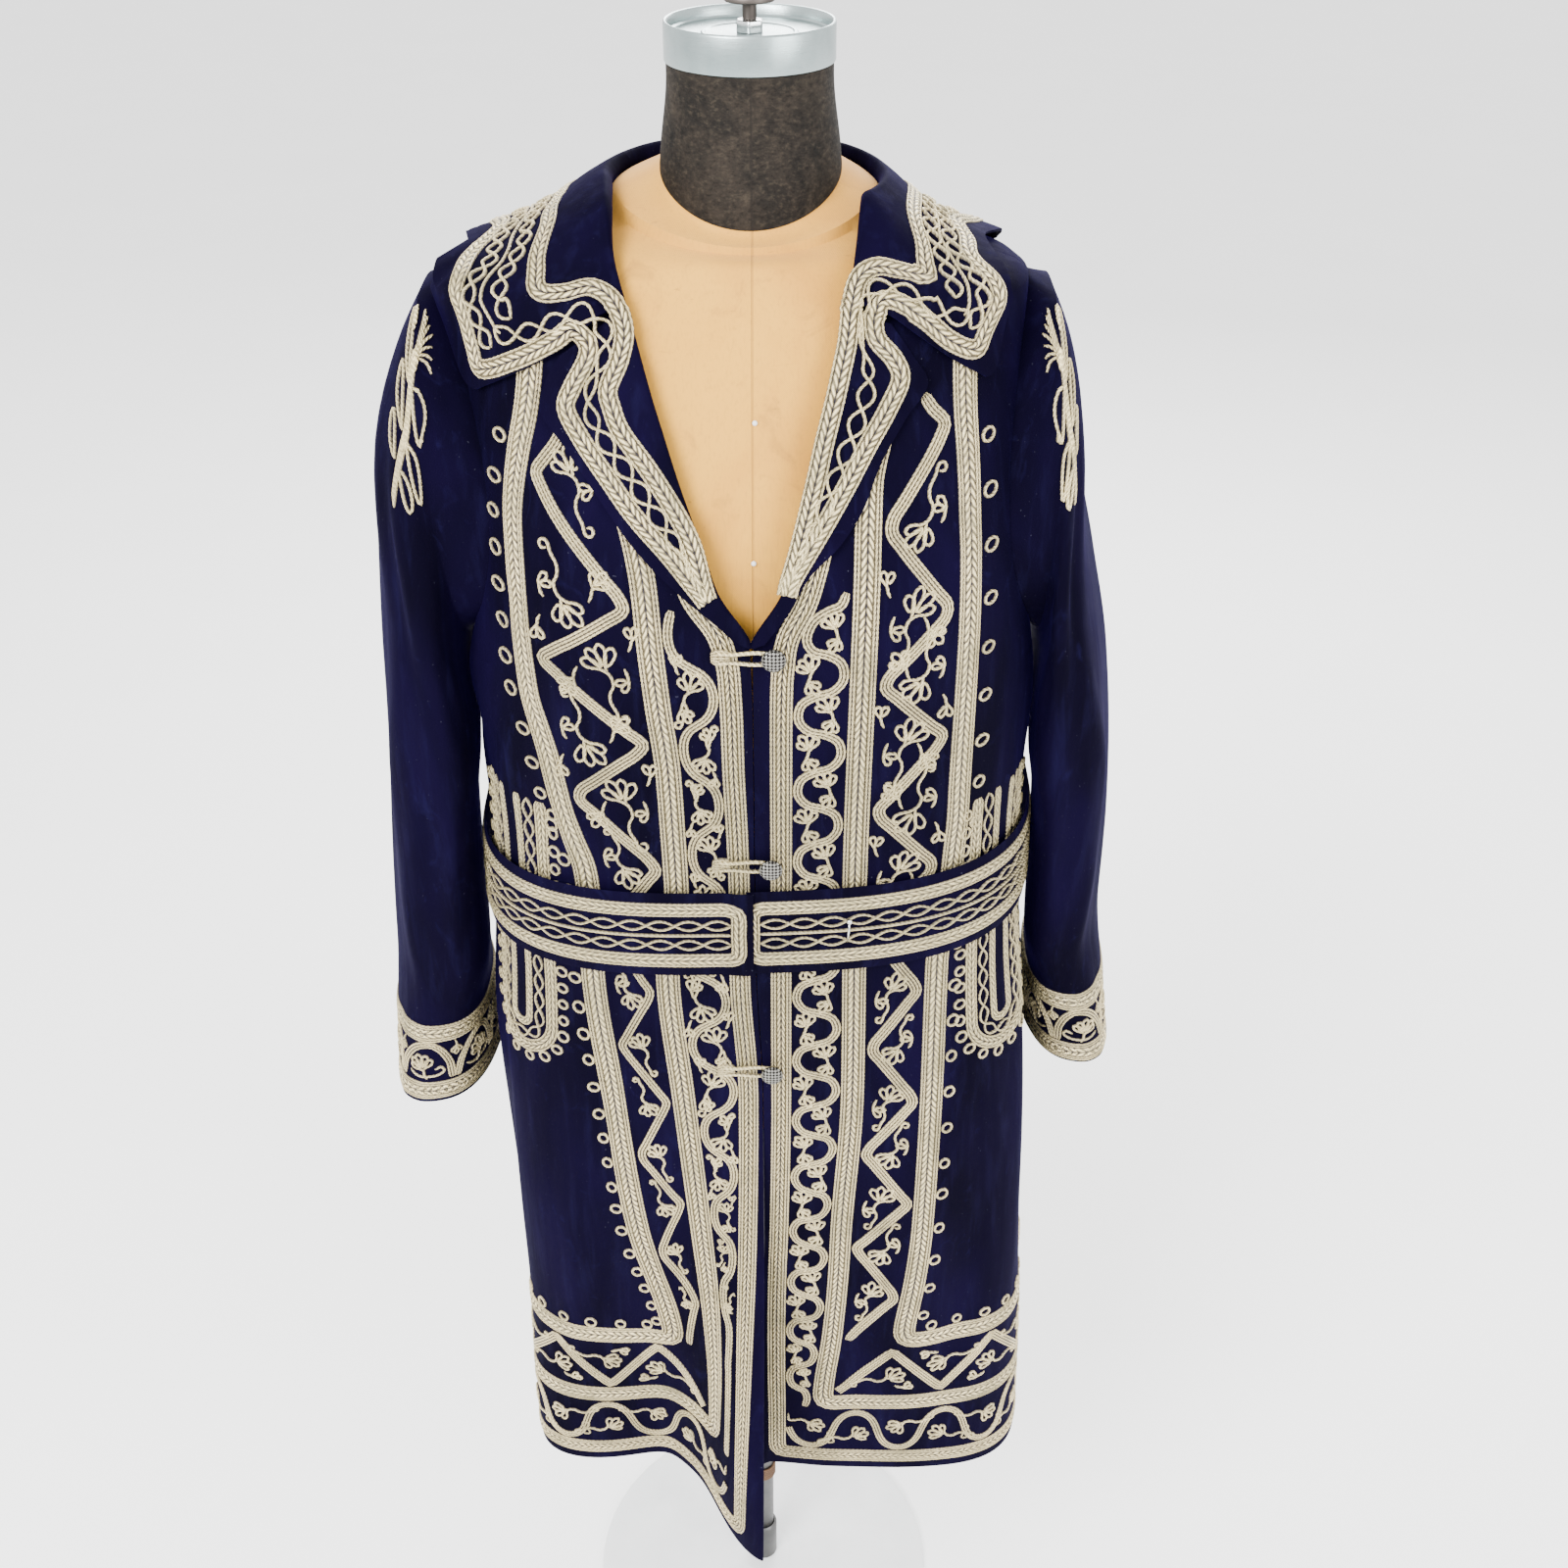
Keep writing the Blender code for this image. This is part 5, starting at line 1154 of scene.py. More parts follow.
def scroll_lane(braid, side):
    """A winding band of three cords with fans of petals in its bays."""
    to_uv = front_map(side)
    step = SCROLL_STEP[side]
    top = SCROLL_TOPS[side]
    z = np.linspace(top + 0.012, SCROLL_END, 440)
    phase = math.pi * (top - z) / step
    middle, width = lane(side, 1, z)
    x = middle + np.maximum(width / 2 - 0.0034, 0.0) * np.sin(phase)
    keep = (x > FRONTS[side]("edge", z) + 0.006) & (z < SCROLL_SHOWS[side] + 0.05)
    braid.add(to_uv(x[keep], z[keep] + ROUNDED * np.sin(2 * phase[keep]))[::4], LINE, step=0.0027)
    for k in range(int((top - SCROLL_END) / step)):
        level = top - (k + 0.5) * step
        if level > SCROLL_SHOWS[side] + 0.03:
            continue
        towards = -1 if k % 2 == 0 else 1
        middle, width = lane(side, 1, level)
        if width < 0.011:
            continue
        cord = FINE if width < 0.022 else CORD
        size = float(np.clip(width / 0.032, 0.4, 1.06))
        if step < 0.035:
            # Two fans back to back on one short stem
            cx = middle + towards * (width / 2 - 0.0105 * size)
            tuft(braid, to_uv, cx, level + 0.003, towards, 1, size, 4, -0.35 * towards, cord)
            cx += towards * 0.002
            tuft(braid, to_uv, cx, level - 0.005, -towards, -1, size * 0.86, 3, 0.5, cord)
        else:
            up = 1 if k % 4 < 2 else -1
            cx = middle + towards * (width / 2 - 0.0125 * size)
            sprig(braid, to_uv, cx, level + up * 0.004, towards, up, size, 4, -0.25, cord)
            edge = middle + towards * (width / 2 - 0.004)
            high = level + up * 0.024 * size
            tuft(braid, to_uv, edge, high, -towards, up, size * 0.8, 2, 0.2, cord)
            edge -= towards * 0.003
            tuft(braid, to_uv, edge, level - up * 0.01, -towards, -up, size * 0.9, 3, 0.5, cord)


# How far the rings' middles stand off the border beside them
RING_OFF = 0.0046


def front_rings(braid, side):
    """Rings along the outer side of the outer border."""
    to_uv = front_map(side)
    z = 1.268
    while z > 0.505:
        outer = FRONTS[side]("braid_3", z) + BRAID_WIDTHS[2] / 2 + RING_OFF
        ring(braid, to_uv, outer, z, tilt=shake(0.5))
        gap = 0.034 if side > 0 else 0.0245 if z > 0.6 else 0.0205
        z -= gap * (1 + shake(0.12))


# Heights at which the hem's rows are measured: zigzag, winding band, rings
ZIGZAG_Z, SCROLL_Z, RING_Z = 0.45, 0.375, 0.5


def hem_map(place, start, end, level):
    """The hem between two turns: distance along it and height, to turn and height, the same
    with the two the other way round, and its length."""
    turns = np.linspace(start, end, 3000)
    length = run_length(place(turns, level + 0 * turns))

    def to_uv(s, z):
        return paired(np.interp(s, length, turns), z)

    def crosswise(z, s):
        return to_uv(s, z)

    return to_uv, crosswise, length[-1]


def hem_zigzag(braid, start, end):
    """The hem's upper row between two turns: a zigzag band with sprigs."""
    to_uv, crosswise, total = hem_map(braid.place, start, end, ZIGZAG_Z)
    low, high = HEM_BRAIDS[1][1], HEM_BRAIDS[2][0]
    count = 2 * max(1, int(round(total / 0.1)))
    s = np.linspace(0, total, count * 24)
    middle, half = (low + high) / 2, (high - low) / 2 - 0.0044
    z = middle - half * rounded_wave(math.pi * count * s / total)
    braid.add(to_uv(s, z)[::3], LINE4, step=0.0034, taper=False)
    for k in range(1, count):
        up = 1 if k % 2 == 0 else -1
        at = total * k / count
        way = 1 if k % 4 < 2 else -1
        sprig(braid, crosswise, middle + up * 0.0085, at - way * 0.003, up, way, 1.08, 4, -0.55)
        beyond = middle + up * (high - low) * 0.36
        tuft(braid, crosswise, beyond, at + way * 0.012, -up, way, 0.85, 2, 0.4)


def hem_scroll(braid, start, end):
    """The hem's lower row between two turns: a winding band with sprigs and small eights."""
    to_uv, crosswise, total = hem_map(braid.place, start, end, SCROLL_Z)
    low, high = HEM_BRAIDS[0][1], HEM_BRAIDS[1][0]
    middle, half = (low + high) / 2, (high - low) / 2 - 0.0036
    count = 2 * max(1, int(round(total / 0.088)))
    s = np.linspace(0, total, count * 24)
    phase = math.pi * count * s / total
    z = middle - half * np.sin(phase)
    braid.add(to_uv(s - ROUNDED * np.sin(2 * phase), z)[::3], LINE, step=0.0032, taper=False)
    for k in range(count):
        up = 1 if k % 2 == 0 else -1
        at = total * (k + 0.5) / count
        way = 1 if k % 4 < 2 else -1
        sprig(braid, crosswise, middle + up * 0.0085, at - way * 0.002, up, way, 1.0, 4, -0.6)
        if k % 2 == 1:
            # A small figure of eight in the bay's end
            t = np.linspace(0, 2 * math.pi, 17)
            turn_s, turn_z = 0.003 * np.sin(2 * t), 0.0075 * np.cos(t)
            eight = to_uv(at - way * 0.021 + turn_s, middle + up * 0.01 + turn_z)
            braid.add(eight, FINE, rise=0.0002, step=0.0016)


def hem_rings(braid, start, end):
    to_uv, _, total = hem_map(braid.place, start, end, RING_Z)
    s = 0.012
    while s < total - 0.006:
        ring(braid, to_uv, s, HEM_BRAIDS[2][1] + RING_OFF, tilt=shake(0.5))
        s += 0.0235 * (1 + shake(0.1))


def front_braid(side):
    braid = Braid(f"braid_front_{SIDE_NAMES[side]}", body_place(FLARES[side]))
    for number in (1, 2, 3):
        braid.add(border_path(side, number), band(BRAID_WIDTHS[number - 1]), step=0.0042, taper=False)
    zigzag_lane(braid, side)
    scroll_lane(braid, side)
    front_rings(braid, side)
    rows = ((2, ZIGZAG_Z, hem_zigzag), (1, SCROLL_Z, hem_scroll), (3, RING_Z, hem_rings))
    for number, level, row in rows:
        corner = FRONTS[side](f"braid_{number}", level) + BRAID_WIDTHS[number - 1] / 2 + 0.002
        row(braid, side * float(turn_at_x(corner, level)), side * SIDE)
    return braid


def back_braid(side):
    braid = Braid(f"braid_back_{SIDE_NAMES[side]}", body_place(0.0))
    middle = HALF_TURN - SEAM / 2 / 0.14
    for number in (1, 2, 3):
        level = sum(HEM_BRAIDS[number - 1]) / 2
        path = paired(np.linspace(side * SIDE, side * middle, 60), level)
        braid.add(path, band(BRAID_WIDTHS[number - 1]), step=0.0046, taper=False)
    for row in (hem_zigzag, hem_scroll, hem_rings):
        row(braid, side * SIDE, side * middle)
    return braid


# Borders of the collar and lapels, by turn and height, from the shoulder to the fastening.
# Rows of the same place in both lists lie across from each other
TRIM_INNER = {
    -1: ((78, 1.38), (70.6, 1.3749), (62.1, 1.361), (56.6, 1.3512), (51.4, 1.352), (46.4, 1.3561),
         (39.8, 1.3508), (35.8, 1.3383), (35.1, 1.3228), (36.2, 1.306), (34.4, 1.295), (31.3, 1.2824),
         (23.9, 1.2619), (17.1, 1.2382), (12.9, 1.2181), (10.4, 1.1936), (9.4, 1.185)),
    1: ((79, 1.385), (68.8, 1.3802), (58.3, 1.3662), (54.4, 1.3588), (49.0, 1.3624), (42.9, 1.3664),
        (36.5, 1.3632), (31.9, 1.3515), (28.3, 1.3315), (25.6, 1.3175), (23.4, 1.3052), (18.8, 1.2786),
        (15.6, 1.2549), (12.6, 1.2304), (10.6, 1.213), (8.6, 1.196), (8.0, 1.188)),
}
TRIM_OUTER = {
    -1: ((80, 1.356), (71.8, 1.345), (67.2, 1.3192), (64.0, 1.306), (56.8, 1.3158), (50.0, 1.3292),
         (47.1, 1.3361), (43.5, 1.331), (42.4, 1.3214), (43.9, 1.3053), (44.2, 1.293), (40.1, 1.2783),
         (32.7, 1.256), (26.0, 1.235), (18.0, 1.2127), (11.9, 1.1916), (9.6, 1.183)),
    1: ((80, 1.3655), (70.7, 1.3585), (61.6, 1.332), (57.6, 1.3204), (52.4, 1.3271), (47.6, 1.3412),
        (42.6, 1.3498), (37.9, 1.3486), (35.9, 1.3342), (38.8, 1.3216), (39.2, 1.31), (34.5, 1.2935),
        (28.1, 1.2733), (21.4, 1.2479), (14.8, 1.2217), (9.6, 1.199), (8.2, 1.188)),
}
TRIM_RADIUS = 0.125
TRIM_WIDTH = 0.0125
# Behind the shoulder the outer border keeps this far from the collar's edge
TRIM_MARGIN = 0.0098
TRIM_BACK = (180, 160, 140, 120, 105, 92)
# The collar's last row, before its two chains become one
TRIM_CORNER = 4


def trim_paths(side):
    """Centres of the two borders, as real distances round the neck and up, matched row for row."""
    inner, outer = [], []
    for turn in TRIM_BACK:
        full = round_turn(side * math.radians(turn))
        seam = float(np.interp(full, SEAM_TURNS, SEAM_ZS))
        edge = float(collar_edge("height", full))
        outer.append((turn, edge + TRIM_MARGIN))
        inner.append((turn, seam - 0.3 * (seam - edge)))
    paths = []
    for back, front in ((inner, TRIM_INNER[side]), (outer, TRIM_OUTER[side])):
        rows = [(side * math.radians(turn) * TRIM_RADIUS, z) for turn, z in back + list(front)]
        paths.append(smooth_path(rows))
    return paths


def trim_map(x, z):
    return paired(np.asarray(x) / TRIM_RADIUS, z)


def trim_braid(side):
    braid = Braid(f"braid_trim_{SIDE_NAMES[side]}", trim_place(side))
    inner, outer = trim_paths(side)
    for line, rise in ((inner, 0.0), (outer, 0.0002)):
        braid.add(trim_map(*line.T), band(TRIM_WIDTH), rise, step=0.0026, taper=False, raw=True)
    reach = braid.place(*trim_map(*outer.T).T) - braid.place(*trim_map(*inner.T).T)
    room = np.linalg.norm(reach, axis=1) - TRIM_WIDTH
    corner = PATH_STEPS * (len(TRIM_BACK) + TRIM_CORNER - 1)
    part = slice(0, corner)
    width = np.clip(room[part] / 4 - 0.0014, 0.001, 0.005)
    aside = (room / 4 / (room + TRIM_WIDTH))[:, None]
    for sign in (1, -1):
        row = inner * (0.5 - sign * aside) + outer * (0.5 + sign * aside)
        chain(braid, trim_map, row[part], width, 0.0145)
    braid.add(trim_map(*((inner + outer) / 2)[part].T), CORD, step=0.0022, raw=True)
    part = slice(corner - 4, len(inner) - 10)
    width = np.clip(room[part] / 2 - 0.0012, 0.001, 0.0052)
    chain(braid, trim_map, ((inner + outer) / 2)[part], width, 0.0185)
    return braid


# The belt's outer border and its two chains, from its middle
BELT_RAIL = 0.0222
BELT_CHAIN = 0.0084


def belt_map():
    """Distance along the belt and across it from its middle, to turn and share of its width."""
    turns = np.radians(np.linspace(-1.2, 359.0, 3000))
    length = run_length(belt_place(turns, 0.5 + 0 * turns))

    def to_uv(s, y):
        return paired(np.interp(s, length, turns), 0.5 + y / BELT_HEIGHT)
    return to_uv, length[-1]


def belt_braid():
    braid = Braid("braid_belt", belt_place)
    to_uv, total = belt_map()
    rail = BELT_RAIL
    end = total - 0.008
    plait = cords_profile([0.0018, 0.0034, 0.0034, 0.0018], [0.0012, 0.0016, 0.0016, 0.0012], 0.0003)
    s = np.linspace(0.01, end - 0.01, 240)
    top = paired(s, rail)
    corner = [(end - 0.004, rail - 0.0012), (end, rail - 0.0055), (end, 0), (end, -rail + 0.0055),
              (end - 0.004, -rail + 0.0012)]
    other = [(0.006, -rail + 0.0012), (0.002, -rail + 0.0055), (0.002, 0), (0.002, rail - 0.0055),
             (0.006, rail - 0.0012)]
    loop = np.concatenate([top, corner, top[::-1] * [1, -1], other])
    braid.add(to_uv(*loop.T), plait, step=0.003, closed=True)
    line = np.linspace(0.0075, end - 0.0055, 160)
    for level in (BELT_CHAIN, -BELT_CHAIN):
        chain(braid, to_uv, paired(line, level), 0.0038, 0.02, FINE)
    braid.add(to_uv(line, 0 * line), CORD, rise=0.0006, step=0.0024)
    return braid


def pocket_braid(side):
    centre = math.radians(POCKET_TURNS[0 if side < 0 else 1])
    braid = Braid(f"braid_pocket_{SIDE_NAMES[side]}", body_place(FLARES[side]))

    def to_uv(x, z):
        return paired(centre + np.asarray(x) / POCKET_BODY_RADIUS, z)

    def route(radius, top=POCKET_TOP):
        down = np.linspace(top, POCKET_BOTTOM, 26)
        bend = np.linspace(math.pi, 2 * math.pi, 16)[1:-1]
        left = paired(-radius, down)
        foot = np.stack([radius * np.cos(bend), POCKET_BOTTOM + radius * np.sin(bend)], -1)
        return np.concatenate([left, foot, left[::-1] * [-1, 1]])

    plait = cords_profile([0.0018, 0.003, 0.003, 0.0018], [0.0012, 0.0015, 0.0015, 0.0012], 0.0003)
    slim = cords_profile([0.0018, 0.0028, 0.0018], [0.0012, 0.0014, 0.0012], 0.0002)
    outer, inner, between, rings = POCKET_ROUTES
    braid.add(to_uv(*route(outer).T), plait, step=0.0028)
    braid.add(to_uv(*route(inner).T), slim, step=0.0026)
    chain(braid, to_uv, route(between), 0.004, 0.017, FINE)
    path = route(rings, POCKET_TOP - 0.006)
    step = run_length(path)
    for at in np.arange(0.004, step[-1], 0.015):
        x, z = (np.interp(at, step, path[:, k]) for k in (0, 1))
        ring(braid, to_uv, x, z, radius=0.0036, tilt=shake(0.5))
    return braid


HEAD_TURN = 0.66
HEAD_SWING = 0.4
HEAD_START = -0.45
HEAD_SCALE = 0.58
# Level, length and side of each leaf
HEAD_LEAVES = ((1.1, 0.42, 1), (2.0, 0.4, 1), (2.9, 0.3, 1), (1.25, 0.4, -1),
               (2.15, 0.38, -1), (3.05, 0.28, -1))


def head_sprig(braid):
    """The sprig on the sleeve's head: a fan, a stem of cords and long open leaves."""
    def lay_on(u, v, profile, rise=0.0003):
        step = HEAD_START + HEAD_SCALE * np.asarray(v)
        turn = HEAD_TURN + HEAD_SWING * ease((step - HEAD_START) / 1.2)
        braid.add(paired(turn + u, step), profile, rise=rise, step=0.002)

    down = np.linspace(0, 1, 16)
    for k in range(4):
        lay_on((k - 1.5) * 0.034 * (1 - 0.6 * down) + 0.06 * down, 0.5 + 3.3 * down + 0.03 * k, CORD)
    for k in range(7):
        spread = k - 3
        u = np.array([spread * 0.08, spread * 0.05, spread * 0.014])
        lay_on(u, np.array([0.06 * abs(spread), 0.3, 0.6]), CORD, 0.0003 * (k % 2))
    for level, long, towards in HEAD_LEAVES:
        t = np.linspace(0, math.pi, 15)
        along = long * np.sin(t)
        lay_on(towards * (0.05 + along), level + 0.3 * np.sin(2 * t) - along * 0.9, CORD)


# The hook under each arch of the cuff, from the arch's middle and foot
CUFF_HOOK = np.array([(-0.014, -0.0075), (-0.006, -0.004), (0.008, -0.0045), (0.015, -0.0085),
                      (0.012, -0.013), (0.0075, -0.0105)])


def sleeve_braid(side):
    braid = Braid(f"braid_cuff_{SIDE_NAMES[side]}", sleeve_place(side))
    turns = np.linspace(0, 2 * math.pi, 1500)
    length = run_length(braid.place(turns, CUFF_STEP + 0.5 + 0 * turns))
    total = length[-1]

    def to_uv(s, v):
        angle = 2 * math.pi * np.floor(s / total) + np.interp(s % total, length, turns)
        return paired(angle, CUFF_STEP + v / CUFF_HEIGHT)

    s = np.linspace(0, total, 121)[:-1]
    for (low, high), width in zip(CUFF_BRAIDS, CUFF_WIDTHS):
        level = (low + high) / 2 * CUFF_HEIGHT
        braid.add(to_uv(s, level + 0 * s), band(width), step=0.0032, closed=True)
    pitch = total / CUFF_ARCHES
    low = CUFF_BRAIDS[1][0] * CUFF_HEIGHT - 0.001
    high = CUFF_BRAIDS[0][1] * CUFF_HEIGHT + 0.0036
    for k in range(CUFF_ARCHES):
        t = np.linspace(0, 1, 19)
        v = low - (low - high) * np.sin(math.pi * t) ** 0.55
        x = (k + 0.04 + 0.92 * t + 0.13) * pitch
        braid.add(to_uv(x, v), LINE, step=0.0022)
        middle = (k + 0.63) * pitch
        way = 1 if k % 2 else -1
        tuft(braid, to_uv, middle - way * 0.002, low - 0.012, way, -1, 1.2, 5, -0.25 * way)
        hook = CUFF_HOOK + [middle, low]
        braid.add(to_uv(*hook.T), CORD, step=0.0018)
        tuft(braid, to_uv, (k + 0.13) * pitch, high + 0.005, way, 1, 0.75, 3, 0.0, FINE)

    head_sprig(braid)
    return braid


# Form, stand and small parts


def level_ring(radius, angle, z):
    """Points about the axis, at angles from the wearer's left."""
    return np.stack([radius * np.cos(angle), radius * np.sin(angle), z + 0 * angle], -1)


def capped_rings(name, rings, low, high, sharp=50, uvs=None, end_uv=0.0):
    """A body of closed rings, with a fan to a point at each end."""
    rows, columns = rings.shape[:2]
    points = np.concatenate([rings.reshape(-1, 3), [low, high]])
    faces = [tuple(q) for q in grid_quads(rows, columns, closed=True)]
    n = rows * columns
    for j in range(columns):
        k = (j + 1) % columns
        faces.append((n, k, j))
        faces.append((n + 1, n - columns + j, n - columns + k))
    mesh = bpy.data.meshes.new(name)
    mesh.from_pydata(points.tolist(), [], faces)
    if uvs is not None:
        flat = np.concatenate([uvs.reshape(-1, 2), np.full((2, 2), end_uv)]).astype(np.float32)
        index = np.zeros(len(mesh.loops), np.int32)
        mesh.loops.foreach_get("vertex_index", index)
        mesh.uv_layers.new(name="UVMap").data.foreach_set("uv", flat[index].ravel())
    made = smooth_object(name, mesh, sharp)
    recalc(made)
    return made


def turned_profile(name, profile, steps, sharp):
    """A body of revolution about Z from radius and height, closed at its ends."""
    profile = np.array(profile, float)
    keep = profile[profile[:, 0] > 0]
    rings = level_ring(keep[:, :1], whole_turn(steps), keep[:, 1:])
    return capped_rings(name, rings, (0, 0, profile[0, 1]), (0, 0, profile[-1, 1]), sharp)


def recalc(made):
    """Turn a closed mesh's faces outwards."""
    work = bmesh.new()
    work.from_mesh(made.data)
    bmesh.ops.recalc_face_normals(work, faces=work.faces)
    work.to_mesh(made.data)
    work.free()


def round_cord(name, path, radius, sides=12):
    """A round cord along points, with UVs round it and along it."""
    path = np.asarray(path, float)
    along = unit(np.gradient(path, axis=0))
    side = unit(np.cross(along, (0.0, -1.0, 0.05)) + 1e-9)
    top = unit(np.cross(side, along))
    angle = whole_turn(sides)[:, None]
    section = side[:, None] * np.cos(angle) + top[:, None] * np.sin(angle)
    grow = np.ones(len(path))
    grow[[0, -1]] = 0.55
    points = path[:, None] + section * radius * grow[:, None, None]
    uvs = np.stack(np.meshgrid(np.arange(sides) / sides, run_length(path)), -1)
    return capped_rings(name, points, path[0], path[-1], None, uvs)


def neck_base_z(turn):
    level, front, side = NECK_BASE
    return level - front * np.cos(turn) - side * np.cos(2 * turn)


def form_rise(turn, z):
    start, reach = FORM_RISE
    return (neck_base_z(turn) - FORM_TOP_Z) * ease((z - start) / reach)


def torso_rings():
    """Rings of the torso, close under the coat at the shoulders."""
    turns = whole_turn(120)
    away = ((folded(turns) - SIDE) / FORM_EASE_REACH) ** 2
    under = CLOTH / 2 + FORM_CLEAR + FORM_EASE * (1 - np.exp(-away))

    def table_ring(z):
        depth = np.where(np.cos(turns) > 0, FORM("front", z), FORM("back", z))
        across = (np.abs(np.sin(turns)) / FORM("half_width", z)) ** FORM_SQUARE
        ahead = (np.abs(np.cos(turns)) / depth) ** FORM_SQUARE
        radius = (across + ahead) ** (-1 / FORM_SQUARE)
        return around(radius, turns, z)

    def coat_ring(z):
        spots = body_point(turns, z + 0 * turns, -under)
        spots[:, 2] += form_rise(turns, z)
        return spots

    rings = [table_ring(z) for z in np.linspace(FORM_FOOT_Z, FORM_LOWER_TOP_Z, 46)]
    # Between the form's own rings and those under the coat, a smooth change
    low, high = FORM_LOWER_TOP_Z, SHOULDER_Z
    first, last = table_ring(low), coat_ring(high)
    slope_low = (first - table_ring(low - 0.004)) / 0.004 * (high - low)
    slope_high = (coat_ring(high + 0.001) - last) / 0.001 * (high - low) * 0.35
    for t in np.linspace(0, 1, 9)[1:-1]:
        rings.append((1 + 2 * t) * (1 - t) ** 2 * first + t * (1 - t) ** 2 * slope_low
                     + t * t * (3 - 2 * t) * last + t * t * (t - 1) * slope_high)
    rings += [coat_ring(z) for z in np.linspace(SHOULDER_Z, NECK_Z, 14)]
    end = np.hypot(rings[-1][:, 0], rings[-1][:, 1])
    for z in np.linspace(NECK_Z, FORM_TOP_Z, 10)[1:]:
        share = ease((z - NECK_Z) / (FORM_TOP_Z - NECK_Z)) ** FORM_SHOULDER_POWER
        radius = end + (NECK_BASE_RADIUS - end) * share
        rings.append(around(radius, turns, z + form_rise(turns, z)))
    return np.array(rings)


def neck_piece():
    turns = whole_turn(120)
    # The cloth laps over itself in a low seam at the front
    lap = 0.0004 * np.exp(-((np.minimum(np.abs(turns - 0.03), 0.5) / 0.02) ** 2))
    low = neck_base_z(turns) + SEAM
    rings = []
    for share in np.linspace(0, 1, 26):
        taper = ease(min(1, share * 1.1))
        radius = NECK_BASE_RADIUS + (NECK_TOP_RADIUS - NECK_BASE_RADIUS) * taper
        radius = radius + 0.0004 * math.exp(-((share - 0.02) / 0.03) ** 2)
        rings.append(around(radius + lap, turns, low + (NECK_TOP_Z - low) * share))
    ends = (0, 0, FORM_TOP_MIDDLE_Z + SEAM), (0, 0, NECK_TOP_Z)
    return capped_rings("neck_cloth", np.array(rings), *ends)


def hex_nut():
    floor = CAP_TOP_Z - CAP_DEPTH + SEAM
    top = floor + NUT_HEIGHT
    angle = whole_turn(72)
    sixth = math.pi / 6
    flat = NUT_RADIUS * math.cos(sixth) / np.cos((angle + sixth) % (math.pi / 3) - sixth)
    size = np.minimum(flat, NUT_RADIUS * 0.97)
    profile = ((0.985, floor), (1.0, floor + 0.0003), (1.0, top - 0.0012), (0.96, top - 0.0004),
               (0.88, top))
    rings = np.array([level_ring(size * share, angle, z) for share, z in profile])
    return capped_rings("neck_nut", rings, (0, 0, floor), (0, 0, top), sharp=30)


# A button's shank and rim, by radius and distance out, and the width of its diamonds
BUTTON_RIM = ((0.002, 0.0), (0.002, 0.004), (0.007, 0.0042), (0.0076, 0.0045), (0.008, 0.0052),
              (0.008, 0.006), (0.0077, 0.0067), (0.0073, 0.0069), (0.0071, 0.0066))
DIAMOND = 0.0024


def button_piece(number):
    """A round button whose dome carries small raised diamonds in a checker."""
    x, z, seat = BUTTONS[number - 1]
    centre = body_point(turn_at_x(x, z), np.array(z), CLOTH / 2 + seat)
    angle = whole_turn(84)
    radii = [radius for radius, _ in BUTTON_RIM] + list(np.linspace(0.0069, 0.0003, 24))
    rows, uvs = [], []
    for k, radius in enumerate(radii):
        px, pz = radius * np.cos(angle), radius * np.sin(angle)
        if k < len(BUTTON_RIM):
            y = BUTTON_RIM[k][1] + 0 * angle
        else:
            dome = 0.0064 + 0.003 * np.sqrt(np.maximum(0, 1 - (radius / 0.0086) ** 2)) - 0.0008
            a = (px + pz) / DIAMOND
            b = (px - pz) / DIAMOND
            bump = np.minimum(np.abs(a % 1 - 0.5), np.abs(b % 1 - 0.5)) * 2
            bump = np.clip((1 - bump - 0.16) * 2.2, 0, 1)
            high = ((np.floor(a) + np.floor(b)) % 2) * 1.0
            y = dome + 0.00034 * bump * (0.35 + 0.65 * high) * (radius < 0.0067)
        rows.append(np.stack([centre[0] + px, centre[1] - y, centre[2] + pz], -1))
        uvs.append(paired(px, pz) / DIAMOND + 10)
    rows = np.array(rows)
    name = f"button_metal_{number}"
    return capped_rings(name, rows, centre, rows[-1].mean(0), 60, np.array(uvs), 10)


def loop_piece(number):
    """A button's loop: one cord out from the edge border, round the shank and back."""
    x, z, _ = BUTTONS[number - 1]
    lift = CLOTH / 2 + BRAID_RISE + LOOP_CLEAR + LOOP_CORD + 0.0004
    bend = [math.pi * (0.5 - k / 10) for k in range(11)]
    upper = [(-LOOP_REACH + LOOP_REACH * t, LOOP_RADIUS - 0.0006 * math.sin(7 * t))
             for t in np.linspace(0, 0.93, 14)]
    route = upper + [(LOOP_RADIUS * math.cos(a), LOOP_RADIUS * math.sin(a)) for a in bend]
    route += [(dx, -dz) for dx, dz in upper[::-1]]
    path = [body_point(turn_at_x(x + dx, z + dz), np.array(z + dz), lift) for dx, dz in route]
    fine = []
    for first, second in zip(path, path[1:]):
        fine += [first, (first + second) * 0.5]
    fine.append(path[-1])
    return round_cord(f"loop_cord_{number}", fine, 0.00135)


def loop_blocks():
    """Plaited blocks that hold the loops' ends on the right front."""
    braid = Braid("braid_loop_blocks", body_place(1.0))
    plait = cords_profile([0.0022] * 5, [0.0013, 0.0016, 0.0017, 0.0016, 0.0013], 0.0)
    for x, z, _ in BUTTONS:
        line = np.linspace(x - LOOP_REACH - 0.004, x - LOOP_REACH + 0.0085, 8)
        braid.add(paired(turn_at_x(line, z + 0 * line), z), plait, rise=0.0019, step=0.002)
    return braid


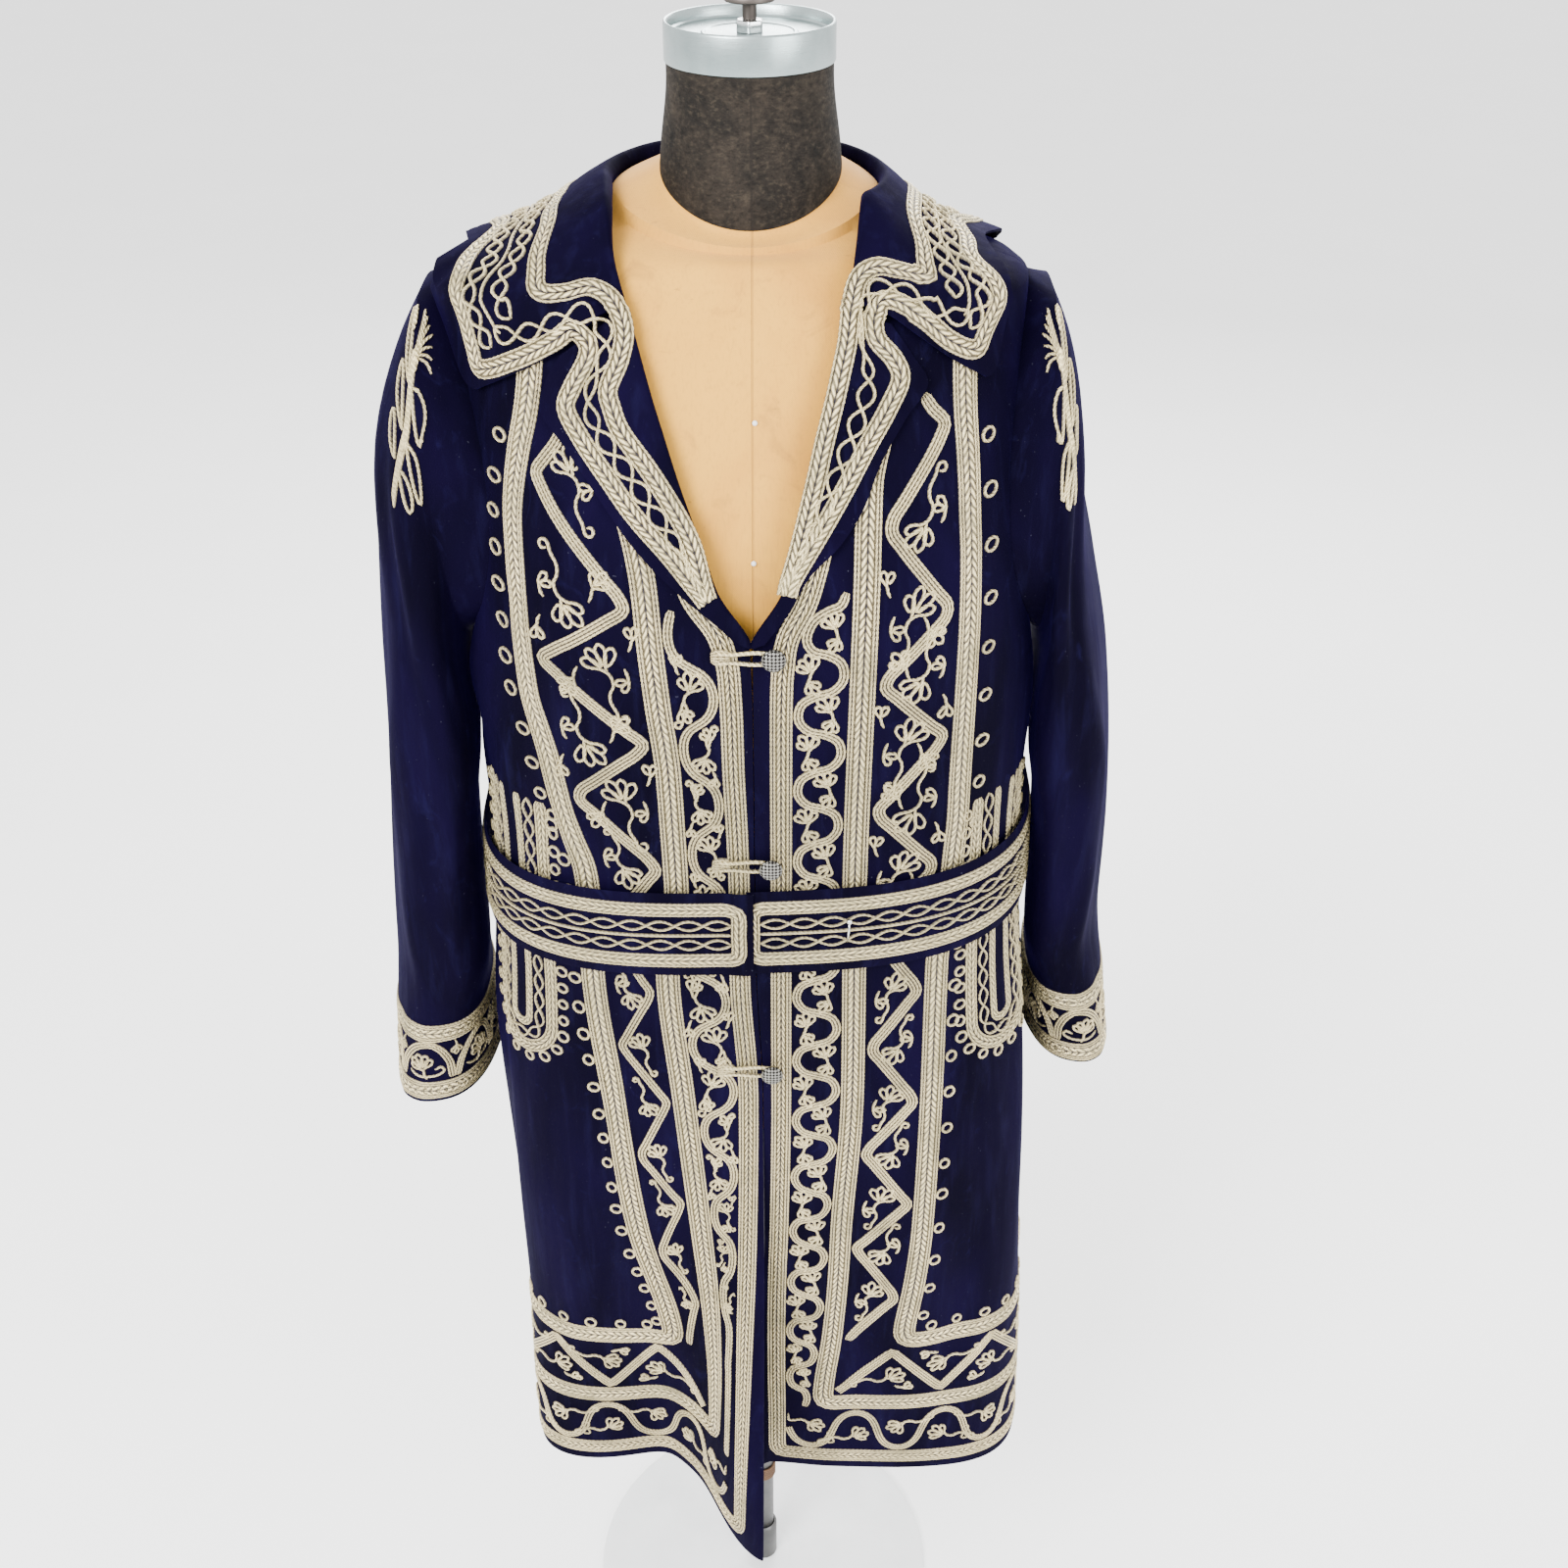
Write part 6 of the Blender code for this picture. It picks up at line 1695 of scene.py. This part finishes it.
def small_ball(name, centre, radius):
    mesh = bpy.data.meshes.new(name)
    work = bmesh.new()
    bmesh.ops.create_uvsphere(work, u_segments=20, v_segments=12, radius=radius)
    for vert in work.verts:
        vert.co += Vector(centre)
    for face in work.faces:
        face.smooth = True
    work.to_mesh(mesh)
    work.free()
    return placed(name, mesh)


def wire_wrap(name, low, turns, pitch, radius):
    angle = np.linspace(0, 2 * math.pi * turns, int(turns * 24))
    r = POLE_RADIUS + radius * 0.9
    path = level_ring(r, angle, low + pitch * angle / (2 * math.pi))
    along = unit(np.gradient(path, axis=0))
    out = unit(path * np.array([1, 1, 0]))
    side = np.cross(along, out)
    a = whole_turn(8)[:, None]
    rings = path[:, None] + radius * (out[:, None] * np.cos(a) + side[:, None] * np.sin(a))
    return capped_rings(name, rings, path[0], path[-1], sharp=80)


# Materials


class Look:
    """A material's nodes, made one after another."""

    def __init__(self, name):
        self.material = bpy.data.materials.new(name)
        self.material.use_nodes = True
        self.tree = self.material.node_tree
        self.tree.nodes.clear()
        self.shader = self.tree.nodes.new("ShaderNodeBsdfPrincipled")
        out = self.tree.nodes.new("ShaderNodeOutputMaterial")
        self.tree.links.new(self.shader.outputs[0], out.inputs["Surface"])
        self.at = self.node("TexCoord").outputs["Object"]

    def fill(self, socket, value):
        """Link a socket to another node's, or give it a value of its own."""
        if isinstance(value, bpy.types.NodeSocket):
            self.tree.links.new(value, socket)
        else:
            socket.default_value = value

    def node(self, kind, links=None, **values):
        made = self.tree.nodes.new("ShaderNode" + kind)
        for key, value in values.items():
            setattr(made, key, value)
        for key, value in (links or {}).items():
            self.fill(made.inputs[key], value)
        return made

    def math(self, operation, *values):
        return self.node("Math", dict(enumerate(values)), operation=operation).outputs[0]

    def parts(self, vector):
        return self.node("SeparateXYZ", {0: vector}).outputs

    def noise(self, scale, detail, rough=0.55, distortion=0.0, stretch=None):
        """Noise by place, drawn out along the axes by a stretch."""
        at = self.at
        if stretch is not None:
            at = self.node("Mapping", {"Vector": at, "Scale": stretch}).outputs[0]
        links = {"Vector": at, "Scale": scale, "Detail": detail, "Roughness": rough,
                 "Distortion": distortion}
        return self.node("TexNoise", links).outputs["Fac"]

    def span(self, value, low, high, to_low=0.0, to_high=1.0):
        links = {"Value": value, "From Min": low, "From Max": high, "To Min": to_low, "To Max": to_high}
        return self.node("MapRange", links, clamp=True).outputs[0]

    def mix(self, share, a, b):
        made = self.node("Mix", data_type="RGBA", blend_type="MIX")
        for key, value in (("Factor_Float", share), ("A_Color", a), ("B_Color", b)):
            self.fill(next(s for s in made.inputs if s.identifier == key), value)
        return next(s for s in made.outputs if s.identifier == "Result_Color")

    def spots(self, base, value, low, high, share, over):
        """Another colour over a base, as far as a value passes a span."""
        return self.mix(self.span(value, low, high, 0.0, share), base, over)

    def front_line(self, parts, x, low, high):
        """A thin line down the front."""
        front = self.span(parts[1], -0.02, -0.03)
        away = self.math("ABSOLUTE", self.math("SUBTRACT", parts[0], x))
        return self.math("MULTIPLY", self.span(away, low, high), front)

    def bump(self, height, distance, strength, **normal):
        links = {"Height": height, "Distance": distance, "Strength": strength, **normal}
        return self.node("Bump", links).outputs[0]

    def put(self, **sockets):
        for key, value in sockets.items():
            self.fill(self.shader.inputs[key.replace("_", " ")], value)
        return self.material

    def uv(self):
        return self.parts(self.node("TexCoord").outputs["UV"])


def colour(red, green, blue):
    """A linear colour from the usual 0 to 255 values."""
    parts = [v / 255 for v in (red, green, blue)]
    return tuple(v / 12.92 if v <= 0.04045 else ((v + 0.055) / 1.055) ** 2.4 for v in parts) + (1.0,)


def velvet_look():
    """Cotton velvet: a short pile that lies in patches, with brushed and crushed places painted a lighter
    blue for the sheen they catch.
    """
    look = Look("navy_velvet")
    brushed_sheen = (0.006, 0.0046, 0.028, 1)
    broad = look.noise(16.0, 3.0, 0.5, 0.4, (1, 1, 0.35))
    streak = look.noise(95.0, 4.0, 0.6, 0.3, (1, 1, 0.12))
    crush = look.noise(42.0, 5.0, 0.62, 1.6, (1, 1, 0.6))
    lint = look.noise(420.0, 2.0, 0.5)
    base = look.mix(look.span(broad, 0.36, 0.66), (0.001, 0.0005, 0.0042, 1), (0.0024, 0.001, 0.011, 1))
    # The pile's brushed and crushed patches are real; their lighter blue is painted sheen
    base = look.spots(base, streak, 0.52, 0.78, 0.32, brushed_sheen)
    base = look.spots(base, crush, 0.6, 0.74, 0.36, brushed_sheen)
    base = look.spots(base, lint, 0.74, 0.8, 0.1, (0.25, 0.26, 0.36, 1))
    pile = look.noise(1500.0, 2.0, 0.6, stretch=(1, 1, 0.45))
    fine = look.bump(pile, 0.0004, 0.3)
    soft = look.math("ADD", look.math("MULTIPLY", crush, 0.6), streak)
    return look.put(Base_Color=base, Roughness=look.span(streak, 0.3, 0.8, 0.86, 0.7),
                    Normal=look.bump(soft, 0.001, 0.28, Normal=fine), Sheen_Weight=0.06,
                    Sheen_Roughness=0.32, Sheen_Tint=(0.1, 0.05, 0.6, 1), Specular_IOR_Level=0.02)


def braid_look():
    """Couched metal thread: twisted strands from the UVs, with painted shade between the strands and along
    each cord's edges, tarnish by place.
    """
    look = Look("champagne_braid")
    # dark is the painted shade between the strands, and also the colour of small dark blotches
    light, dark = (0.86, 0.715, 0.39, 1), (0.028, 0.02, 0.008, 1)
    tarnish = (0.32, 0.275, 0.145, 1)
    u, v = look.uv()[:2]
    across = look.math("FRACT", u)
    odd = look.math("MODULO", look.math("FLOOR", u), 2.0)
    way = look.math("SUBTRACT", 1.0, look.math("MULTIPLY", odd, 2.0))
    plait = look.math("GREATER_THAN", u, 9.5)
    pitch = look.math("MULTIPLY_ADD", plait, 0.0022, 0.0036)
    slant = look.math("MULTIPLY", way, across)
    phase = look.math("ADD", look.math("DIVIDE", v, pitch), slant)
    wobble = look.math("MULTIPLY", look.noise(160.0, 2.0), 0.7)
    wave = look.math("SINE", look.math("MULTIPLY", look.math("ADD", phase, wobble), 2 * math.pi))
    strand = look.math("ADD", look.math("MULTIPLY", wave, 0.5), 0.5)
    edge = look.math("MULTIPLY", look.math("ABSOLUTE", look.math("SUBTRACT", across, 0.5)), 2.0)
    groove_shade = look.span(edge, 0.62, 0.97)
    thread = look.noise(2200.0, 2.0, 0.7)
    worn = look.noise(26.0, 5.0, 0.62, 0.5)
    least = look.math("MULTIPLY_ADD", plait, -0.5, 0.58)
    # Painted shade: the colour darkens in the grooves between the twisted strands, deepest on the plaits
    base = look.mix(look.math("MAXIMUM", look.span(strand, 0.1, 0.62), least), dark, light)
    base = look.spots(base, worn, 0.46, 0.7, 0.75, tarnish)
    base = look.spots(base, look.noise(190.0, 3.0, 0.6), 0.6, 0.76, 0.45, dark)
    # The braid is greyer from the waist to the chest
    height = look.parts(look.at)[2]
    waist = look.math("MULTIPLY", look.span(height, 0.72, 0.86), look.span(height, 1.16, 1.02))
    base = look.mix(look.math("MULTIPLY", waist, 0.42), base, tarnish)
    # Painted shade: each cord turns near black towards its edges, where the cords meet
    base = look.mix(look.math("MULTIPLY", groove_shade, 0.92), base, (0.014, 0.012, 0.024, 1))
    ridge = look.math("ADD", strand, look.math("MULTIPLY", thread, 0.4))
    return look.put(Base_Color=base, Metallic=0.5, Roughness=look.span(worn, 0.3, 0.7, 0.34, 0.52),
                    Normal=look.bump(ridge, 0.0009, 1.0), Specular_IOR_Level=0.5)


def linen_look():
    """Unbleached linen over the form: a fine weave, stains, scratches and a seam in front."""
    look = Look("linen_cover")
    parts = look.parts(look.at)
    warp = look.math("SINE", look.math("MULTIPLY", parts[0], 2 * math.pi / 0.0013))
    weft = look.math("SINE", look.math("MULTIPLY", parts[2], 2 * math.pi / 0.0012))
    slub = look.math("MULTIPLY", look.noise(900.0, 2.0, stretch=(1, 1, 0.08)), 1.2)
    weave = look.math("ADD", look.math("MULTIPLY", warp, weft), slub)
    broad = look.noise(9.0, 5.0, 0.6, 0.8)
    stain = look.noise(22.0, 6.0, 0.65, 1.8)
    speck = look.noise(160.0, 3.0, 0.6)
    scratch = look.noise(13.0, 7.0, 0.7, 3.0, (1, 1, 9.0))
    thread = look.noise(620.0, 2.0, stretch=(1, 1, 0.06))
    base = look.mix(look.span(broad, 0.35, 0.68), colour(204, 148, 50), colour(188, 131, 42))
    base = look.spots(base, stain, 0.58, 0.72, 0.4, colour(122, 82, 42))
    base = look.spots(base, speck, 0.71, 0.78, 0.45, colour(88, 54, 28))
    base = look.spots(base, scratch, 0.665, 0.7, 0.35, colour(98, 64, 36))
    base = look.spots(base, thread, 0.5, 0.8, 0.22, colour(120, 84, 46))
    line = look.front_line(parts, 0.0016, 0.0008, 0.0003)
    base = look.mix(look.math("MULTIPLY", line, 0.3), base, colour(96, 64, 36))
    height = look.math("SUBTRACT", look.math("MULTIPLY", weave, 0.22), look.math("MULTIPLY", line, 2.5))
    return look.put(Base_Color=base, Roughness=0.82, Normal=look.bump(height, 0.00025, 0.8),
                    Sheen_Weight=0.12, Specular_IOR_Level=0.3)


def neck_look():
    """Dark waxed cloth on the neck: worn, mottled, with a seam down its front."""
    look = Look("neck_cover")
    fleck = look.noise(240.0, 4.0, 0.7, stretch=(1, 1, 1.6))
    broad = look.span(look.noise(30.0, 6.0, 0.65, 1.2), 0.35, 0.7)
    base = look.mix(broad, colour(12, 10, 8), colour(38, 32, 26))
    base = look.spots(base, fleck, 0.52, 0.72, 0.6, colour(54, 47, 37))
    base = look.spots(base, fleck, 0.46, 0.34, 0.6, colour(5, 4, 3))
    line = look.front_line(look.parts(look.at), 0.0012, 0.0009, 0.0003)
    base = look.mix(look.math("MULTIPLY", line, 0.7), base, colour(22, 18, 15))
    weave = look.noise(1400.0, 2.0, 0.6)
    height = look.math("SUBTRACT", look.math("ADD", weave, fleck), line)
    return look.put(Base_Color=base, Roughness=look.span(fleck, 0.3, 0.7, 0.85, 0.7),
                    Normal=look.bump(height, 0.0005, 0.5), Specular_IOR_Level=0.15)


def metal_look(name, base_a, base_b, rough, scale=(1, 1, 30), metallic=1.0, depth=0.00012):
    look = Look(name)
    brush = look.noise(60.0, 5.0, 0.7, stretch=scale)
    cloud = look.noise(24.0, 4.0, 0.6)
    base = look.mix(look.span(cloud, 0.35, 0.7), base_a, base_b)
    base = look.spots(base, brush, 0.55, 0.8, 0.4, base_b)
    return look.put(Base_Color=base, Metallic=metallic, Normal=look.bump(brush, depth, 0.5),
                    Roughness=look.span(brush, 0.3, 0.8, rough, rough + 0.16))


def button_look():
    look = Look("button_checker")
    u, v = look.uv()[:2]
    a = look.math("FLOOR", look.math("ADD", u, v))
    b = look.math("FLOOR", look.math("SUBTRACT", u, v))
    odd = look.math("MODULO", look.math("ABSOLUTE", look.math("ADD", a, b)), 2.0)
    worn = look.noise(500.0, 4.0, 0.6)
    base = look.mix(odd, (0.012, 0.011, 0.01, 1), (0.24, 0.235, 0.215, 1))
    base = look.spots(base, worn, 0.5, 0.75, 0.5, (0.07, 0.065, 0.055, 1))
    return look.put(Base_Color=base, Metallic=0.9, Roughness=look.span(worn, 0.3, 0.7, 0.28, 0.5),
                    Normal=look.bump(worn, 0.0001, 0.4))


def floor_look():
    look = Look("pale_floor")
    soft = look.span(look.noise(3.0, 3.0, 0.5), 0.3, 0.7)
    return look.put(Base_Color=look.mix(soft, (0.95, 0.95, 0.95, 1), (0.97, 0.97, 0.97, 1)),
                    Roughness=0.9)


VELVET = velvet_look()
BRAID = braid_look()
LINEN = linen_look()
NECK = neck_look()
# The cap's grey metal colour carries a teal tint, which is a painted reflection
CAP = metal_look("cap_metal", (0.38, 0.44, 0.44, 1), (0.26, 0.32, 0.32, 1), 0.24)
CHROME = metal_look("nut_chrome", (0.75, 0.76, 0.76, 1), (0.58, 0.6, 0.6, 1), 0.1)
DARK = metal_look("dark_steel", (0.055, 0.045, 0.04, 1), (0.1, 0.085, 0.075, 1), 0.42, metallic=0.8)
STEEL = metal_look("pole_metal", (0.085, 0.085, 0.085, 1), (0.14, 0.135, 0.13, 1), 0.36)
WIRE = metal_look("brown_wire", (0.14, 0.075, 0.035, 1), (0.09, 0.05, 0.03, 1), 0.5, metallic=0.6)
PAINT = metal_look("pale_enamel", (0.72, 0.73, 0.73, 1), (0.66, 0.67, 0.67, 1), 0.35, (1, 1, 1),
                   0.0, 0.0001)
CHECKER = button_look()
FLOOR = floor_look()


def finish_piece(piece, look, slot, *nodes):
    piece.data.materials.append(look)
    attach(piece, "root")
    if nodes:
        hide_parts(*nodes)


def cloth_piece(made, grid, held, rests, node, closed=False):
    finish_piece(made, VELVET, "velvet", node)
    wide = np.linalg.norm(np.diff(grid, axis=1), axis=2).sum(1).max()
    if closed:
        wide += np.linalg.norm(grid[:, 0] - grid[:, -1], axis=1).max()


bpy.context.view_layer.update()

for side in (-1, 1):
    cloth_piece(*front_panel(side), "hung", ["form_torso"], f"coat_front_{SIDE_NAMES[side]}")
for side in (-1, 1):
    cloth_piece(*back_panel(side), "hung", ["form_torso"], f"coat_back_{SIDE_NAMES[side]}")
for side in (-1, 1):
    front = f"coat_front_{SIDE_NAMES[side]}"
    cloth_piece(*lapel_panel(side), "folded", [front], f"lapel_{SIDE_NAMES[side]}")
cloth_piece(*collar_panel(), "folded", ["coat_back_left"], "collar")
for side in (-1, 1):
    front = f"coat_front_{SIDE_NAMES[side]}"
    cloth_piece(*sleeve_panel(side), "hung", [front], f"sleeve_{SIDE_NAMES[side]}", closed=True)
cloth_piece(*belt_panel(), "stretched", ["coat_front_left"], "belt")

for side in (-1, 1):
    for laid in (front_braid, back_braid, trim_braid, sleeve_braid):
        finish_piece(laid(side).build(), BRAID, "metal_braid")
    pocket_node = f"pocket_braid_{SIDE_NAMES[side]}"
    finish_piece(pocket_braid(side).build(), BRAID, "metal_braid", pocket_node)
finish_piece(belt_braid().build(), BRAID, "metal_braid")
finish_piece(loop_blocks().build(), BRAID, "metal_braid")
for number in (1, 2, 3):
    finish_piece(button_piece(number), CHECKER, "button_metal", f"button_{number}")
    finish_piece(loop_piece(number), BRAID, "metal_braid", f"button_loop_{number}")

rings = torso_rings()
torso = capped_rings("torso_cover", rings, (0, 0, FORM_FOOT_Z), (0, 0, FORM_TOP_MIDDLE_Z))
finish_piece(torso, LINEN, "linen", "form_torso")
finish_piece(neck_piece(), NECK, "neck_cloth", "form_neck")
low = NECK_TOP_Z + SEAM
floor_z = CAP_TOP_Z - CAP_DEPTH
cap = turned_profile("cap_dish", (
    (0, low), (CAP_RADIUS - 0.001, low), (CAP_RADIUS - 0.0002, low + 0.0005), (CAP_RADIUS, low + 0.0012),
    (CAP_RADIUS, CAP_TOP_Z - 0.0016), (CAP_RADIUS - 0.0003, CAP_TOP_Z - 0.0006),
    (CAP_RADIUS - 0.001, CAP_TOP_Z), (CAP_RADIUS - 0.0018, CAP_TOP_Z - 0.0002),
    (CAP_RADIUS - 0.0026, CAP_TOP_Z - 0.0012), (CAP_RADIUS - 0.0032, floor_z + 0.001),
    (CAP_RADIUS - 0.0045, floor_z), (0.03, floor_z), (0.0292, floor_z + 0.0006), (0.0276, floor_z + 0.0006),
    (0.0268, floor_z), (0, floor_z)), 120, 35)
finish_piece(cap, CAP, "bright_metal", "neck_cap")
finish_piece(hex_nut(), CHROME, "bright_metal", "cap_nut")
bolt_low = floor_z + SEAM + NUT_HEIGHT + SEAM
bolt = turned_profile("cap_knob", [(r, bolt_low + z) for r, z in (
    (0, 0), (0.0044, 0), (0.0044, 0.0093), (0.006, 0.0098), (0.015, 0.0103), (0.0158, 0.011),
    (0.016, 0.0128), (0.0155, 0.0138), (0.012, 0.0165), (0.008, 0.0182), (0.004, 0.0189), (0, 0.019))],
    64, 40)
finish_piece(bolt, DARK, "dark_metal", "cap_bolt")
for number, (x, z) in enumerate(((0.0031, 1.286), (0.002, 1.2015)), 1):
    across, ahead = abs(x) / FORM("half_width", z), 1 / FORM("front", z)
    y = -float((across**FORM_SQUARE + ahead**FORM_SQUARE) ** (-1 / FORM_SQUARE))
    finish_piece(small_ball(f"pin_head_{number}", (x, y - 0.0009, z), 0.0017), PAINT, "pale_paint")

top = FORM_FOOT_Z - SEAM
pole = turned_profile("pole_tube", (
    (0, POLE_FOOT_Z), (POLE_RADIUS - 0.0005, POLE_FOOT_Z), (POLE_RADIUS, POLE_FOOT_Z + 0.0006),
    (POLE_RADIUS, 0.2), (POLE_RADIUS, 0.4), (POLE_RADIUS, top), (0, top)), 48, 40)
finish_piece(pole, STEEL, "pole_steel", "stand_pole")
foot_low = BASE_Z + SEAM
bore = POLE_RADIUS + FOOT_CLEAR
foot = np.array([
    (FOOT_RADIUS - 0.0004, foot_low), (FOOT_RADIUS, foot_low + 0.0006),
    (FOOT_RADIUS, FOOT_TOP_Z - 0.001), (FOOT_RADIUS - 0.0004, FOOT_TOP_Z - 0.0002),
    (bore + 0.0003, FOOT_TOP_Z + 0.0015), (bore, FOOT_TOP_Z), (bore, foot_low)])
grid = level_ring(foot[:, :1], whole_turn(48), foot[:, 1:])
quads = grid_quads(len(foot), 48, closed=True)
last = (len(foot) - 1) * 48
j = np.arange(48)
close = np.stack([last + j, last + (j + 1) % 48, (j + 1) % 48, j], -1)
sleeve_foot = new_object("pole_foot", grid.reshape(-1, 3), np.concatenate([quads, close]), sharp=35)
recalc(sleeve_foot)
finish_piece(sleeve_foot, STEEL, "pole_steel", "pole_collar")
plate = turned_profile("base_plate", (
    (0, 0), (BASE_RADIUS - 0.0008, 0), (BASE_RADIUS, 0.0008), (BASE_RADIUS, 0.004),
    (BASE_RADIUS - 0.0012, 0.0058), (BASE_RADIUS - 0.006, 0.0075), (0.035, 0.013),
    (0.029, 0.0145), (0.0262, 0.0158), (0.025, BASE_Z), (0, BASE_Z)), 120, 30)
finish_piece(plate, PAINT, "pale_paint", "stand_base")
finish_piece(wire_wrap("wire_wrap_low", 0.136, 6, 0.0026, 0.0012), WIRE, "pole_steel")
finish_piece(wire_wrap("wire_wrap_high", 0.177, 1, 0.002, 0.0008), WIRE, "pole_steel")

# The pin that holds the belt's end, with its round head
spot = belt_place(turn_at_x(0.0655, BELT_Z), 0.5, 0.0022)
PIN = ((-0.0008, 0, -0.0095), (0, -0.0008, 0), (0.0004, 0, 0.007))
PIN_HEAD = (0.0004, -0.0004, 0.0085)
finish_piece(round_cord("belt_pin", spot + PIN, 0.0008), CHROME, "bright_metal")
finish_piece(small_ball("belt_pin_head", spot + PIN_HEAD, 0.0021), CHROME, "bright_metal")

# Floor, light and camera
corners = [(-20, -20, 0), (20, -20, 0), (20, 20, 0), (-20, 20, 0)]
floor = new_object("floor", corners, [(0, 1, 2, 3)])
floor.data.materials.append(FLOOR)

world = bpy.data.worlds.new("studio")
bpy.context.scene.world = world
world.use_nodes = True
sky = world.node_tree.nodes["Background"].inputs
sky["Color"].default_value = (1, 1, 1, 1)
sky["Strength"].default_value = 2.2


def soft_light(name, place, target, size, power):
    light = bpy.data.lights.new(name, "AREA")
    light.shape = "RECTANGLE"
    light.size, light.size_y = size
    light.energy = power
    made = placed(name, light)
    made.location = place
    made.rotation_euler = (Vector(target) - Vector(place)).to_track_quat("-Z", "Y").to_euler()


soft_light("key", (-1.6, -2.4, 2.9), (0, 0, 1.0), (1.6, 1.6), 260)
soft_light("fill", (2.2, -2.0, 1.9), (0, 0, 0.9), (1.8, 1.8), 100)
soft_light("back", (0.6, 2.6, 2.6), (0, 0, 1.1), (2.0, 1.2), 140)

# The photo's camera: focal length and width of the picture in pixels, tilt down in degrees
FOCAL, PICTURE, TILT = 1931, 1600, 32.4
camera = bpy.data.cameras.new("camera")
camera.sensor_width = 36.0
camera.lens = camera.sensor_width * FOCAL / PICTURE
view = placed("camera", camera)
view.location = (0.021, -1.2233, 1.722)
view.rotation_euler = (math.radians(90 - TILT), 0, 0)
bpy.context.scene.camera = view
